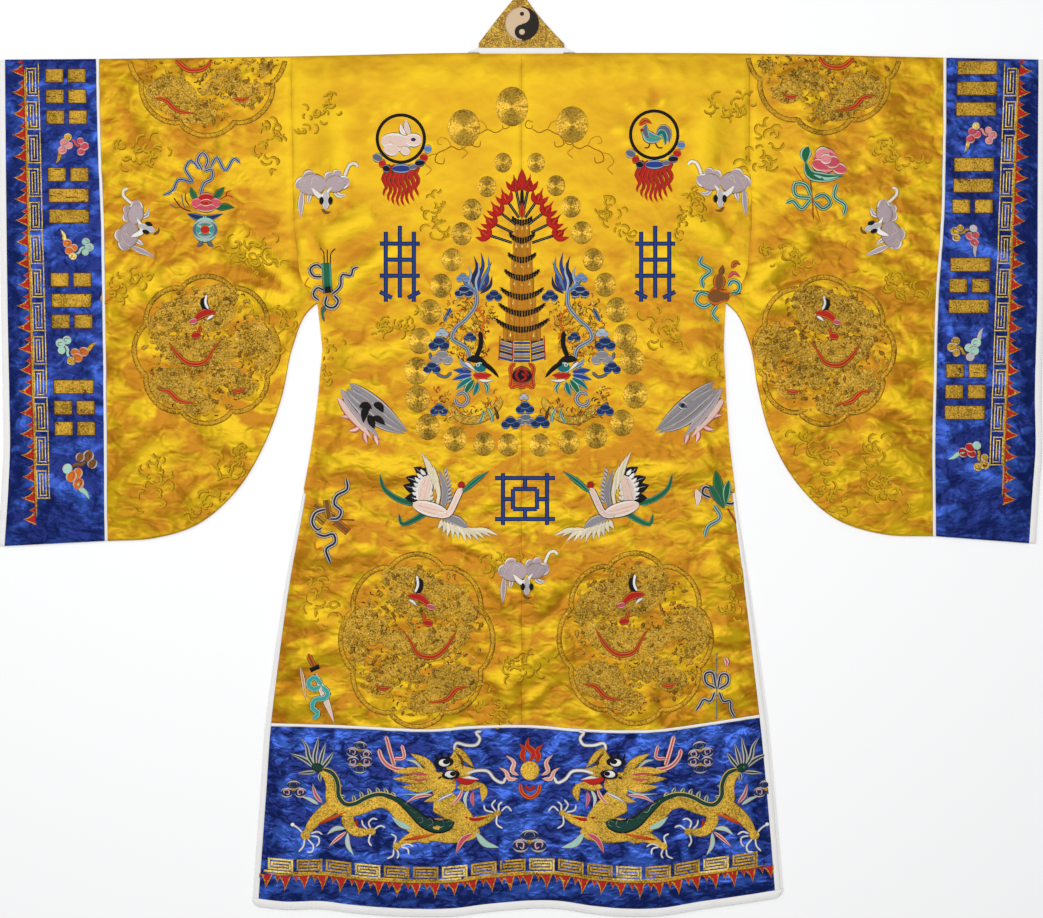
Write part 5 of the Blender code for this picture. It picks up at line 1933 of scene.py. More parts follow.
class Needlework:
    """Strips of one group, gathered and made into one mesh."""

    def __init__(self, seed=1):
        self.chance = np.random.default_rng(seed)
        self.plans = []
        self.lifts = []
        self.colours = []
        self.uvs = []
        self.faces = {}
        self.metal = {}
        self.total = 0
        self.layer = 0
        self.laid = []

    def strip(self, left, right, colour, crown=SEWN_CROWN, shade=None):
        """A raised strip between two plan curves, its colour times shade along it, which the discs give as a
        painted reflection.

        Its section is a low arch, 1 - |t| cubed over t from -1 to 1, and its foot is sunk in the cloth.
        """
        width = np.hypot(*(right - left).T)
        start, end, edge = parse_colour(colour)
        across = int(np.clip(np.ceil(width.max() / ROW_SPACING), 1, MOST_ROWS))
        if edge is not None:
            rim = NARROW_CORE if width.max() < NARROW else WIDE_CORE
            inner = rim - CORE_BLEND
            core = np.linspace(-inner, inner, max(2, int(width.max() * rim / WIDE_SPACING)))
            t = np.concatenate([[-1, -STEEP, -rim - CORE_BLEND], core, [rim + CORE_BLEND, STEEP, 1]])
        else:
            t = np.linspace(-STEEP, STEEP, across) if across > 1 else np.zeros(1)
            t = np.concatenate([[-1], t, [1]])
        base = SEWN_BASE + SEWN_STEP * self.layer
        lift = base + min(crown, 0.3 * width.max()) * (1 - np.abs(t) ** 3)
        lift[[0, -1]] = SEWN_FOOT
        if edge is None and across > OPEN_ROWS:
            t = np.concatenate([t, t[-2:0:-1]])
            lift = np.concatenate([lift, np.full(across, SEWN_FOOT)])
        plan = mix(left[:, None], right[:, None], (t[None, :, None] + 1) / 2)
        count, ring = plan.shape[:2]
        middle = (left + right) / 2
        along = np.concatenate([[0], np.cumsum(np.hypot(*np.diff(middle, axis=0).T))])
        tone = mix(start, end, np.linspace(0, 1, count)[:, None, None])
        if edge is not None:
            tone = mix(tone, edge, (np.abs(t)[None, :, None] > rim).astype(float))
        tone = tone * self.chance.uniform(0.9, 1.1) + np.zeros((count, ring, 3))
        if shade is not None:
            tone = tone * shade[:, None, None]
        r, c = np.meshgrid(np.arange(count - 1), np.arange(ring), indexing="ij")
        a = r * ring + c
        b = r * ring + (c + 1) % ring
        sides = np.stack([a, a + ring, b + ring, b], axis=-1).reshape(-1, 4)
        start_cap = np.arange(ring)[None]
        end_cap = ((count - 1) * ring + np.arange(ring)[::-1])[None]
        forward = middle[1] - middle[0]
        out = right[0] - left[0]
        if forward[0] * out[1] - forward[1] * out[0] > 0:
            sides, start_cap, end_cap = sides[:, ::-1], start_cap[:, ::-1], end_cap[:, ::-1]
        is_metal = colour.split(">")[0].split("|")[-1] in METAL_THREADS
        for group in (sides, np.concatenate([start_cap, end_cap])):
            self.faces.setdefault(group.shape[1], []).append(group + self.total)
            self.metal.setdefault(group.shape[1], []).append(np.full(len(group), is_metal))
        self.plans.append(plan.reshape(-1, 2))
        self.lifts.append(np.broadcast_to(lift, (count, ring)).ravel())
        self.colours.append(tone.reshape(-1, 3))
        v = t[None, :] * width[:, None] / 2
        self.uvs.append(np.stack([np.broadcast_to(along[:, None], v.shape), v], axis=-1).reshape(-1, 2))
        self.total += count * ring

    def sew(self, path, width, colour, profile=even, crown=SEWN_CROWN, spacing=None):
        """A strip along a path in plan, its width times the profile's share of the length.

        Only what lies on the cloth is sewn, a little inside its edge.
        """
        length = path_length(path)
        spacing = spacing or float(np.clip(0.6 * width, LEAST_SPACING, WIDE_SPACING))
        count = int(np.clip(np.ceil(length / spacing) + 1, FEWEST_POINTS, MOST_POINTS))
        if width > NARROW and profile in (oval, leaf, drop):
            count = max(count, ROUND_POINTS)
        crowd = 1.0 if profile is oval else 0.0
        path = spline(path, count, crowd)
        half = np.maximum(width * profile(crowded(count, crowd)), END_WIDTH) / 2
        step = np.gradient(path, axis=0)
        step /= np.maximum(np.hypot(*step.T), 1e-9)[:, None]
        normal = np.stack([-step[:, 1], step[:, 0]], axis=-1)
        least = EDGE_SHARE * half
        room = np.minimum(room_at(path) - EDGE_MARGIN, half)
        aside = normal * np.maximum(room, least)[:, None]
        left, right = path + aside, path - aside
        inside = np.flatnonzero(room > least)
        for run in np.split(inside, np.flatnonzero(np.diff(inside) > 1) + 1):
            if len(run) > 2:
                self.strip(left[run], right[run], colour, crown)

    def draw(self, place, rows, colours=(), base=0, outline="umber", joined=False):
        """The rows of a motif's table, each sewn over the one before and over a dark line round itself.

        The dark line is partly an embroidered outline and partly painted shadow. colours are for the numbered
        ones of the table. Where joined is set, all the dark lines lie below it.
        """
        for row in rows:
            path = place(read_points(row.points))
            width = row.width * UNIT * place.scale
            over = base + ONE_OVER * self.stacked(path, width, row.profile)
            if outline and row.width >= OUTLINED:
                self.layer = base if joined else over
                self.sew(path, width + OUTLINE_WIDTH, outline, row.profile, OUTLINE_CROWN)
            self.layer = over + OUTLINE_RISE
            self.sew(path, width, row.colour.format(*colours), row.profile)
        self.layer = 0

    def stacked(self, path, width, profile):
        """How many strips lie under a new one: one more than the highest that it crosses."""
        count = 12
        path = spline(path, count)
        reach = width * profile(np.linspace(0.02, 0.98, count)) / 2
        level = 0
        if self.laid:
            there, widths, levels = (np.concatenate(part) for part in zip(*self.laid))
            gap = np.hypot(*np.moveaxis(path[:, None] - there[None], -1, 0)) - reach[:, None] - widths[None]
            level = int(np.where((gap < 0).any(axis=0), levels + 1, 0).max())
        self.laid.append((path, reach, np.full(count, level)))
        return level

    def finish(self, name):
        """One mesh of all the strips, laid on the cloth."""
        plan = np.concatenate(self.plans)
        height = cloth_top(plan) + np.concatenate(self.lifts)
        points = np.concatenate([plan, height[:, None]], axis=-1)
        sizes = sorted(self.faces)
        faces = [np.concatenate(self.faces[size]) for size in sizes]
        metal = np.concatenate([np.concatenate(self.metal[size]) for size in sizes])
        colours = np.concatenate(self.colours)
        piece = make_mesh(name, points, faces, per_face=metal, colours=colours, uv=np.concatenate(self.uvs))
        piece.data.materials.append(finish_for("silk thread"))
        piece.data.materials.append(finish_for("gold thread"))
        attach(piece, "root")
        return piece


def parse_colour(text):
    """Start, end and edge colours of a strip: 'red', 'red>gold' along it, 'white|red' with white edges."""
    edge = None
    if "|" in text:
        rim, text = text.split("|")
        edge = np.array(THREADS[rim])
    names = text.split(">")
    start = np.array(THREADS[names[0]])
    end = np.array(THREADS[names[-1]])
    return start, end, edge


# One row of a motif's table, and the profiles that a row may name
Sewn = namedtuple("Sewn", "profile width colour points")
PROFILES = {
    "even": even,
    "leaf": leaf,
    "tail": tail,
    "oval": oval,
    "wedge": wedge,
    "swell": swell,
    "drop": drop,
    "full": full,
}


def rows(text):
    """A motif's table: the profile, width and colour of each strip, and the points that it runs through.

    A row that ends with a comma goes on in the next line.
    """
    found = []
    for line in text.replace(",\n", ",").strip().splitlines():
        profile, width, colour, points = line.split(None, 3)
        found.append(Sewn(PROFILES[profile], float(width), colour, points))
    return found


def circle_path(radius):
    """Points of a closed circle in drawing units."""
    turn = np.linspace(0, 2 * np.pi, 40)
    return radius * np.stack([np.cos(turn), np.sin(turn)], axis=-1)


# Crown of flat strips, such as bars and the pagoda's walls
FLAT_CROWN = 0.0002

# Painted reflection of a disc: its shade where it is darkest, what its painted shine adds, and its hole as a
# share of its radius
COIN_PAINTED_DIM = 0.60
COIN_PAINTED_SHINE = 1.05
COIN_HOLE = 0.04

# The two layers of a flame: shares of the pitch and of the height, colour and small steps up
Flame = namedtuple("Flame", "wide tall colour layer")
FLAMES = (Flame(0.64, 1.06, "ochre", 0), Flame(0.53, 0.97, "red", 4))

# Roundels in drawing units: half width and half height of the drawing, and the room inside its frame
ROUNDEL_HALF = (78, 88)
FRAME_ROOM = (70, 78)

# A roundel's frame: its radius, how much taller than wide it is, and width and colour of the lines laid on it
FRAME_RADIUS = 76
FRAME_TALLER = 1.12
FRAME_LINES = ((5.4, "dark_gold"), (4.2, "ochre"), (0.9, "shade"))

# Square drawing units for each blade and each curl of gold, and the width of the gold under them as a share
BLADE_AREA = 48
CURL_AREA = 42
GROUND_SHARE = 0.84


class Motifs(Needlework):
    """The robe's motifs, sewn from strips."""

    def coin(self, place, radius, squash=1.12):
        """A disc of couched rings, with a painted reflection that shines at both sides and painted shade
        above and below.

        Its painted shade is the darkest one plus a shine times the fourth power of the turn's cosine.
        """
        turn = np.linspace(0, 2 * np.pi, 33)
        circle = np.stack([np.cos(turn), squash * np.sin(turn)], axis=-1)
        shine = COIN_PAINTED_DIM + COIN_PAINTED_SHINE * np.cos(turn) ** 4
        self.strip(place(circle * radius), place(circle * COIN_HOLE * radius), "gold", shade=shine)

    def bars(self, place, rows):
        """Bars of couched gold, each on a dark line: rows of x, y, width and height."""
        for x, y, wide, high in rows:
            for grow, colour, layer in ((1.4, "umber", 0), (0.0, "filigree", 5)):
                self.layer = layer
                ends = [[x - wide / 2 - grow / 2, y], [x + wide / 2 + grow / 2, y]]
                self.sew(place(ends), (high + grow) * UNIT, colour, full, FLAT_CROWN, spacing=0.006)
        self.layer = 0

    def line(self, place, points, width, colour):
        """Straight stitched lines from point to point, each as far past its ends as half its width."""
        points = place(points)
        for start, end in zip(points[:-1], points[1:]):
            reach = (end - start) / max(np.hypot(*(end - start)), 1e-9) * width * UNIT / 2
            self.sew(np.stack([start - reach, end + reach]), width * UNIT, colour, full, spacing=0.012)

    def flames(self, path, pitch, height, flip=1.0):
        """A row of small red flames with gold edges along a path, each with a lower peak behind it."""
        length = path_length(path)
        middle = spline(path, int(round(length / pitch)) + 1)
        step = np.gradient(middle, axis=0)
        step /= np.hypot(*step.T)[:, None]
        out = flip * np.stack([-step[:, 1], step[:, 0]], axis=-1)
        for foot, along, up in zip(middle, step, out):
            high = height * self.chance.uniform(0.9, 1.1)
            for flame in FLAMES:
                self.layer = flame.layer
                width = flame.wide * pitch
                tip = up * high * flame.tall
                base = foot + along * pitch * 0.08
                bend = base + tip * 0.5 + along * pitch * 0.03
                self.sew([base, bend, base + tip], width, flame.colour, spike)
                side = foot - along * pitch * 0.32
                self.sew([side, side + tip * 0.5], width * 0.5, flame.colour, spike)
        self.layer = 0

    def spray(self, place, path, number, length, width, colour, turn):
        """Blades side by side that leave a path at an angle in degrees, like the feathers of a wing.

        length and turn each give two values, for the first and for the last blade.
        """
        roots = spline(read_points(path), number)
        foot = self.layer
        for i, root in enumerate(roots):
            share = i / max(number - 1, 1)
            angle = np.radians(mix(turn[0], turn[1], share) + self.chance.uniform(-3, 3))
            reach = mix(length[0], length[1], share) * self.chance.uniform(0.93, 1.07)
            heading = np.array([np.cos(angle), np.sin(angle)])
            bow = np.array([-heading[1], heading[0]]) * reach * 0.10
            points = place(np.array([root, root + heading * reach * 0.5 + bow, root + heading * reach]))
            size = width * UNIT * place.scale
            self.layer = foot + OUTLINE_RISE * i
            self.sew(points, size + 0.8 * OUTLINE_WIDTH, "umber", leaf, OUTLINE_CROWN)
            self.layer += OUTLINE_RISE
            self.sew(points, size, colour, leaf)
        self.layer = foot

    def roundel(self, row):
        """A lobed frame of couched gold, and in it clumps and fine curls of gold thread that fill the coils.

        The frame is an ellipse whose radius is 0.90 plus 0.10 times a power of the cosine of four turns.
        """
        stretch = (row.half_width / ROUNDEL_HALF[0], row.half_height / ROUNDEL_HALF[1])
        place = Place(row.x, row.y, mirrored=row.mirrored, stretch=stretch)
        turn = np.linspace(0, 2 * np.pi, 161)
        lobe = FRAME_RADIUS * (0.90 + 0.10 * np.abs(np.cos(4 * turn)) ** 0.7)
        ring = np.stack([lobe * np.cos(turn), FRAME_TALLER * lobe * np.sin(turn)], axis=-1)
        for width, colour in FRAME_LINES:
            self.layer += OUTLINE_RISE
            self.sew(place(ring), width * UNIT, colour, full, spacing=0.005)
        for mass in MASSES:
            path = spline(read_points(mass.points), 30)
            area = mass.width * path_length(path)
            self.layer = 0
            self.sew(place(path), GROUND_SHARE * mass.width * UNIT, "filigree", mass.profile)
            self.clumps(place, path, int(area / BLADE_AREA), mass.width * 0.5)
            number = int(area / CURL_AREA)
            self.worms(place, path, number, mass.width * 0.55, 0.9, width=1.5, base=40, room=FRAME_ROOM)
        self.draw(place, COIL_CORE, base=54)

    def clumps(self, place, path, number, reach):
        """Short blades of gold strewn within reach of a path, each turned up to about 75 degrees from it."""
        heading = np.gradient(path, axis=0)
        for _ in range(number):
            i = int(self.chance.integers(0, len(path)))
            angle = np.arctan2(heading[i, 1], heading[i, 0]) + self.chance.uniform(-1.3, 1.3)
            bend = angle + self.chance.uniform(-1.0, 1.0) * np.linspace(0, 1, 4)
            root = path[i] + self.chance.uniform(-1, 1, 2) * reach
            stride = self.chance.uniform(1.4, 3.4)
            blade = root + stride * np.cumsum(np.stack([np.cos(bend), np.sin(bend)], axis=-1), axis=0)
            if within(FRAME_ROOM, blade):
                self.layer = int(self.chance.integers(12, 36))
                colour = str(self.chance.choice(("gold", "filigree", "filigree", "dark_gold", "ochre")))
                self.sew(place(blade), self.chance.uniform(2.6, 5.0) * UNIT, colour, leaf, spacing=0.005)
        self.layer = 0

    def worms(
        self, place, path, number, reach, size=1.0, colours=GOLDS, width=1.7, under=None, base=6, room=None,
    ):
        """Fine short curls of thread, bright and dark, strewn closely within reach of a path, each over a
        painted shadow of colour under.
        """
        for _ in range(number):
            root = path[int(self.chance.integers(0, len(path)))]
            root = root + self.chance.uniform(-1, 1, 2) * reach
            turn = self.chance.uniform(0, 2 * np.pi)
            turn = turn + self.chance.choice([-1.0, 1.0]) * np.linspace(0, 2.6, 5)
            step = size * self.chance.uniform(0.8, 1.9)
            hook = root + step * np.cumsum(np.stack([np.cos(turn), np.sin(turn)], axis=-1), axis=0)
            if within(room, hook):
                self.layer = base + int(self.chance.integers(0, 12))
                # Painted shadow: a strip of the under colour, moved down and to the right of the curl
                if under:
                    self.sew(place(hook + [0.5, -0.6]), (width + 0.5) * UNIT, under, even, 0.00006, 0.004)
                    self.layer += OUTLINE_RISE
                self.sew(place(hook), width * UNIT, str(self.chance.choice(colours)), even, spacing=0.004)
        self.layer = 0


def within(room, points):
    """Whether points lie inside an ellipse of the given half width and half height, where one is given."""
    return room is None or np.hypot(points[:, 0] / room[0], points[:, 1] / room[1]).max() < 1


def column(side, x, drift):
    """Lays points beside a column of a cuff, which leans by drift: x from the column, y from the origin."""

    def lay(points):
        points = np.asarray(points, float)
        along = side.sign * x + drift * (CUFF_LEVEL - points[..., 1]) + points[..., 0]
        return np.stack([along, points[..., 1]], axis=-1) * UNIT

    return lay


def above_hem(points):
    """Lays points over the hem's lower edge: x from the robe's origin, y from the edge."""
    points = np.asarray(points, float)
    x = points[..., 0] * UNIT
    return np.stack([x, hem_edge_y(x) + points[..., 1] * UNIT], axis=-1)


# Bars of the cuffs: height of the top bar of each group, and which bars are solid or broken
Trigram = namedtuple("Trigram", "side y bars")
TRIGRAMS = (
    Trigram("left", 379, "bbb"),
    Trigram("left", 280, "bss"),
    Trigram("left", 175, "bsb"),
    Trigram("left", 68, "sbb"),
    Trigram("right", 387, "sss"),
    Trigram("right", 290, "ssb"),
    Trigram("right", 190, "sbs"),
    Trigram("right", 84, "bbs"),
)

# Parts of a solid and of a broken bar, as x and width in drawing units, and the bars' height and pitch
BAR_PARTS = {"s": ((0.0, 39.0),), "b": ((-11.2, 17.2), (11.2, 17.2))}
BAR_HEIGHT = 13.6
BAR_PITCH = 20.8

# Columns of the cuffs in drawing units: X of the line of flames and of the bars at a level, and their lean
FLAME_COLUMN_X = 497.6
BAR_COLUMN_X = 455.5
CUFF_LEVEL = 380
CUFF_DRIFT = {"left": 0.027, "right": -0.038}

# Ends of the line of flames, the top of the key fret, and how far from the line and short of its foot it lies
FLAMES_TOP = 386
FLAMES_FOOT = {"left": -62, "right": -42}
FRET_TOP = 388
FRET_ASIDE = 15.0
FRET_SHORT = 30

# Borders in drawing units: pitch and height of the flames, and pitch, stretch and line width of the key fret
Border = namedtuple("Border", "flame_pitch flame_height fret_pitch fret_stretch fret_width")
CUFF_BORDER = Border(21.3, 11.5, 33.5, (0.94, 1.0), 1.7)
HEM_BORDER = Border(19.0, 13.5, 29.0, (0.81, 1.04), 2.1)

# Hem border: ends of its line and of its fret, and how high above the edge each lies
HEM_LINE = (-256, 246)
HEM_LINE_Y = 33.0
HEM_FRET = (-254, 228)
HEM_FRET_Y = 36.5

# One turn of a key fret, 31 units long and 12 high: a line that winds inwards
FRET = np.array([
    (-3, 0), (31, 0), (31, 12), (2, 12), (2, 3),
    (28, 3), (28, 9), (5.5, 9), (5.5, 6), (25, 6),
], float)

# Clouds in colour: place on the robe in drawing units, size, turn, mirrored, and three colours
Cloud = namedtuple("Cloud", "x y size turn mirrored colours")
CUFF_CLOUDS = (
    Cloud(-453, 311, 1.0, 0, 0, "pink rose gold"),
    Cloud(-448, 205, 1.0, 180, 1, "orange mint pale_gold"),
    Cloud(-446, 100, 1.1, 150, 0, "orange mint gold"),
    Cloud(-446, -18, 1.3, 60, 0, "orange brown mint"),
    Cloud(454, 322, 1.0, 0, 0, "rose pink pale_gold"),
    Cloud(449, 220, 1.0, 20, 1, "rose gold silver"),
    Cloud(448, 105, 1.1, 180, 0, "mint gold silver"),
    Cloud(450, 4, 1.1, -40, 0, "red gold mint"),
)

# Small clouds of the cuffs, and larger ones of the hem
CLOUD_ROWS = rows("""
    leaf 4.2 {2}  -4 -5, -8 -10, -9 -15, -12 -20
    even 2.4 {1}  3 4, 6 3, 8 -1, 12 -3
    oval 9 silver|{0}  -10 -7, -1 -6
    oval 8 silver|{0}  -3 -3, 5 -1
    oval 9 silver|{0}  -8 0, 1 2
    oval 8 silver|{2}  -4 6, 4 7
    oval 8 silver|{1}  9 -8, 17 -8
    oval 9 silver|{1}  12 -3, 21 -2
    oval 7.5 silver|{1}  9 2, 16 3
    even 1.4 umber  -7 -8, -3 -8, -3 -5, -6 -5
    even 1.4 umber  -5 -1, -1 0, -1 3, -4 3
    even 1.4 umber  11 -10, 15 -9, 15 -6, 12 -7
    even 1.4 umber  15 -4, 18 -3, 18 0, 15 -1
""")
HEM_CLOUD_ROWS = rows("""
    oval 14 silver|navy  -17 -4, -1 -4
    oval 14 silver|navy  1 -4, 17 -4
    oval 13 silver|navy  -9 6, 9 6
    even 1.7 {0}  -12 -6, -13 -1, -6 -1, -7 -7, -10 -5
    even 1.7 {0}  12 -6, 13 -1, 6 -1, 7 -7, 10 -5
    even 1.7 {1}  -5 4, -4 9, 4 9, 5 4, 0 4
    oval 4.6 gold  -3 0, 3 0
""")


def at(row):
    """The place that a row of a table gives in drawing units."""
    return Place(row.x, row.y, row.size, row.turn, row.mirrored)


class ROBE_OT_cuff_work(bpy.types.Operator):
    """Sew the cuffs' flames, key frets, bars and clouds"""

    bl_idname = "robe.cuff_work"
    bl_label = "Cuff Needlework"

    def execute(self, context):
        border = CUFF_BORDER
        for side in (LEFT, RIGHT):
            work = Motifs(seed=5)
            foot = FLAMES_FOOT[side.name]
            edge = column(side, FLAME_COLUMN_X, CUFF_DRIFT[side.name])
            inner = column(side, BAR_COLUMN_X, CUFF_DRIFT[side.name])
            line = np.stack([np.zeros(24), np.linspace(FLAMES_TOP, foot, 24)], axis=-1)
            work.flames(edge(line), border.flame_pitch * UNIT, border.flame_height * UNIT, side.sign)
            work.sew(edge(line - [side.sign * 1.4, 0]), 2.2 * UNIT, "gold")
            work.sew(edge(line), 1.3 * UNIT, "red")
            for top in np.arange(FRET_TOP, foot + FRET_SHORT, -border.fret_pitch):
                turned = [[side.sign * (y - FRET_ASIDE), top - x] for x, y in FRET * border.fret_stretch]
                work.line(edge, np.array(turned), border.fret_width, "pale_gold")
            for row in TRIGRAMS:
                if row.side == side.name:
                    for i, bar in enumerate(row.bars):
                        y = row.y - i * BAR_PITCH
                        work.bars(inner, [(x, y, wide, BAR_HEIGHT) for x, wide in BAR_PARTS[bar]])
            for row in CUFF_CLOUDS:
                if row.x * side.sign > 0:
                    work.draw(at(row), CLOUD_ROWS, row.colours.split())
            work.finish("cuff_work_" + side.name)
        return {"FINISHED"}


class ROBE_OT_hem_border(bpy.types.Operator):
    """Sew the key fret and the flames along the hem"""

    bl_idname = "robe.hem_border"
    bl_label = "Hem Border"

    def execute(self, context):
        work = Motifs(seed=6)
        border = HEM_BORDER
        line = np.stack([np.linspace(*HEM_LINE, 90), np.full(90, HEM_LINE_Y)], axis=-1)
        work.flames(above_hem(line), border.flame_pitch * UNIT, border.flame_height * UNIT, -1.0)
        work.sew(above_hem(line + [0, 1.6]), 2.2 * UNIT, "gold")
        work.sew(above_hem(line), 1.4 * UNIT, "red")
        for number, left in enumerate(np.arange(*HEM_FRET, border.fret_pitch)):
            gold = ("pale_gold", "light_gold", "gold")[number % 3]
            turned = FRET * border.fret_stretch + [left, HEM_FRET_Y]
            work.line(above_hem, turned, border.fret_width, gold)
        work.finish("hem_border_work")
        return {"FINISHED"}


# Couched discs: centre of the left and of the right one of each pair, and their radius
Coin = namedtuple("Coin", "left_x left_y right_x right_y radius")
COINS = (
    Coin(-18.5, 292, 14.5, 292, 9),
    Coin(-34.5, 268, 34.5, 269, 9.5),
    Coin(-49.5, 245, 49.5, 248, 10),
    Coin(-59.5, 221, 60.5, 222, 10.5),
    Coin(-69.5, 195, 71.5, 195, 10.5),
    Coin(-80.5, 169, 83.5, 170, 11),
    Coin(-91.5, 143, 95.5, 145, 11.5),
    Coin(-101.5, 114, 103.5, 118, 12),
    Coin(-104.5, 84, 110.5, 94, 12.5),
    Coin(-103.5, 56, 113.5, 60, 12.5),
    Coin(-93.5, 28, 100.5, 32, 12),
    Coin(-66.5, 16, 74.5, 19, 11.5),
    Coin(-37.5, 11, 47.5, 13, 11),
    Coin(-13.5, 10, 18.5, 10, 10.5),
    Coin(-57.5, 327, 50.5, 330, 16.5),
)

# The disc at the top of the ring: its centre, radius and squash
TOP_COIN_AT = (-9.5, 348)
TOP_COIN_RADIUS = 16.5
TOP_COIN_SQUASH = 1.22

# Curls round the top discs: a tone darker than the cloth
SCROLL_ROWS = rows("""
    even 1.3 shade  -10 10, -16 12, -18 6, -12 4, -11 8
    even 1.3 shade  -12 4, -4 0, 4 3, 10 0, 18 -4, 20 -12, 12 -14, 11 -8
    even 1.3 tan  18 -4, 26 -6, 30 -14, 24 -20, 30 -26
    even 1.3 tan  4 3, 8 10, 16 12, 18 6, 13 5
""")
Scroll = namedtuple("Scroll", "x y mirrored")
SCROLLS = (Scroll(-66, 305, 1), Scroll(62, 306, 0), Scroll(-30, 322, 1), Scroll(22, 322, 0))

# Drawings whose points are given from the robe's own origin
ROBE = Place(0, 0)


class ROBE_OT_coins(bpy.types.Operator):
    """Sew the pointed ring of couched gold discs on the back"""

    bl_idname = "robe.coins"
    bl_label = "Gold Discs"

    def execute(self, context):
        work = Motifs(seed=7)
        for row in COINS:
            work.coin(Place(row.left_x, row.left_y), row.radius)
            work.coin(Place(row.right_x, row.right_y), row.radius)
        work.coin(Place(*TOP_COIN_AT), TOP_COIN_RADIUS, TOP_COIN_SQUASH)
        for row in SCROLLS:
            work.draw(Place(row.x, row.y, mirrored=row.mirrored), SCROLL_ROWS)
        work.finish("gold_discs")
        return {"FINISHED"}


# The pagoda: height of the tips of each eave, how far it sags between them, its half width and the wall's
Eave = namedtuple("Eave", "y sag half wall")
EAVES = (
    Eave(238, 4, 10.4, 8),
    Eave(222, 6, 13.2, 9.5),
    Eave(202, 5.5, 14.4, 11),
    Eave(185.5, 7, 18, 12.5),
    Eave(167.5, 8, 22.2, 14.5),
    Eave(152, 9, 24, 17),
    Eave(137, 10, 28, 19.5),
)
PAGODA_X = 0.5
PAGODA_FOOT_Y = 114
SPIRE_ROWS = rows("""
    leaf 3 black  0 236, 0 262, 0 274
    leaf 8 red  0 264, 0 274, 0 286
    leaf 4.5 red  -1 266, -6 272, -7 277
    leaf 4.5 red  1 266, 6 272, 7 277
    leaf 5.5 orange|red  0 237, 0 244, 0 252
""")

# Spears of one side of the pagoda: head and foot from its middle
Spear = namedtuple("Spear", "head_x head_y foot_x foot_y")
SPEARS = (
    Spear(7, 270, 1.5, 243),
    Spear(17, 257, 3, 237),
    Spear(25.5, 245, 6, 230),
    Spear(32, 233, 9, 222),
    Spear(37.5, 221, 10, 212),
)
SPEAR_ROWS = rows("""
    oval 7 red  0 -6, 0 4
    wedge 5 red  0 -2, 0 4, 0 9
    leaf 4.6 red  2 -5, -4 -2, -7 4
    leaf 4.6 red  -2 -5, 4 -2, 7 4
    leaf 1.4 orange  0 -4, 0 4
""")

# Stripes of the walls, slanting and level bands of the striped foot, and X of its posts from its middle
WALL_STRIPES = ("gold", "umber", "amber", "brown")
SLANTING_BANDS = ("navy", "grey", "blue", "slate")
LEVEL_BANDS = ("blue", "grey", "slate")
POSTS_X = (-22, -9, 9, 22)


class ROBE_OT_pagoda(bpy.types.Operator):
    """Sew the pagoda with its spears and its striped foot"""

    bl_idname = "robe.pagoda"
    bl_label = "Pagoda"

    def execute(self, context):
        work = Motifs(seed=8)
        x = PAGODA_X
        feet = [row.y - row.sag for row in EAVES[1:]] + [PAGODA_FOOT_Y]
        for row, foot in zip(EAVES, feet):
            work.layer = 0
            self.storey(work, x, row, foot)
            share = np.linspace(-1, 1, 9)
            curve = np.stack([x + row.half * share, row.y - row.sag * (1 - share**2)], axis=-1)
            work.layer = 12
            work.sew(ROBE(curve - [0, 2.0]), 5.0 * UNIT, "dark_gold", oval_end, FLAT_CROWN / 2)
            work.layer = 30
            work.sew(ROBE(curve[[0, 1, 2]]), 2.0 * UNIT, "black", oval_end, FLAT_CROWN)
            work.sew(ROBE(curve[[-1, -2, -3]]), 2.0 * UNIT, "black", oval_end, FLAT_CROWN)
            for tile in np.linspace(-0.9, 0.9, int(row.half * 0.62) + 2):
                tile_x = x + row.half * tile
                top = row.y + 1.2 - row.sag * (1 - tile**2)
                low = [x + row.half * tile * 0.93, top - 6.4 + 1.6 * abs(tile)]
                work.sew(ROBE([[tile_x, top], low]), 1.9 * UNIT, "black", full)
        work.layer = 14
        for side in (-1, 1):
            for row in SPEARS:
                near = np.array([x + side * row.foot_x, row.foot_y])
                head = np.array([x + side * row.head_x, row.head_y])
                lean = np.degrees(np.arctan2(near[0] - head[0], head[1] - near[1] + 14))
                for width, colour in ((2.8, "black"), (0.9, "silver")):
                    work.sew(ROBE([near, head]), width * UNIT, colour, full)
                    work.layer += 2
                work.draw(Place(head[0], head[1], 1.22, lean), SPEAR_ROWS, outline=None)
                work.layer = 14
        work.draw(Place(x, 0), SPIRE_ROWS)
        self.foot(work, x)
        work.finish("pagoda_work")
        return {"FINISHED"}

    def storey(self, work, x, row, foot):
        """Orange and brown stripes of a storey's wall, with a row of yellow windows under its eave."""
        top = row.y - row.sag
        work.sew(ROBE([[x, top], [x, foot]]), 2 * row.wall * UNIT, "amber", full, FLAT_CROWN)
        work.layer = 4
        for i, share in enumerate(np.linspace(-0.86, 0.86, max(4, int(row.wall * 0.8)))):
            colour = WALL_STRIPES[i % 4]
            edge = x + row.wall * share
            work.sew(ROBE([[edge, top], [edge + share, foot]]), 1.5 * UNIT, colour, full)
        work.layer = 8
        for share in np.linspace(-0.6, 0.6, 3):
            edge = x + row.wall * share
            work.sew(ROBE([[edge, top - 9], [edge, top - 4]]), 2.6 * UNIT, "pale_gold", wedge)

    def foot(self, work, x):
        """The striped foot: slanting bands at both sides, level ones between them, and red posts."""
        for i in range(7):
            y = PAGODA_FOOT_Y + 0.5 - 3.0 * i
            for side in (-1, 1):
                ends = [[x + side * 9, y - 2.4], [x + side * (21 + 0.4 * i), y + 1.2]]
                work.sew(ROBE(ends), 2.4 * UNIT, SLANTING_BANDS[i % 4], full)
            ends = [[x - 8, y - 2.6], [x + 8, y - 2.6]]
            work.sew(ROBE(ends), 2.4 * UNIT, LEVEL_BANDS[i % 3], full)
        work.layer = 10
        for post in POSTS_X:
            work.sew(ROBE([[x + post, 119], [x + post * 1.05, 95]]), 1.6 * UNIT, "red", full)
        work.layer = 0


def oval_end(share):
    """Full width with both ends drawn out thin."""
    return np.clip(np.minimum(share, 1 - share) * 5, 0.25, 1)


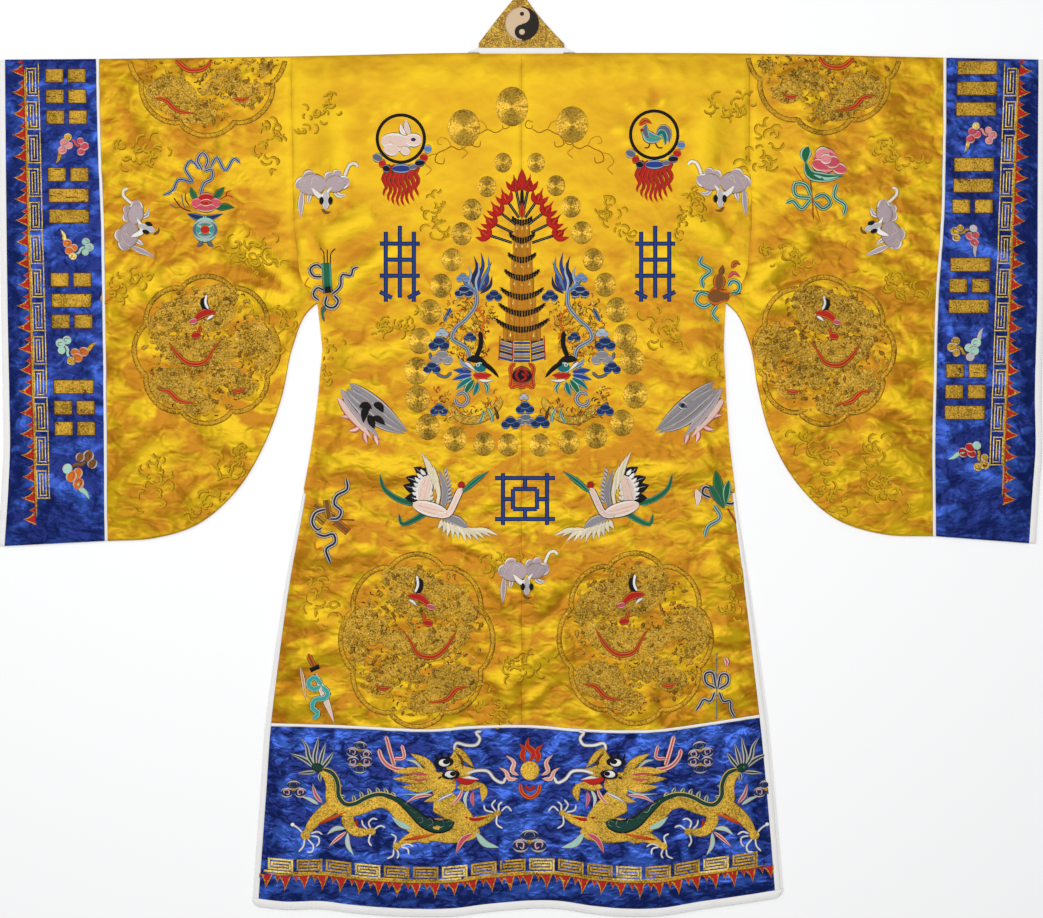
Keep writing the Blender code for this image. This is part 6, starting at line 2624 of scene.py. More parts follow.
# A dragon of the hem band, from its tail to its whiskers
HEM_DRAGON = rows("""
    leaf 5 silver|pine  93 21, 105 31, 120 37
    leaf 5 silver|pine  93 21, 101 34, 103 44, 109 53
    leaf 5 silver|pine  93 21, 95 33, 93 44, 91 54
    leaf 5 silver|pine  91 21, 88 34, 84 48
    leaf 5 silver|pine  89 21, 81 31, 76 39
    leaf 4 silver|pine  92 19, 102 18, 113 17
    leaf 4 silver|pine  89 18, 90 14, 89 8
    tail 15 light_gold  76 -15, 88 -24, 97 -33, 105 -45
    tail 13 light_gold  63 -23, 61 -33, 54 -41, 37 -41
    tail 13 light_gold  -22 -47, -5 -46, 6 -51, 14 -58
    tail 14 light_gold  -46 -37, -62 -33, -76 -29, -88 -23
    oval 10 light_gold  109 -44, 99 -45
    oval 8 light_gold  43 -41, 34 -41
    oval 8 light_gold  17 -55, 10 -56
    oval 7 light_gold  -84 -23, -91 -22
    swell 17 light_gold  88 21, 82 13, 79 3, 79 -8, 73 -17, 62 -20, 48 -16,
        30 -9, 17 -13, 9 -22, 0 -32, -12 -42, -30 -47
    oval 25 light_gold  -4 -38, -70 -42
    even 24 light_gold  -56 -46, -53 -32, -43 -19, -24 -9
    oval 9 black|pine  98 25, 86 21
    even 5.4 pale_gold|pine  88 22, 77 17, 72 7, 71 -6, 64 -14, 54 -13, 45 -8, 32 -4, 18 -6, 8 -12
    drop 19 black|pine  31 -4, 12 -9, -2 -20, -14 -31, -27 -36, -45 -32
    even 1.4 silver  6 -12, 1 -15, -3 -21, -8 -21
    even 1.4 silver  -6 -28, -11 -26, -13 -31, -9 -32
    even 1.4 silver  -17 -29, -21 -28, -23 -33, -18 -35
    even 1.4 silver  -27 -31, -32 -29, -34 -35, -29 -37
    even 1.6 mint  -36 -32, -40 -30, -42 -34, -38 -36
    leaf 3.6 red>orange  92 -34, 77 -27, 62 -21
    leaf 3 red  53 -29, 53 -34, 51 -37
    leaf 3.4 red>orange  6 -49, -12 -46, -29 -42
    leaf 3.4 red  -54 -26, -64 -29, -79 -26
    leaf 5 silver|rose  87 -13, 94 -4, 97 7
    leaf 4 silver|mint  91 -14, 101 -8, 108 -6
    leaf 5 silver|mint  64 -38, 74 -38, 83 -44
    leaf 4 blush|rose  63 -41, 71 -47, 81 -56
    leaf 5 silver|mint  62 -42, 62 -54, 56 -65
    leaf 6 silver|mint  -2 -38, 8 -34, 18 -26
    leaf 6 blush|rose  -63 -43, -53 -49, -46 -63
    leaf 7 silver|mint  -66 -42, -75 -53, -89 -57
    even 2 silver|white  107 -42, 112 -37, 117 -34
    even 2 silver|white  105 -48, 106 -55, 111 -61
    even 2 silver|white  102 -48, 96 -56, 98 -61, 103 -61
    even 2 silver|white  99 -45, 91 -47, 91 -53, 94 -56
    even 2 silver|white  99 -43, 92 -41, 87 -44
    oval 4 white  119 -34, 115 -34
    even 2 silver|white  42 -39, 47 -34, 48 -29
    even 2 silver|white  39 -38, 41 -32, 37 -28, 32 -29
    even 2 silver|white  36 -39, 29 -35, 24 -37
    even 2 silver|white  39 -43, 41 -51, 38 -56
    even 2 silver|white  16 -54, 14 -46, 19 -43
    even 2 silver|white  16 -58, 17 -65, 23 -68
    even 2 silver|white  13 -58, 11 -64, 13 -68
    even 2 silver|white  9 -56, 2 -58, 1 -64
    even 2 silver|white  9 -55, 1 -53, -4 -56
    even 2 silver|white  -84 -22, -75 -19, -74 -14
    even 2 silver|white  -86 -21, -82 -14, -86 -9
    even 2 silver|white  -89 -21, -89 -14, -93 -11
    even 2 silver|white  -91 -21, -97 -16, -102 -21
    even 2 silver|white  -87 -24, -87 -34, -93 -38
    even 4.4 blush|rose  4 21, 15 22, 23 26, 29 34, 31 42
    even 4.4 blush|rose  15 24, 19 37, 24 55
    even 3.6 blush|rose  16 32, 6 33, 8 46
    leaf 9 light_gold  -27 16, -16 28, -1 37
    leaf 3.4 silver|mint  -13 22, -5 29, 4 31
    leaf 10 light_gold  -28 14, -8 19, 17 19
    leaf 10 light_gold  -28 11, -8 11, 17 12
    leaf 10 light_gold  -29 7, -12 3, 8 4
    even 1.1 brown  -26 14, -14 22, -5 32
    even 1.1 brown  -27 9, -10 14, 10 17
    even 1.1 brown  -28 7, -10 7, 10 9
    leaf 2.4 rose  -19 16, -8 17, 5 17
    leaf 2.4 rose  -19 12, -8 11, 1 12
    leaf 3 sky|mint  -29 3, -12 -3, 8 -3
    leaf 4 blush|rose  -23 -4, -7 -6, 4 -12
    oval 20 light_gold  -19 13, -46 3
    leaf 16 light_gold  -22 3, -37 -6, -52 -13
    leaf 8 light_gold  -37 3, -27 -7, -14 -11
    leaf 3 sky|white  -44 -2, -33 -7, -25 -12
    leaf 4 blush|rose  -53 2, -49 -7, -41 -15
    leaf 3.4 white|mint  -59 1, -55 -8, -57 -18
    leaf 5 violet|rose  -63 -1, -62 -8, -64 -17
    leaf 10 light_gold  -47 3, -62 5, -75 6
    leaf 8 light_gold  -71 7, -74 -1, -72 -11
    leaf 8 red  -46 12, -57 9, -69 12
    leaf 3 white  -49 14, -59 13, -69 11
    leaf 14 light_gold  -37 28, -53 19, -67 21
    leaf 13 light_gold  -37 21, -46 31, -47 44
    leaf 7 light_gold  -47 43, -56 32, -64 23
    leaf 3 red>orange  -48 22, -45 15, -43 7
    leaf 2.4 umber  -46 38, -52 31, -53 22
    even 3.4 silver|white  -44 40, -46 47, -57 45, -67 46, -70 52, -66 58, -72 59
    even 3.4 silver|white  -56 17, -68 20, -78 19, -85 11, -93 8, -96 14
    oval 11 black  -25 28, -44 29
    oval 8 white  -29 28, -40 28
    oval 5.4 black  -33 29, -40 29
    leaf 2 black  -27 31, -25 37
    leaf 2 black  -32 33, -32 38
    leaf 2 black  -38 33, -40 38
    oval 10 black  -32 15, -50 17
    oval 7.4 white  -35 16, -46 17
    oval 5.2 black  -40 17, -46 17
    leaf 2 black  -33 19, -30 23
    leaf 2 black  -32 14, -28 12
""")

# The flaming pearl between the hem's dragons
PEARL = rows("""
    oval 20 light_gold  9.5 0, -9.5 0
    leaf 5.4 orange|red  -4 8, -8 15, -6 21, -11 27
    leaf 6.4 orange|red  -1 9, 4 17, -3 25, -1 33
    leaf 5.4 orange|red  5 8, 9 14, 7 19, 13 26
    leaf 5 blush|pink  11 -5, 18 -1, 16 8, 23 16
    leaf 5 blush|pink  12 -8, 21 -8, 24 -1, 30 3
    leaf 5 blush|pink  -11 -5, -18 -1, -16 8, -24 15
    leaf 5 blush|pink  -12 -8, -21 -8, -24 -1, -31 3
    even 4 orange|red  -10 -13, -8 -22, 0 -27, 8 -22, 10 -13
    even 2.6 red  -4 -14, -3 -18, 0 -19, 3 -18, 4 -14
    even 1.2 gold  -5 -3, -6 3, 0 7, 6 3, 4 -4, -2 -5
""")

# A rising dragon beside the pagoda's foot
RISING_DRAGON = rows("""
    even 8 gold  -22 -55, -8 -69, 11 -69, 28 -55, 31 -47
    leaf 5 ochre  -2 48, 2 36, 10 26, 20 30
    leaf 5 ochre  -8 26, 2 16, 12 8, 16 -4
    even 2.2 orange  6 42, 14 30, 12 20, 16 10
    even 2.2 orange  -10 -2, -2 -8, -8 -16
    even 3.6 pale_blue|slate  5 66, 6 45, -5 30, -15 21, -18 12, -3 1, 0 -13
    leaf 3.4 navy  8 58, 3 70, 7 82, 4 94
    leaf 3 pale_blue  7 58, -1 66, 1 76, -2 84
    leaf 3 sky  6 58, -4 66, -9 74
    leaf 3.6 blue  9 58, 9 72, 13 84, 11 98
    leaf 3.4 blue  10 58, 17 68, 17 78, 22 88
    leaf 3 sky  9 58, 14 72, 19 82, 18 94
    leaf 2.6 pale_blue  8 56, 6 68, 9 78, 8 88
    leaf 3 navy  10 56, 20 64, 22 74
    even 3.4 sky|navy  -19 42, -26 28
    even 2.4 slate  -40 -2, -39 -10
    even 2.4 slate  -34 -24, -24 -27, -18 -22
    leaf 4 pale_blue|sky  0 -18, -8 -13, -10 -8
    leaf 6 sky|blue  2 -22, -8 -21, -17 -20
    leaf 6 pale_blue|blue  2 -25, -8 -27, -18 -30
    leaf 6 mint|teal  2 -28, -8 -34, -14 -40
    leaf 7 mint|green  4 -30, -2 -38, -6 -46
    leaf 6 mint|teal  8 -32, 6 -40, 3 -46
    leaf 4 mint|green  14 -32, 18 -38, 16 -44
    leaf 7 black  -4 -10, 6 -9, 18 -14
    even 4 black  10 19, 11 6, 6 -8
    oval 12 mint|teal  4 -17, 16 -19
    leaf 8 orange|red  3 -25, 12 -26, 22 -25
    leaf 3 white  8 -30, 16 -31, 24 -30
    tail 4.4 black  12 -13, 20 -18, 26 -24, 29 -28
    leaf 3.4 white  -5 -12, 0 -16, 5 -21
    oval 4 white  6 -15, 10 -15
    oval 2 black  7 -15, 9 -15
    even 3.4 silver|slate  -14 -46, -8 -42, -2 -48, -6 -55, -13 -54, -15 -48
    even 2.4 mint|teal  18 -58, 22 -66, 22 -73
    even 2.4 mint|teal  14 -60, 12 -68, 8 -74
    even 2.4 umber  24 -56, 27 -64, 28 -70
""")

# Red cords and a dark disc under the pagoda
CENTRE_KNOTS = rows("""
    even 3.8 orange|red  -6 92, -11 88, -10 76, -12 66
    even 3.8 orange|red  6 92, 11 88, 10 76, 12 66
    even 3.8 orange|red  -12 66, -5 70, 0 68, 5 70, 12 66
    oval 19 brick|black  -10 79, 10 79
    even 2.6 red  7 79, 0 86, -6 80, -2 74, 4 77, 1 81, -2 79
""")

# A crane: what lies under its feathers
CRANE = rows("""
    tail 6 sea|green  -25 1, -42 6, -56 17, -60 31
    tail 6 sea|green  -12 -6, -26 -15, -38 -19, -41 -8
    leaf 10 black  -11 28, -18 33, -26 38
    leaf 10 black  -18 21, -26 25, -34 28
    leaf 10 black  -20 14, -28 17, -37 20
    leaf 10 black  -20 6, -28 7, -35 7
    leaf 1.6 white  -17 32, -21 34, -24 37
    leaf 1.6 white  -24 24, -28 26, -32 27
    leaf 1.6 white  -26 17, -30 18, -34 19
    oval 17 white|blush  -18 1, -16 14, -12 29
    even 0.9 umber  -21 4, -18 16, -14 27
    even 0.9 umber  -17 2, -14 14, -11 26
    even 0.9 umber  -13 1, -11 12, -9 22
    leaf 4 cream  -9 24, -12 38, -19 54
    leaf 4 cream  -7 20, -9 36, -15 50
    leaf 4 cream  -5 14, -6 30, -11 45
    leaf 4 cream  -3 10, -3 26, -7 40
    leaf 7 silver|grey  2 -8, 5 14, -1 36
    leaf 4 cream  -4 -6, -1 12, -4 32
""")

# A bat, which is pale and curled up
BAT = rows("""
    even 3.4 cream|white  22 8, 25 18, 29 25, 34 26, 37 22
    leaf 6 white|mauve  -19 0, -20 -12, -21 -29
    leaf 5 white|mauve  -12 0, -12 -8, -14 -14
    leaf 5 white|mauve  12 0, 18 -6, 25 -5
    oval 14 white|mauve  -25 2, -13 10
    oval 15 cream|mauve  -18 10, -6 15
    oval 12 white|mauve  5 9, 12 16
    oval 11 cream|mauve  12 13, 20 17
    oval 14 white|mauve  14 4, 28 10
    oval 22 mauve  -23 4, 5 6
    oval 17 mauve  4 4, 24 7
    even 1 silver  -19 2, -13 11, -6 14
    even 1 cream  -14 0, -8 8, 0 11
    even 1 cream  -20 -2, -18 6, -11 13
    even 1 silver  8 6, 13 13, 18 14
    even 1 cream  14 2, 18 8, 24 10
    even 1.2 cream  -22 4, -20 10, -15 8
    even 1.2 cream  -10 4, -8 12, -2 10
    even 1.2 silver  -16 -2, -6 2, 2 0
    leaf 6 cream|white  -10 2, 0 -7, 11 3
    oval 8 white|silver  4.5 -1, 4.5 -20
    oval 4.6 black  0.5 -7, 0.5 -15
    oval 4.6 black  9 -7, 9 -15
    leaf 2.4 brown  0 -19, 5 -23, 10 -22
""")

# A grey leaf with a pink edge
GREY_LEAF = rows("""
    leaf 5 pink|blush  -14 -8, -22 -6, -30 -5
    leaf 5 pink|blush  -10 -16, -16 -19, -22 -20
    leaf 5 pink|blush  -6 -20, -5 -27, -3 -33
    leaf 5 pink|blush  4 -22, 6 -29, 8 -35
    leaf 10 pink|blush  -33 14, -22 0, -10 -14, 2 -28
    leaf 11 silver|mauve  -30 22, -18 6, -4 -12, 9 -28
    leaf 14 silver|grey  -26 20, -8 4, 14 -14, 35 -23
    leaf 14 silver|grey  -21 28, -4 14, 16 -2, 37 -20
    leaf 11 silver|grey  -24 22, -6 9, 14 -8, 36 -21
    even 1 umber  -19 24, -4 13, 16 -4, 34 -19
    even 1 slate  -22 20, -6 7, 14 -9, 34 -20
    even 1 umber  -24 16, -9 2, 12 -14, 32 -22
    even 1 cream  -17 24, -2 15, 17 0, 33 -15
    even 1 slate  -26 16, -14 0, -2 -14, 7 -24
    even 1 cream  -22 17, -7 4, 12 -11, 30 -21
    even 1 umber  -28 12, -18 -2, -6 -17
""")

# Marks sewn over the two leaves
LEAF_MARK = rows("""
    leaf 7 black  0 6, -5 0, -7 -12
    leaf 6 black  -11 4, -4 6, 2 2
    leaf 7 black  3 7, 9 5, 13 -2
    leaf 7 black  -2 -4, 1 -10, 4 -18
    leaf 6 black  2 -6, 8 -8, 15 -14
""")
LEAF_EYE = rows("""
    oval 7 white|slate  -6 6, 1 3
    oval 3.4 black  -4 5, -1 4
""")

# A crane: what lies over its feathers
CRANE_BODY = rows("""
    leaf 10 silver|grey  4 -12, 17 -16, 30 -25
    oval 15 white|blush  -27 1, -10 -4, 8 -9
    even 6.6 white|blush  -4 -10, 8 -9, 14 1, 18 10, 22 18
    even 0.9 umber  -22 0, -8 -4, 4 -7
    even 0.9 umber  -18 -5, -8 -8, 4 -11
    even 0.9 umber  6 -9, 12 -3, 16 6
    leaf 5 sea|green  22 12, 34 23, 49 34
    oval 6 red  18 19, 25 21
    oval 1.8 black  21 15, 23 15
""")

# What the moon and the sun show, and the clouds at the foot of their rings
MOON = rows("""
    oval 19 white|blush  -20 -2, 10 -5
    oval 13 white|blush  -17 -9, -2 -13
    oval 9 white|blush  0 -10, 9 -15
    oval 14 white|blush  4 -1, 21 -2
    leaf 6 white|blush  9 3, 6 11, 5 20
    leaf 5 white|blush  5 3, 1 8, 0 15
    oval 4 navy  10 -1, 15 -1
    even 0.9 tan  -12 -2, -4 -8, 2 -8
""")
SUN = rows("""
    leaf 7 silver|slate  2 0, 9 7, 14 3, 15 -9
    leaf 6 mint|teal  2 -2, 8 3, 11 -3, 11 -11
    leaf 12 silver|sea  -11 4, -4 -3, 8 -4
    leaf 7 mint|slate  -6 -4, -9 3, -8 11
    even 1.2 orange  -8 0, -2 -3, 4 -4
    leaf 5 orange|red  -15 9, -9 14, -2 11
    oval 3 red  -13 6, -11 3
    even 1.8 umber  -4 -8, -6 -13, -10 -13
    even 1.8 umber  1 -8, 4 -13, 9 -13
""")
RING_FOOT = rows("""
    oval 9 silver|slate  -28 -17, -19 -21
    oval 8 orange|red  -22 -24, -15 -26
    oval 8 sky|black  -18 -29, -11 -31
    oval 9 pale_blue|blue  -9 -30, 10 -30
    oval 8 silver|sky  23 -10, 31 -11
    oval 8 orange|red  19 -18, 27 -20
    oval 7 sky|black  14 -25, 24 -24
    oval 6 silver|slate  8 -29, 16 -28
""")

# A small cloud of three lobes, and where such clouds lie round a rising dragon and under the pearl
CLOUDLET = rows("""
    oval 10 {0}|{1}  -11 -2, 0 -2
    oval 10 {0}|{1}  0 -2, 11 -2
    oval 9 {0}|{1}  -6 3, 6 3
    even 1.2 {0}  -6 -3, -3 -2, -5 0
    even 1.2 {0}  6 -3, 3 -2, 5 0
""")
Cloudlet = namedtuple("Cloudlet", "x y size rim core")
DRAGON_CLOUDS = (
    Cloudlet(-6, 58, 0.85, "pale_blue", "navy"),
    Cloudlet(24, 54, 0.75, "sky", "navy"),
    Cloudlet(-7, 72, 0.6, "silver", "sky"),
    Cloudlet(-28, 17, 0.6, "silver", "pale_blue"),
    Cloudlet(-31, 6, 0.95, "sky", "navy"),
    Cloudlet(0, 13, 0.6, "sky", "navy"),
    Cloudlet(-28, -8, 1.0, "silver", "grey"),
    Cloudlet(-38, -18, 0.8, "sky", "navy"),
    Cloudlet(-31, -60, 0.8, "sky", "navy"),
)
PEARL_CLOUDS = (
    Cloudlet(2.5, 58, 0.45, "silver", "pale_blue"),
    Cloudlet(3.5, 47, 0.85, "sky", "navy"),
    Cloudlet(4, 35, 0.85, "silver", "slate"),
    Cloudlet(-11, 32, 0.85, "sky", "navy"),
    Cloudlet(19, 33, 0.85, "sky", "navy"),
)

# The treasures
VASE = rows("""
    even 3 pale_blue|navy  -6 34, -15 43, -20 35, -13 22, -27 24, -33 13, -43 8
    even 3 pale_blue|navy  5 36, 11 46, 20 33, 29 45, 35 40
    even 3.4 silver|navy  -3 33, -8 44, -3 51, 2 44, -1 34
    even 3 pale_blue|navy  -2 32, 6 34, 6 25, -1 21, -6 6
    leaf 7 leaf|green  8 4, 13 10, 19 17
    leaf 7 leaf|green  10 -5, 20 -3, 29 -4
    leaf 6 leaf|green  -8 4, -13 10, -15 17
    even 1.5 black  -14 -8, -24 -4, -32 6
    even 1.3 slate  -20 -6, -23 2, -24 10
    even 1.3 slate  -24 -3, -30 -4, -36 0
    even 1.5 black  -16 -2, -20 4, -20 12
    even 1.4 red  14 4, 22 8, 28 6
    even 1.4 red  20 7, 22 12, 26 13
    leaf 7 sky|navy  -19 -10, -1 -15, 18 -10
    oval 11 pink|rose  -14 0, -3 1
    oval 11 pink|rose  4 1, 15 0
    oval 10 pink|red  -7 6, 8 6
    oval 9 blush|rose  -9 -4, 10 -4
    oval 8 blush|red  -5 1, 6 1
    even 1.2 blush  -3 0, 0 3, 4 0, 1 -2
    even 4 silver|sky  -1 -12, -1 -16
    oval 26 mint|slate  -13 -26, 12 -26
    oval 20 silver|sea  -10 -26, 9 -26
    leaf 3 mint  -9 -21, -1 -26, -9 -31
    leaf 3 mint  8 -21, 0 -26, 8 -31
    oval 10 orange|red  -5 -26, 4 -26
    leaf 4 slate  -3 -37, -6 -41, -9 -43
    leaf 4 slate  2 -37, 5 -41, 8 -43
""")
PEONY = rows("""
    even 1.6 orange  -32 23, -14 -6, -5 -33
    even 1.6 brown  -15 9, -13 -10, -12 -31
    even 3.6 mint|green  -14 -10, -24 -20, -33 -12, -40 -15
    even 3.6 mint|green  12 6, 9 -8, 20 -17, 18 -27
    even 3.6 mint|green  -14 -9, -30 -6, -30 5, -20 4, -14 -8
    even 3.6 mint|green  -12 -10, -2 -6, 5 -14, -2 -20, -12 -12
    leaf 11 mint|green  -17 42, -20 34, -20 25
    leaf 10 mint|green  -20 27, -16 15, 0 11, 19 13
    oval 12 blush|rose  7 22, 21 18
    oval 26 pink|rose  -12 28, 12 28
    oval 15 blush|pink  -10 33, 4 36
    oval 14 blush|rose  0 26, 14 27
    oval 13 blush|rose  -13 26, 0 21
    oval 11 white|pink  -5 30, 6 29
    even 1.8 red  -4 30, 0 34, 5 30, 1 26, -2 29
    even 1.4 red  -12 30, -8 22, 2 19
    even 1.4 red  13 30, 10 22, 4 19
    leaf 3 mint  -12 14, 0 10, 14 12
""")
SCROLL = rows("""
    even 4.1 silver|black  -8 2, -18 3, -21 10, -14 14, -9 10
    even 4.1 silver|black  0 -16, 9 -8, 11 4, 20 3, 22 10, 28 11
    even 4.1 silver|black  -4 -14, -14 -9, -18 -16, -12 -22
    even 4.6 silver|black  -4 -16, -6 -26, 2 -29, 7 -22, 2 -16
    full 8.5 sea|green  -5 16, -4 -8
    full 9 slate|black  -4 -8, -3 -14
    full 1.4 black  -7 16, -8 27, -11 31
    full 1.4 black  -4 16, -4 29
    full 1.4 black  -1 16, 0 26, 4 30
    leaf 5 slate|green  -6 -26, -9 -34, -7 -43
    even 1.6 orange  -22 2, -26 -6, -20 -10
""")
GOURD = rows("""
    even 3.8 mint|teal  -13 33, -16 26, -5 18, -14 9, -12 0
    even 3.8 mint|teal  -6 -6, -16 -4, -20 -12, -12 -18, -4 -14
    even 3.8 mint|teal  12 2, 16 8, 23 5, 22 -3, 15 -4
    even 3.2 mint|teal  2 -16, -3 -25, 4 -33
    full 1.6 umber  -23 -2, 25 -5
    oval 20 orange|brown  -8 -7, 14 -8
    oval 12 orange|brown  3 -1, 4 15
    leaf 5 brown  4 13, 6 18, 7 24
    full 1.6 red  -5 -1, 11 -1
    leaf 5 orange|brown  16 20, 20 26, 25 24
    leaf 3 rose  12 10, 18 16, 25 11
""")
CLAPPERS = rows("""
    full 6 tan|brown  -16 12, 4 0
    full 6 tan|brown  -4 17, -1 -2
    full 7 orange|brown  5 -4, 18 -15
    full 5 tan|brown  -18 4, -6 -6
    even 4.6 silver|black  16 39, 17 28, 6 21, 4 13, 11 6, 8 -1, -2 -2
    even 4.6 silver|black  -4 8, -15 4, -18 -6, -12 -13, -8 -10
    even 4.6 silver|black  -15 -16, -6 -19, 3 -17, 5 -25, -4 -32, -2 -40, 1 -47
    full 1.4 brown  -2 -2, 24 -3
    even 2 orange  -16 -24, -14 -32, -8 -30
""")
FAN = rows("""
    even 4.1 silver|black  -4 2, -12 6, -10 12, -3 9
    even 4.1 silver|black  6 -2, 16 -3, 17 6, 9 8
    leaf 9 leaf|green  0 27, 3 10, 8 -8
    leaf 7 mint|green  12 18, 10 8, 9 -5
    leaf 7 slate|green  -6 14, 0 4, 7 -8
    even 3.5 mint|slate  -2 -4, 4 -16, -7 -24, -10 -34
    full 2 brick  11 -8, 19 -21
    leaf 6 white|blush  -18 10, -16 4, -17 -6
""")
SWORD = rows("""
    leaf 4 blush|tan  -18 27, -15 12, -12 -8
    leaf 7 white|blush  -2 20, 6 -2, 16 -30
    even 5 orange|brown  -10 40, -4 26
    full 4 black  -8 23, 1 27
    even 5.4 mint|sea  4 8, -4 16, -10 10, -4 4, 3 8
    even 5.4 mint|sea  3 8, 10 0, 6 -5, -3 -6, -6 -14, 0 -20, -6 -26
""")
KNOTTED = rows("""
    full 1.6 slate  -1 30, -1 -36
    even 4.1 silver|black  -2 -5, -12 1, -12 10, -6 11, -2 -4
    even 4.1 silver|black  0 -5, 4 9, 9 9, 10 1, 0 -6
    even 3.8 silver|black  -3 -8, -8 -18, -14 -16, -18 -22, -22 -28
    even 3.8 silver|black  1 -8, 6 -18, 12 -17, 13 -26, 17 -34
    leaf 5 blush|rose  6 26, 9 22, 8 16
""")

# What each treasure is, and where: place in drawing units, size, turn and mirrored
Treasure = namedtuple("Treasure", "rows x y size turn mirrored")
TREASURES = (
    Treasure(VASE, -315.5, 251, 1, 0, 0),
    Treasure(PEONY, 303.5, 266, 1, 0, 0),
    Treasure(SCROLL, -190, 176, 1, 0, 0),
    Treasure(GOURD, 194, 166, 1, 0, 0),
    Treasure(CLAPPERS, -191, -62, 1, 0, 0),
    Treasure(FAN, 194, -45, 1.1, 0, 0),
    Treasure(SWORD, -203, -238, 1, 0, 0),
    Treasure(KNOTTED, 196, -228, 1, 0, 0),
    Treasure(BAT, -200, 265, 1, 0, 0),
    Treasure(BAT, 203, 267, 1, 0, 1),
    Treasure(BAT, -385, 226, 0.95, 70, 0),
    Treasure(BAT, 362, 227, 0.95, 70, 1),
    Treasure(BAT, 1, -121, 0.95, 0, 0),
    Treasure(GREY_LEAF, -151, 44, 1, 0, 0),
    Treasure(GREY_LEAF, 171, 45, 1, 0, 1),
    Treasure(LEAF_MARK, -151, 44, 1, 0, 0),
    Treasure(LEAF_EYE, 164, 44, 1.2, 0, 0),
)
CRANES = (Treasure(CRANE, -81.5, -50, 1, 0, 0), Treasure(CRANE, 90.5, -50, 1, 0, 1))
# Rows of feathers: their roots, number, lengths, width, colour and angles
FEATHERS = (
    ("-8 36, -7 18, -5 0", 9, (6, 9), 4.0, "cream", (205, 215)),
    ("4 32, 7 16, 7 2", 9, (6, 7), 2.8, "silver", (50, 20)),
    ("-20 2, -21 12, -19 22, -14 30", 8, (7, 8), 4.2, "white", (175, 130)),
    ("2 -14, 14 -19, 29 -25", 11, (11, 29), 4.8, "cream", (250, 350)),
)


class ROBE_OT_treasures(bpy.types.Operator):
    """Sew the cranes, bats, leaves and treasures that lie round the back"""

    bl_idname = "robe.treasures"
    bl_label = "Cranes, Bats and Treasures"

    def execute(self, context):
        work = Motifs(seed=9)
        for row in TREASURES:
            work.draw(at(row), row.rows, outline="dark_gold" if row.rows is BAT else "umber")
        for row in CRANES:
            work.draw(at(row), row.rows)
            work.layer = 2 * ONE_OVER
            for feather in FEATHERS:
                work.spray(at(row), *feather)
            work.draw(at(row), CRANE_BODY, base=4 * ONE_OVER)
        work.finish("treasures_work")
        return {"FINISHED"}


# The two rings on the upper back, and their radius
RINGS = (Treasure(MOON, -120.5, 316, 1, 0, 0), Treasure(SUN, 132.5, 320, 1, 0, 0))
RING_RADIUS = 23.6

# The tassels under each ring: width and colour of the layers of a thread, steps up and shift to the right.
# The orange layer, shifted to the right, is a painted highlight
Thread = namedtuple("Thread", "width colour layer shift")
TASSEL = (Thread(5.6, "umber", 0, 0), Thread(4.6, "red", 4, 0), Thread(1.1, "orange", 9, 1.4))
TASSEL_HALF = 16
TASSEL_TOP = -26
TASSEL_FOOT = -68


class ROBE_OT_rings(bpy.types.Operator):
    """Sew the moon and the sun with their red tassels"""

    bl_idname = "robe.rings"
    bl_label = "Moon and Sun"

    def execute(self, context):
        work = Motifs(seed=10)
        for row in RINGS:
            place = at(row)
            for share in np.linspace(-1, 1, 8):
                foot = TASSEL_FOOT + 10 * share**2
                wave = 1.8 * np.sin(np.arange(8) * 1.9 + 1.2 * share)
                path = np.stack([TASSEL_HALF * share + wave, np.linspace(TASSEL_TOP, foot, 8)], axis=-1)
                for thread in TASSEL:
                    work.layer = thread.layer
                    moved = place(path + [thread.shift, 0])
                    work.sew(moved, thread.width * UNIT, thread.colour, tail)
            work.draw(place, RING_FOOT)
            work.layer = 8
            work.sew(place(circle_path(RING_RADIUS)), 3.3 * UNIT, "black", full, spacing=0.006)
            work.draw(place, row.rows)
        work.finish("moon_and_sun")
        return {"FINISHED"}


# Plain lattices of blue lines: each line's ends in drawing units
TALL_LATTICE = (
    "-20 24, 20 24", "-16 8, 16 8", "-20 -8, 20 -8", "-14 36, -14 -34",
    "0 42, 0 -30", "14 36, 14 -34", "-20 -24, -8 -30", "20 -24, 8 -30",
)
WIDE_LATTICE = (
    "-30 21, 30 21", "-30 -20, 30 -20", "-22 26, -22 -26", "22 26, 22 -26",
    "-12 10, 12 10", "-12 10, -12 -10", "-12 -10, 12 -10", "12 -10, 12 10",
    "0 21, 0 10", "0 -10, 0 -20", "-22 0, -12 0", "12 0, 22 0",
)
Lattice = namedtuple("Lattice", "x y lines")
LATTICES = (
    Lattice(-121.5, 187, TALL_LATTICE),
    Lattice(133.5, 187, TALL_LATTICE),
    Lattice(3.5, -44, WIDE_LATTICE),
)


class ROBE_OT_lattices(bpy.types.Operator):
    """Sew the plain blue lattices on the back"""

    bl_idname = "robe.lattices"
    bl_label = "Blue Lattices"

    def execute(self, context):
        work = Motifs(seed=12)
        for row in LATTICES:
            for i, line in enumerate(row.lines):
                work.layer = i
                work.sew(Place(row.x, row.y)(read_points(line)), 4.4 * UNIT, "navy|blue", full)
        work.finish("lattice_work")
        return {"FINISHED"}


# Gold curls of a rising dragon: the lines that they are strewn along, how many and how far
Curls = namedtuple("Curls", "points number")
DRAGON_CURLS = (
    Curls("-2 56, -8 34, -20 20, -14 0, -4 -10", 110),
    Curls("18 44, 12 26, 2 12, 8 0", 120),
    Curls("-30 -42, -24 -58, 0 -66, 24 -52", 110),
    Curls("-12 50, -22 34, -20 4", 40),
)
CURLS_REACH = 7.5

# Rising dragons in drawing units: X and mirroring of each, and the height of both
RISING_DRAGONS = ((-51.5, False), (52.5, True))
RISING_DRAGON_Y = 105


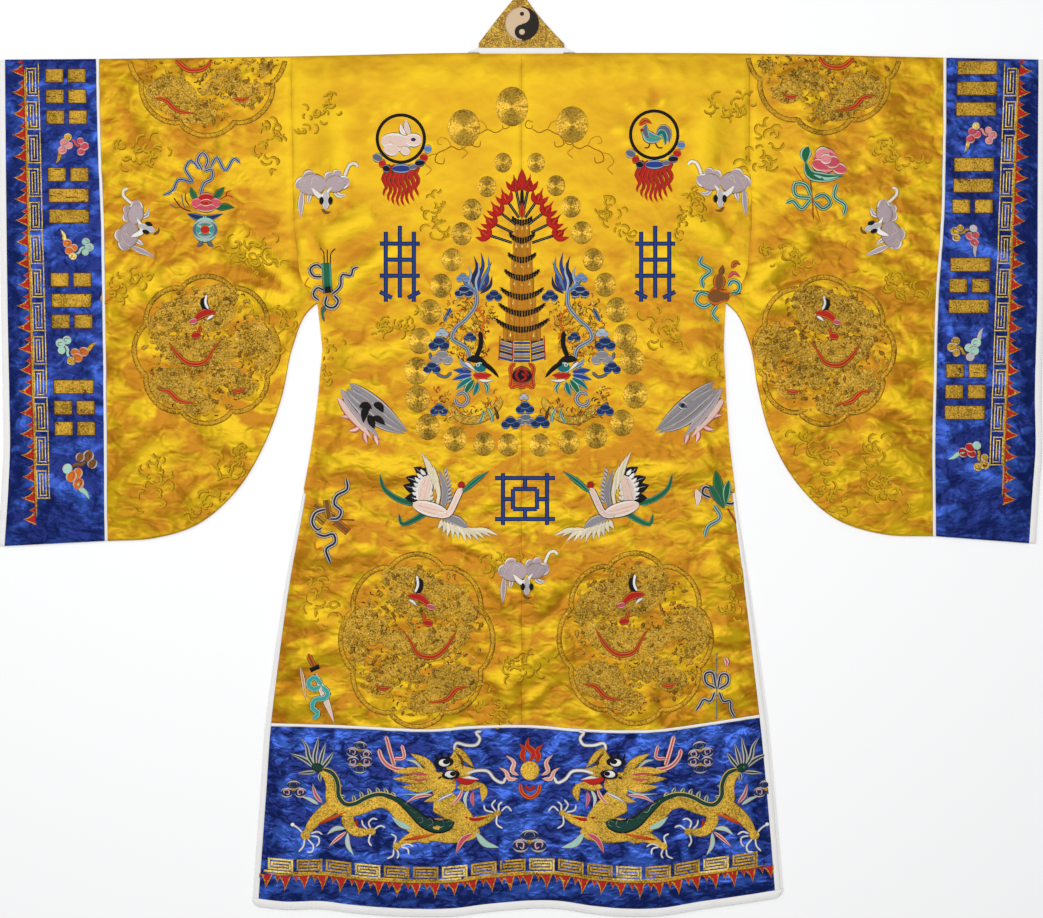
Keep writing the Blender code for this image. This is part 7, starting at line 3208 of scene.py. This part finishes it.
class ROBE_OT_rising_dragons(bpy.types.Operator):
    """Sew the two rising dragons and the pearl between them"""

    bl_idname = "robe.rising_dragons"
    bl_label = "Rising Dragons"

    def execute(self, context):
        work = Motifs(seed=13)
        for x, mirrored in RISING_DRAGONS:
            place = Place(x, RISING_DRAGON_Y, mirrored=mirrored)
            for row in DRAGON_CURLS:
                path = spline(read_points(row.points), 30)
                work.worms(place, path, row.number, CURLS_REACH, colours=GOLDS + ("orange", "brown"))
            work.draw(place, RISING_DRAGON)
            for row in DRAGON_CLOUDS:
                lobe = Place(*(place([[row.x, row.y]])[0] / UNIT), row.size)
                work.draw(lobe, CLOUDLET, (row.rim, row.core), base=6)
        work.draw(Place(0.5, 0), CENTRE_KNOTS)
        for row in PEARL_CLOUDS:
            work.draw(Place(row.x, row.y, row.size), CLOUDLET, (row.rim, row.core))
        work.finish("rising_dragons")
        return {"FINISHED"}


# Hem dragons in drawing units: X and mirroring of each, and the height of both
HEM_DRAGONS = ((128.5, False), (-111.5, True))
HEM_DRAGON_Y = -335

# Fins on a hem dragon's back: their roots, number, lengths, width, colour and angles
FINS = (
    ("87 19, 78 12, 72 3, 70 -5", 4, (7, 6), 3.4, "silver|green", (150, 190)),
    ("56 -12, 38 -5, 20 -5, 8 -13", 7, (8, 8), 4.6, "silver|green", (80, 60)),
)

# Clouds beside a hem dragon: x, y and turn from its middle, and the colours of all the hem's clouds
DRAGON_SIDE_CLOUDS = ((50, 40, 10), (50, 26, 180), (116, 1, 0))
HEM_CLOUD_COLOURS = ("pink|silver", "silver", "grey|silver")


class ROBE_OT_hem_dragons(bpy.types.Operator):
    """Sew the two dragons of the hem band, their scales, the pearl and the clouds"""

    bl_idname = "robe.hem_dragons"
    bl_label = "Hem Dragons"

    def execute(self, context):
        work = Motifs(seed=14)
        for x, mirrored in HEM_DRAGONS:
            place = Place(x, HEM_DRAGON_Y, mirrored=mirrored)
            work.layer = 9
            for fin in FINS:
                work.spray(place, *fin)
            work.draw(place, HEM_DRAGON, joined=True)
            for cloud_x, cloud_y, turn in DRAGON_SIDE_CLOUDS:
                across = -cloud_x if mirrored else cloud_x
                cloud_at = Place(x + across, HEM_DRAGON_Y + cloud_y, 0.75, turn, mirrored)
                work.draw(cloud_at, HEM_CLOUD_ROWS, HEM_CLOUD_COLOURS)
        work.draw(Place(8.5, -315), PEARL)
        work.draw(Place(8, -386), HEM_CLOUD_ROWS, HEM_CLOUD_COLOURS)
        work.finish("hem_dragons")
        return {"FINISHED"}


# The coiled dragons in their lobed frames: place, half width and half height in drawing units, and mirrored
Roundel = namedtuple("Roundel", "x y half_width half_height mirrored")
ROUNDELS = (
    Roundel(-104.5, -185, 78, 89, 1),
    Roundel(113.5, -183, 78, 88, 0),
    Roundel(-314.5, 105, 74, 76, 0),
    Roundel(302, 104, 72, 76, 1),
    Roundel(-314, 400, 80, 84, 0),
    Roundel(302, 403, 78, 84, 1),
)

# Gold masses that fill a roundel, and the coloured core of its dragon
MASSES = rows("""
    oval 50 gold  -48 40, 30 44
    oval 30 gold  -14 60, 34 62
    oval 32 gold  -58 20, -30 46
    leaf 40 gold  -56 14, -10 -6, 50 8
    oval 26 gold  30 20, 56 2
    leaf 34 gold  48 34, 62 6, 52 -26
    oval 46 gold  -60 -38, -10 -46
    oval 28 gold  -34 -60, 10 -62
    leaf 24 gold  -8 -40, 24 -28, 50 -46
    oval 30 gold  22 -44, 52 -40
""")
COIL_CORE = rows("""
    leaf 4.6 orange|red  -40 10, -30 -6, -18 -16, -2 -14, 8 2, 16 12
    leaf 4.4 orange|red  -52 -46, -40 -48, -30 -58, -10 -62
    leaf 4 orange|red  26 -46, 34 -48, 42 -44
    oval 7 orange|red  -16 16, -6 18
    leaf 3 orange|red  -8 18, -7 24, -6 29
    leaf 8 orange|red  10 44, -4 42, -16 30
    oval 6 blush|rose  -18 32, -10 34
    leaf 3 white  8 40, 4 38, 0 34
    even 7 black  -1 62, -3 54, 1 46
    even 2.6 white  0 64, -1 54, 2 47
""")


class ROBE_OT_roundels(bpy.types.Operator):
    """Sew the coiled gold dragons in their lobed frames"""

    bl_idname = "robe.roundels"
    bl_label = "Dragon Roundels"

    def execute(self, context):
        for i, row in enumerate(ROUNDELS):
            work = Motifs(seed=20 + i)
            work.roundel(row)
            work.finish(f"roundel_{i + 1}")
        return {"FINISHED"}


# Clouds in a tone near the cloth's own: place in drawing units, size, turn and mirrored
Tone = namedtuple("Tone", "x y size turn mirrored")
TONE_CLOUDS = (
    Tone(-381, 303, 1.1, -15, 0),
    Tone(-248, 309, 1.2, 80, 0),
    Tone(-204, 341, 1.0, 20, 0),
    Tone(-271, 206, 1.1, -10, 0),
    Tone(-262, 190, 0.9, 160, 0),
    Tone(-287, -9, 1.1, 30, 0),
    Tone(-366, -28, 1.2, 70, 0),
    Tone(-324, -57, 1.1, 20, 0),
    Tone(-201, -144, 1.2, 100, 0),
    Tone(0, -210, 1.2, 0, 0),
    Tone(297, 3, 1.2, 40, 1),
    Tone(353, -9, 1.1, 70, 1),
    Tone(366, -32, 1.0, 10, 1),
    Tone(317, -49, 1.1, 20, 1),
    Tone(92, 236, 1.0, 110, 0),
    Tone(168, 240, 1.2, 50, 0),
    Tone(213, 345, 1.1, -20, 1),
    Tone(-86, 234, 1.0, 70, 1),
    Tone(-130, 130, 1.1, 20, 0),
    Tone(140, 125, 1.1, 10, 1),
    Tone(240, 305, 1.2, 95, 1),
    Tone(375, 300, 1.1, 10, 1),
    Tone(262, 200, 1.1, 10, 1),
    Tone(-20, -110, 0.9, 10, 0),
    Tone(-196, 90, 1.0, 60, 0),
    Tone(206, 88, 1.0, 60, 1),
    Tone(-30, -250, 1.0, 30, 1),
    Tone(214, -140, 1.1, 80, 0),
    Tone(-236, 120, 1.0, 80, 0),
    Tone(232, 40, 0.9, 80, 1),
    Tone(-395, 170, 1.0, 20, 0),
    Tone(385, 165, 1.0, 20, 1),
)

# A heap of curls that makes one such cloud: the line that they lie along, how many and how far
HEAP = ((-17, -6), (-6, 2), (4, -1), (12, 5), (20, 4))
HEAP_CURLS = 24
HEAP_REACH = 8.0


class ROBE_OT_tone_clouds(bpy.types.Operator):
    """Sew the clouds that are nearly the colour of the cloth"""

    bl_idname = "robe.tone_clouds"
    bl_label = "Tone on Tone Clouds"

    def execute(self, context):
        work = Motifs(seed=15)
        heap = spline(HEAP, 20)
        # Curls in the satin's colour, each over a painted shadow of deeper satin
        sewn = {"size": 1.9, "colours": ("satin",), "width": 1.9, "under": "satin_painted_shadow"}
        for row in TONE_CLOUDS:
            work.worms(at(row), heap, HEAP_CURLS, HEAP_REACH, **sewn)
        work.finish("tone_clouds")
        return {"FINISHED"}


# The floor: half its width, and how far it lies under the origin
FLOOR_HALF = 9.0
FLOOR_DROP = 0.0006

# Square softboxes: where each hangs, the point that it faces, and its size
Softbox = namedtuple("Softbox", "place target size")
KEY_BOX = Softbox((-0.12, 0.50, 3.4), (0.0, 0.0, 0.0), 2.6)
SIDE_BOX = Softbox((-2.6, 1.9, 2.2), (-0.1, 0.0, 0.0), 1.3)
ROOM_COLOUR = (0.97, 0.98, 1.0, 1.0)

# The camera looks straight down: its place, and its lens and sensor in millimetres
CAMERA_PLACE = (0.0, -0.0064, 4.636)
LENS = 100.0
SENSOR = 36.0


class ROBE_OT_stage(bpy.types.Operator):
    """Set up the floor, the lights and the camera straight above"""

    bl_idname = "robe.stage"
    bl_label = "Studio"

    def execute(self, context):
        scene = context.scene
        light = scene.robe_light
        corners = np.array([[-1, -1, 0], [1, -1, 0], [1, 1, 0], [-1, 1, 0]]) * FLOOR_HALF
        corners = corners - np.array([0.0, 0.0, FLOOR_DROP])
        floor = make_mesh("floor", corners, [np.array([[0, 1, 2, 3]])])
        material, start = new_material("pale floor")
        grey = scene.robe_colours.floor
        finish_material(start, {"Base Color": (grey, grey, grey, 1.0), "Roughness": 0.85})
        floor.data.materials.append(material)
        add_softbox("key light", KEY_BOX, light.key)
        add_softbox("side light", SIDE_BOX, light.side)
        world = bpy.data.worlds.new("room")
        world.use_nodes = True
        world.node_tree.nodes["Background"].inputs["Color"].default_value = ROOM_COLOUR
        world.node_tree.nodes["Background"].inputs["Strength"].default_value = light.world
        scene.world = world
        lens = bpy.data.cameras.new("camera")
        lens.lens = LENS
        lens.sensor_width = SENSOR
        camera = bpy.data.objects.new("camera", lens)
        camera.location = CAMERA_PLACE
        scene.collection.objects.link(camera)
        scene.camera = camera
        scene.view_settings.view_transform = "Standard"
        return {"FINISHED"}


def add_softbox(name, box, power):
    """A square area light that faces a point."""
    data = bpy.data.lights.new(name, "AREA")
    data.shape = "SQUARE"
    data.size = box.size
    data.energy = power
    lamp = bpy.data.objects.new(name, data)
    lamp.location = box.place
    facing = Vector(box.target) - Vector(box.place)
    lamp.rotation_euler = facing.to_track_quat("-Z", "Y").to_euler()
    bpy.context.scene.collection.objects.link(lamp)


class ROBE_PT_panel(bpy.types.Panel):
    """The robe's steps and its colours"""

    bl_idname = "ROBE_PT_panel"
    bl_label = "Ceremonial Robe"
    bl_space_type = "VIEW_3D"
    bl_region_type = "UI"
    bl_category = "Robe"

    def draw(self, context):
        layout = self.layout
        for step in STEPS:
            layout.operator(step.bl_idname)
        for group in (context.scene.robe_colours, context.scene.robe_light):
            for key in group.bl_rna.properties.keys():
                if key not in {"rna_type", "name"}:
                    layout.prop(group, key)


STEPS = (
    ROBE_OT_bodies, ROBE_OT_sleeves, ROBE_OT_hem, ROBE_OT_neck, ROBE_OT_cuts, ROBE_OT_cuff_work,
    ROBE_OT_hem_border, ROBE_OT_coins, ROBE_OT_pagoda, ROBE_OT_treasures, ROBE_OT_rings, ROBE_OT_lattices,
    ROBE_OT_rising_dragons, ROBE_OT_hem_dragons, ROBE_OT_roundels, ROBE_OT_tone_clouds, ROBE_OT_stage,
)
CLASSES = (RobeColours, RobeLight, *STEPS, ROBE_PT_panel)


def register():
    """Registers the classes, and gives the scene its groups of colours and lights."""
    for cls in CLASSES:
        bpy.utils.register_class(cls)
    bpy.types.Scene.robe_colours = bpy.props.PointerProperty(type=RobeColours)
    bpy.types.Scene.robe_light = bpy.props.PointerProperty(type=RobeLight)


def unregister():
    """Takes the groups and the classes away again."""
    del bpy.types.Scene.robe_light
    del bpy.types.Scene.robe_colours
    for cls in reversed(CLASSES):
        bpy.utils.unregister_class(cls)


def main():
    register()
    for step in STEPS:
        group, name = step.bl_idname.split(".")
        getattr(getattr(bpy.ops, group), name)()


if __name__ == "__main__":
    main()
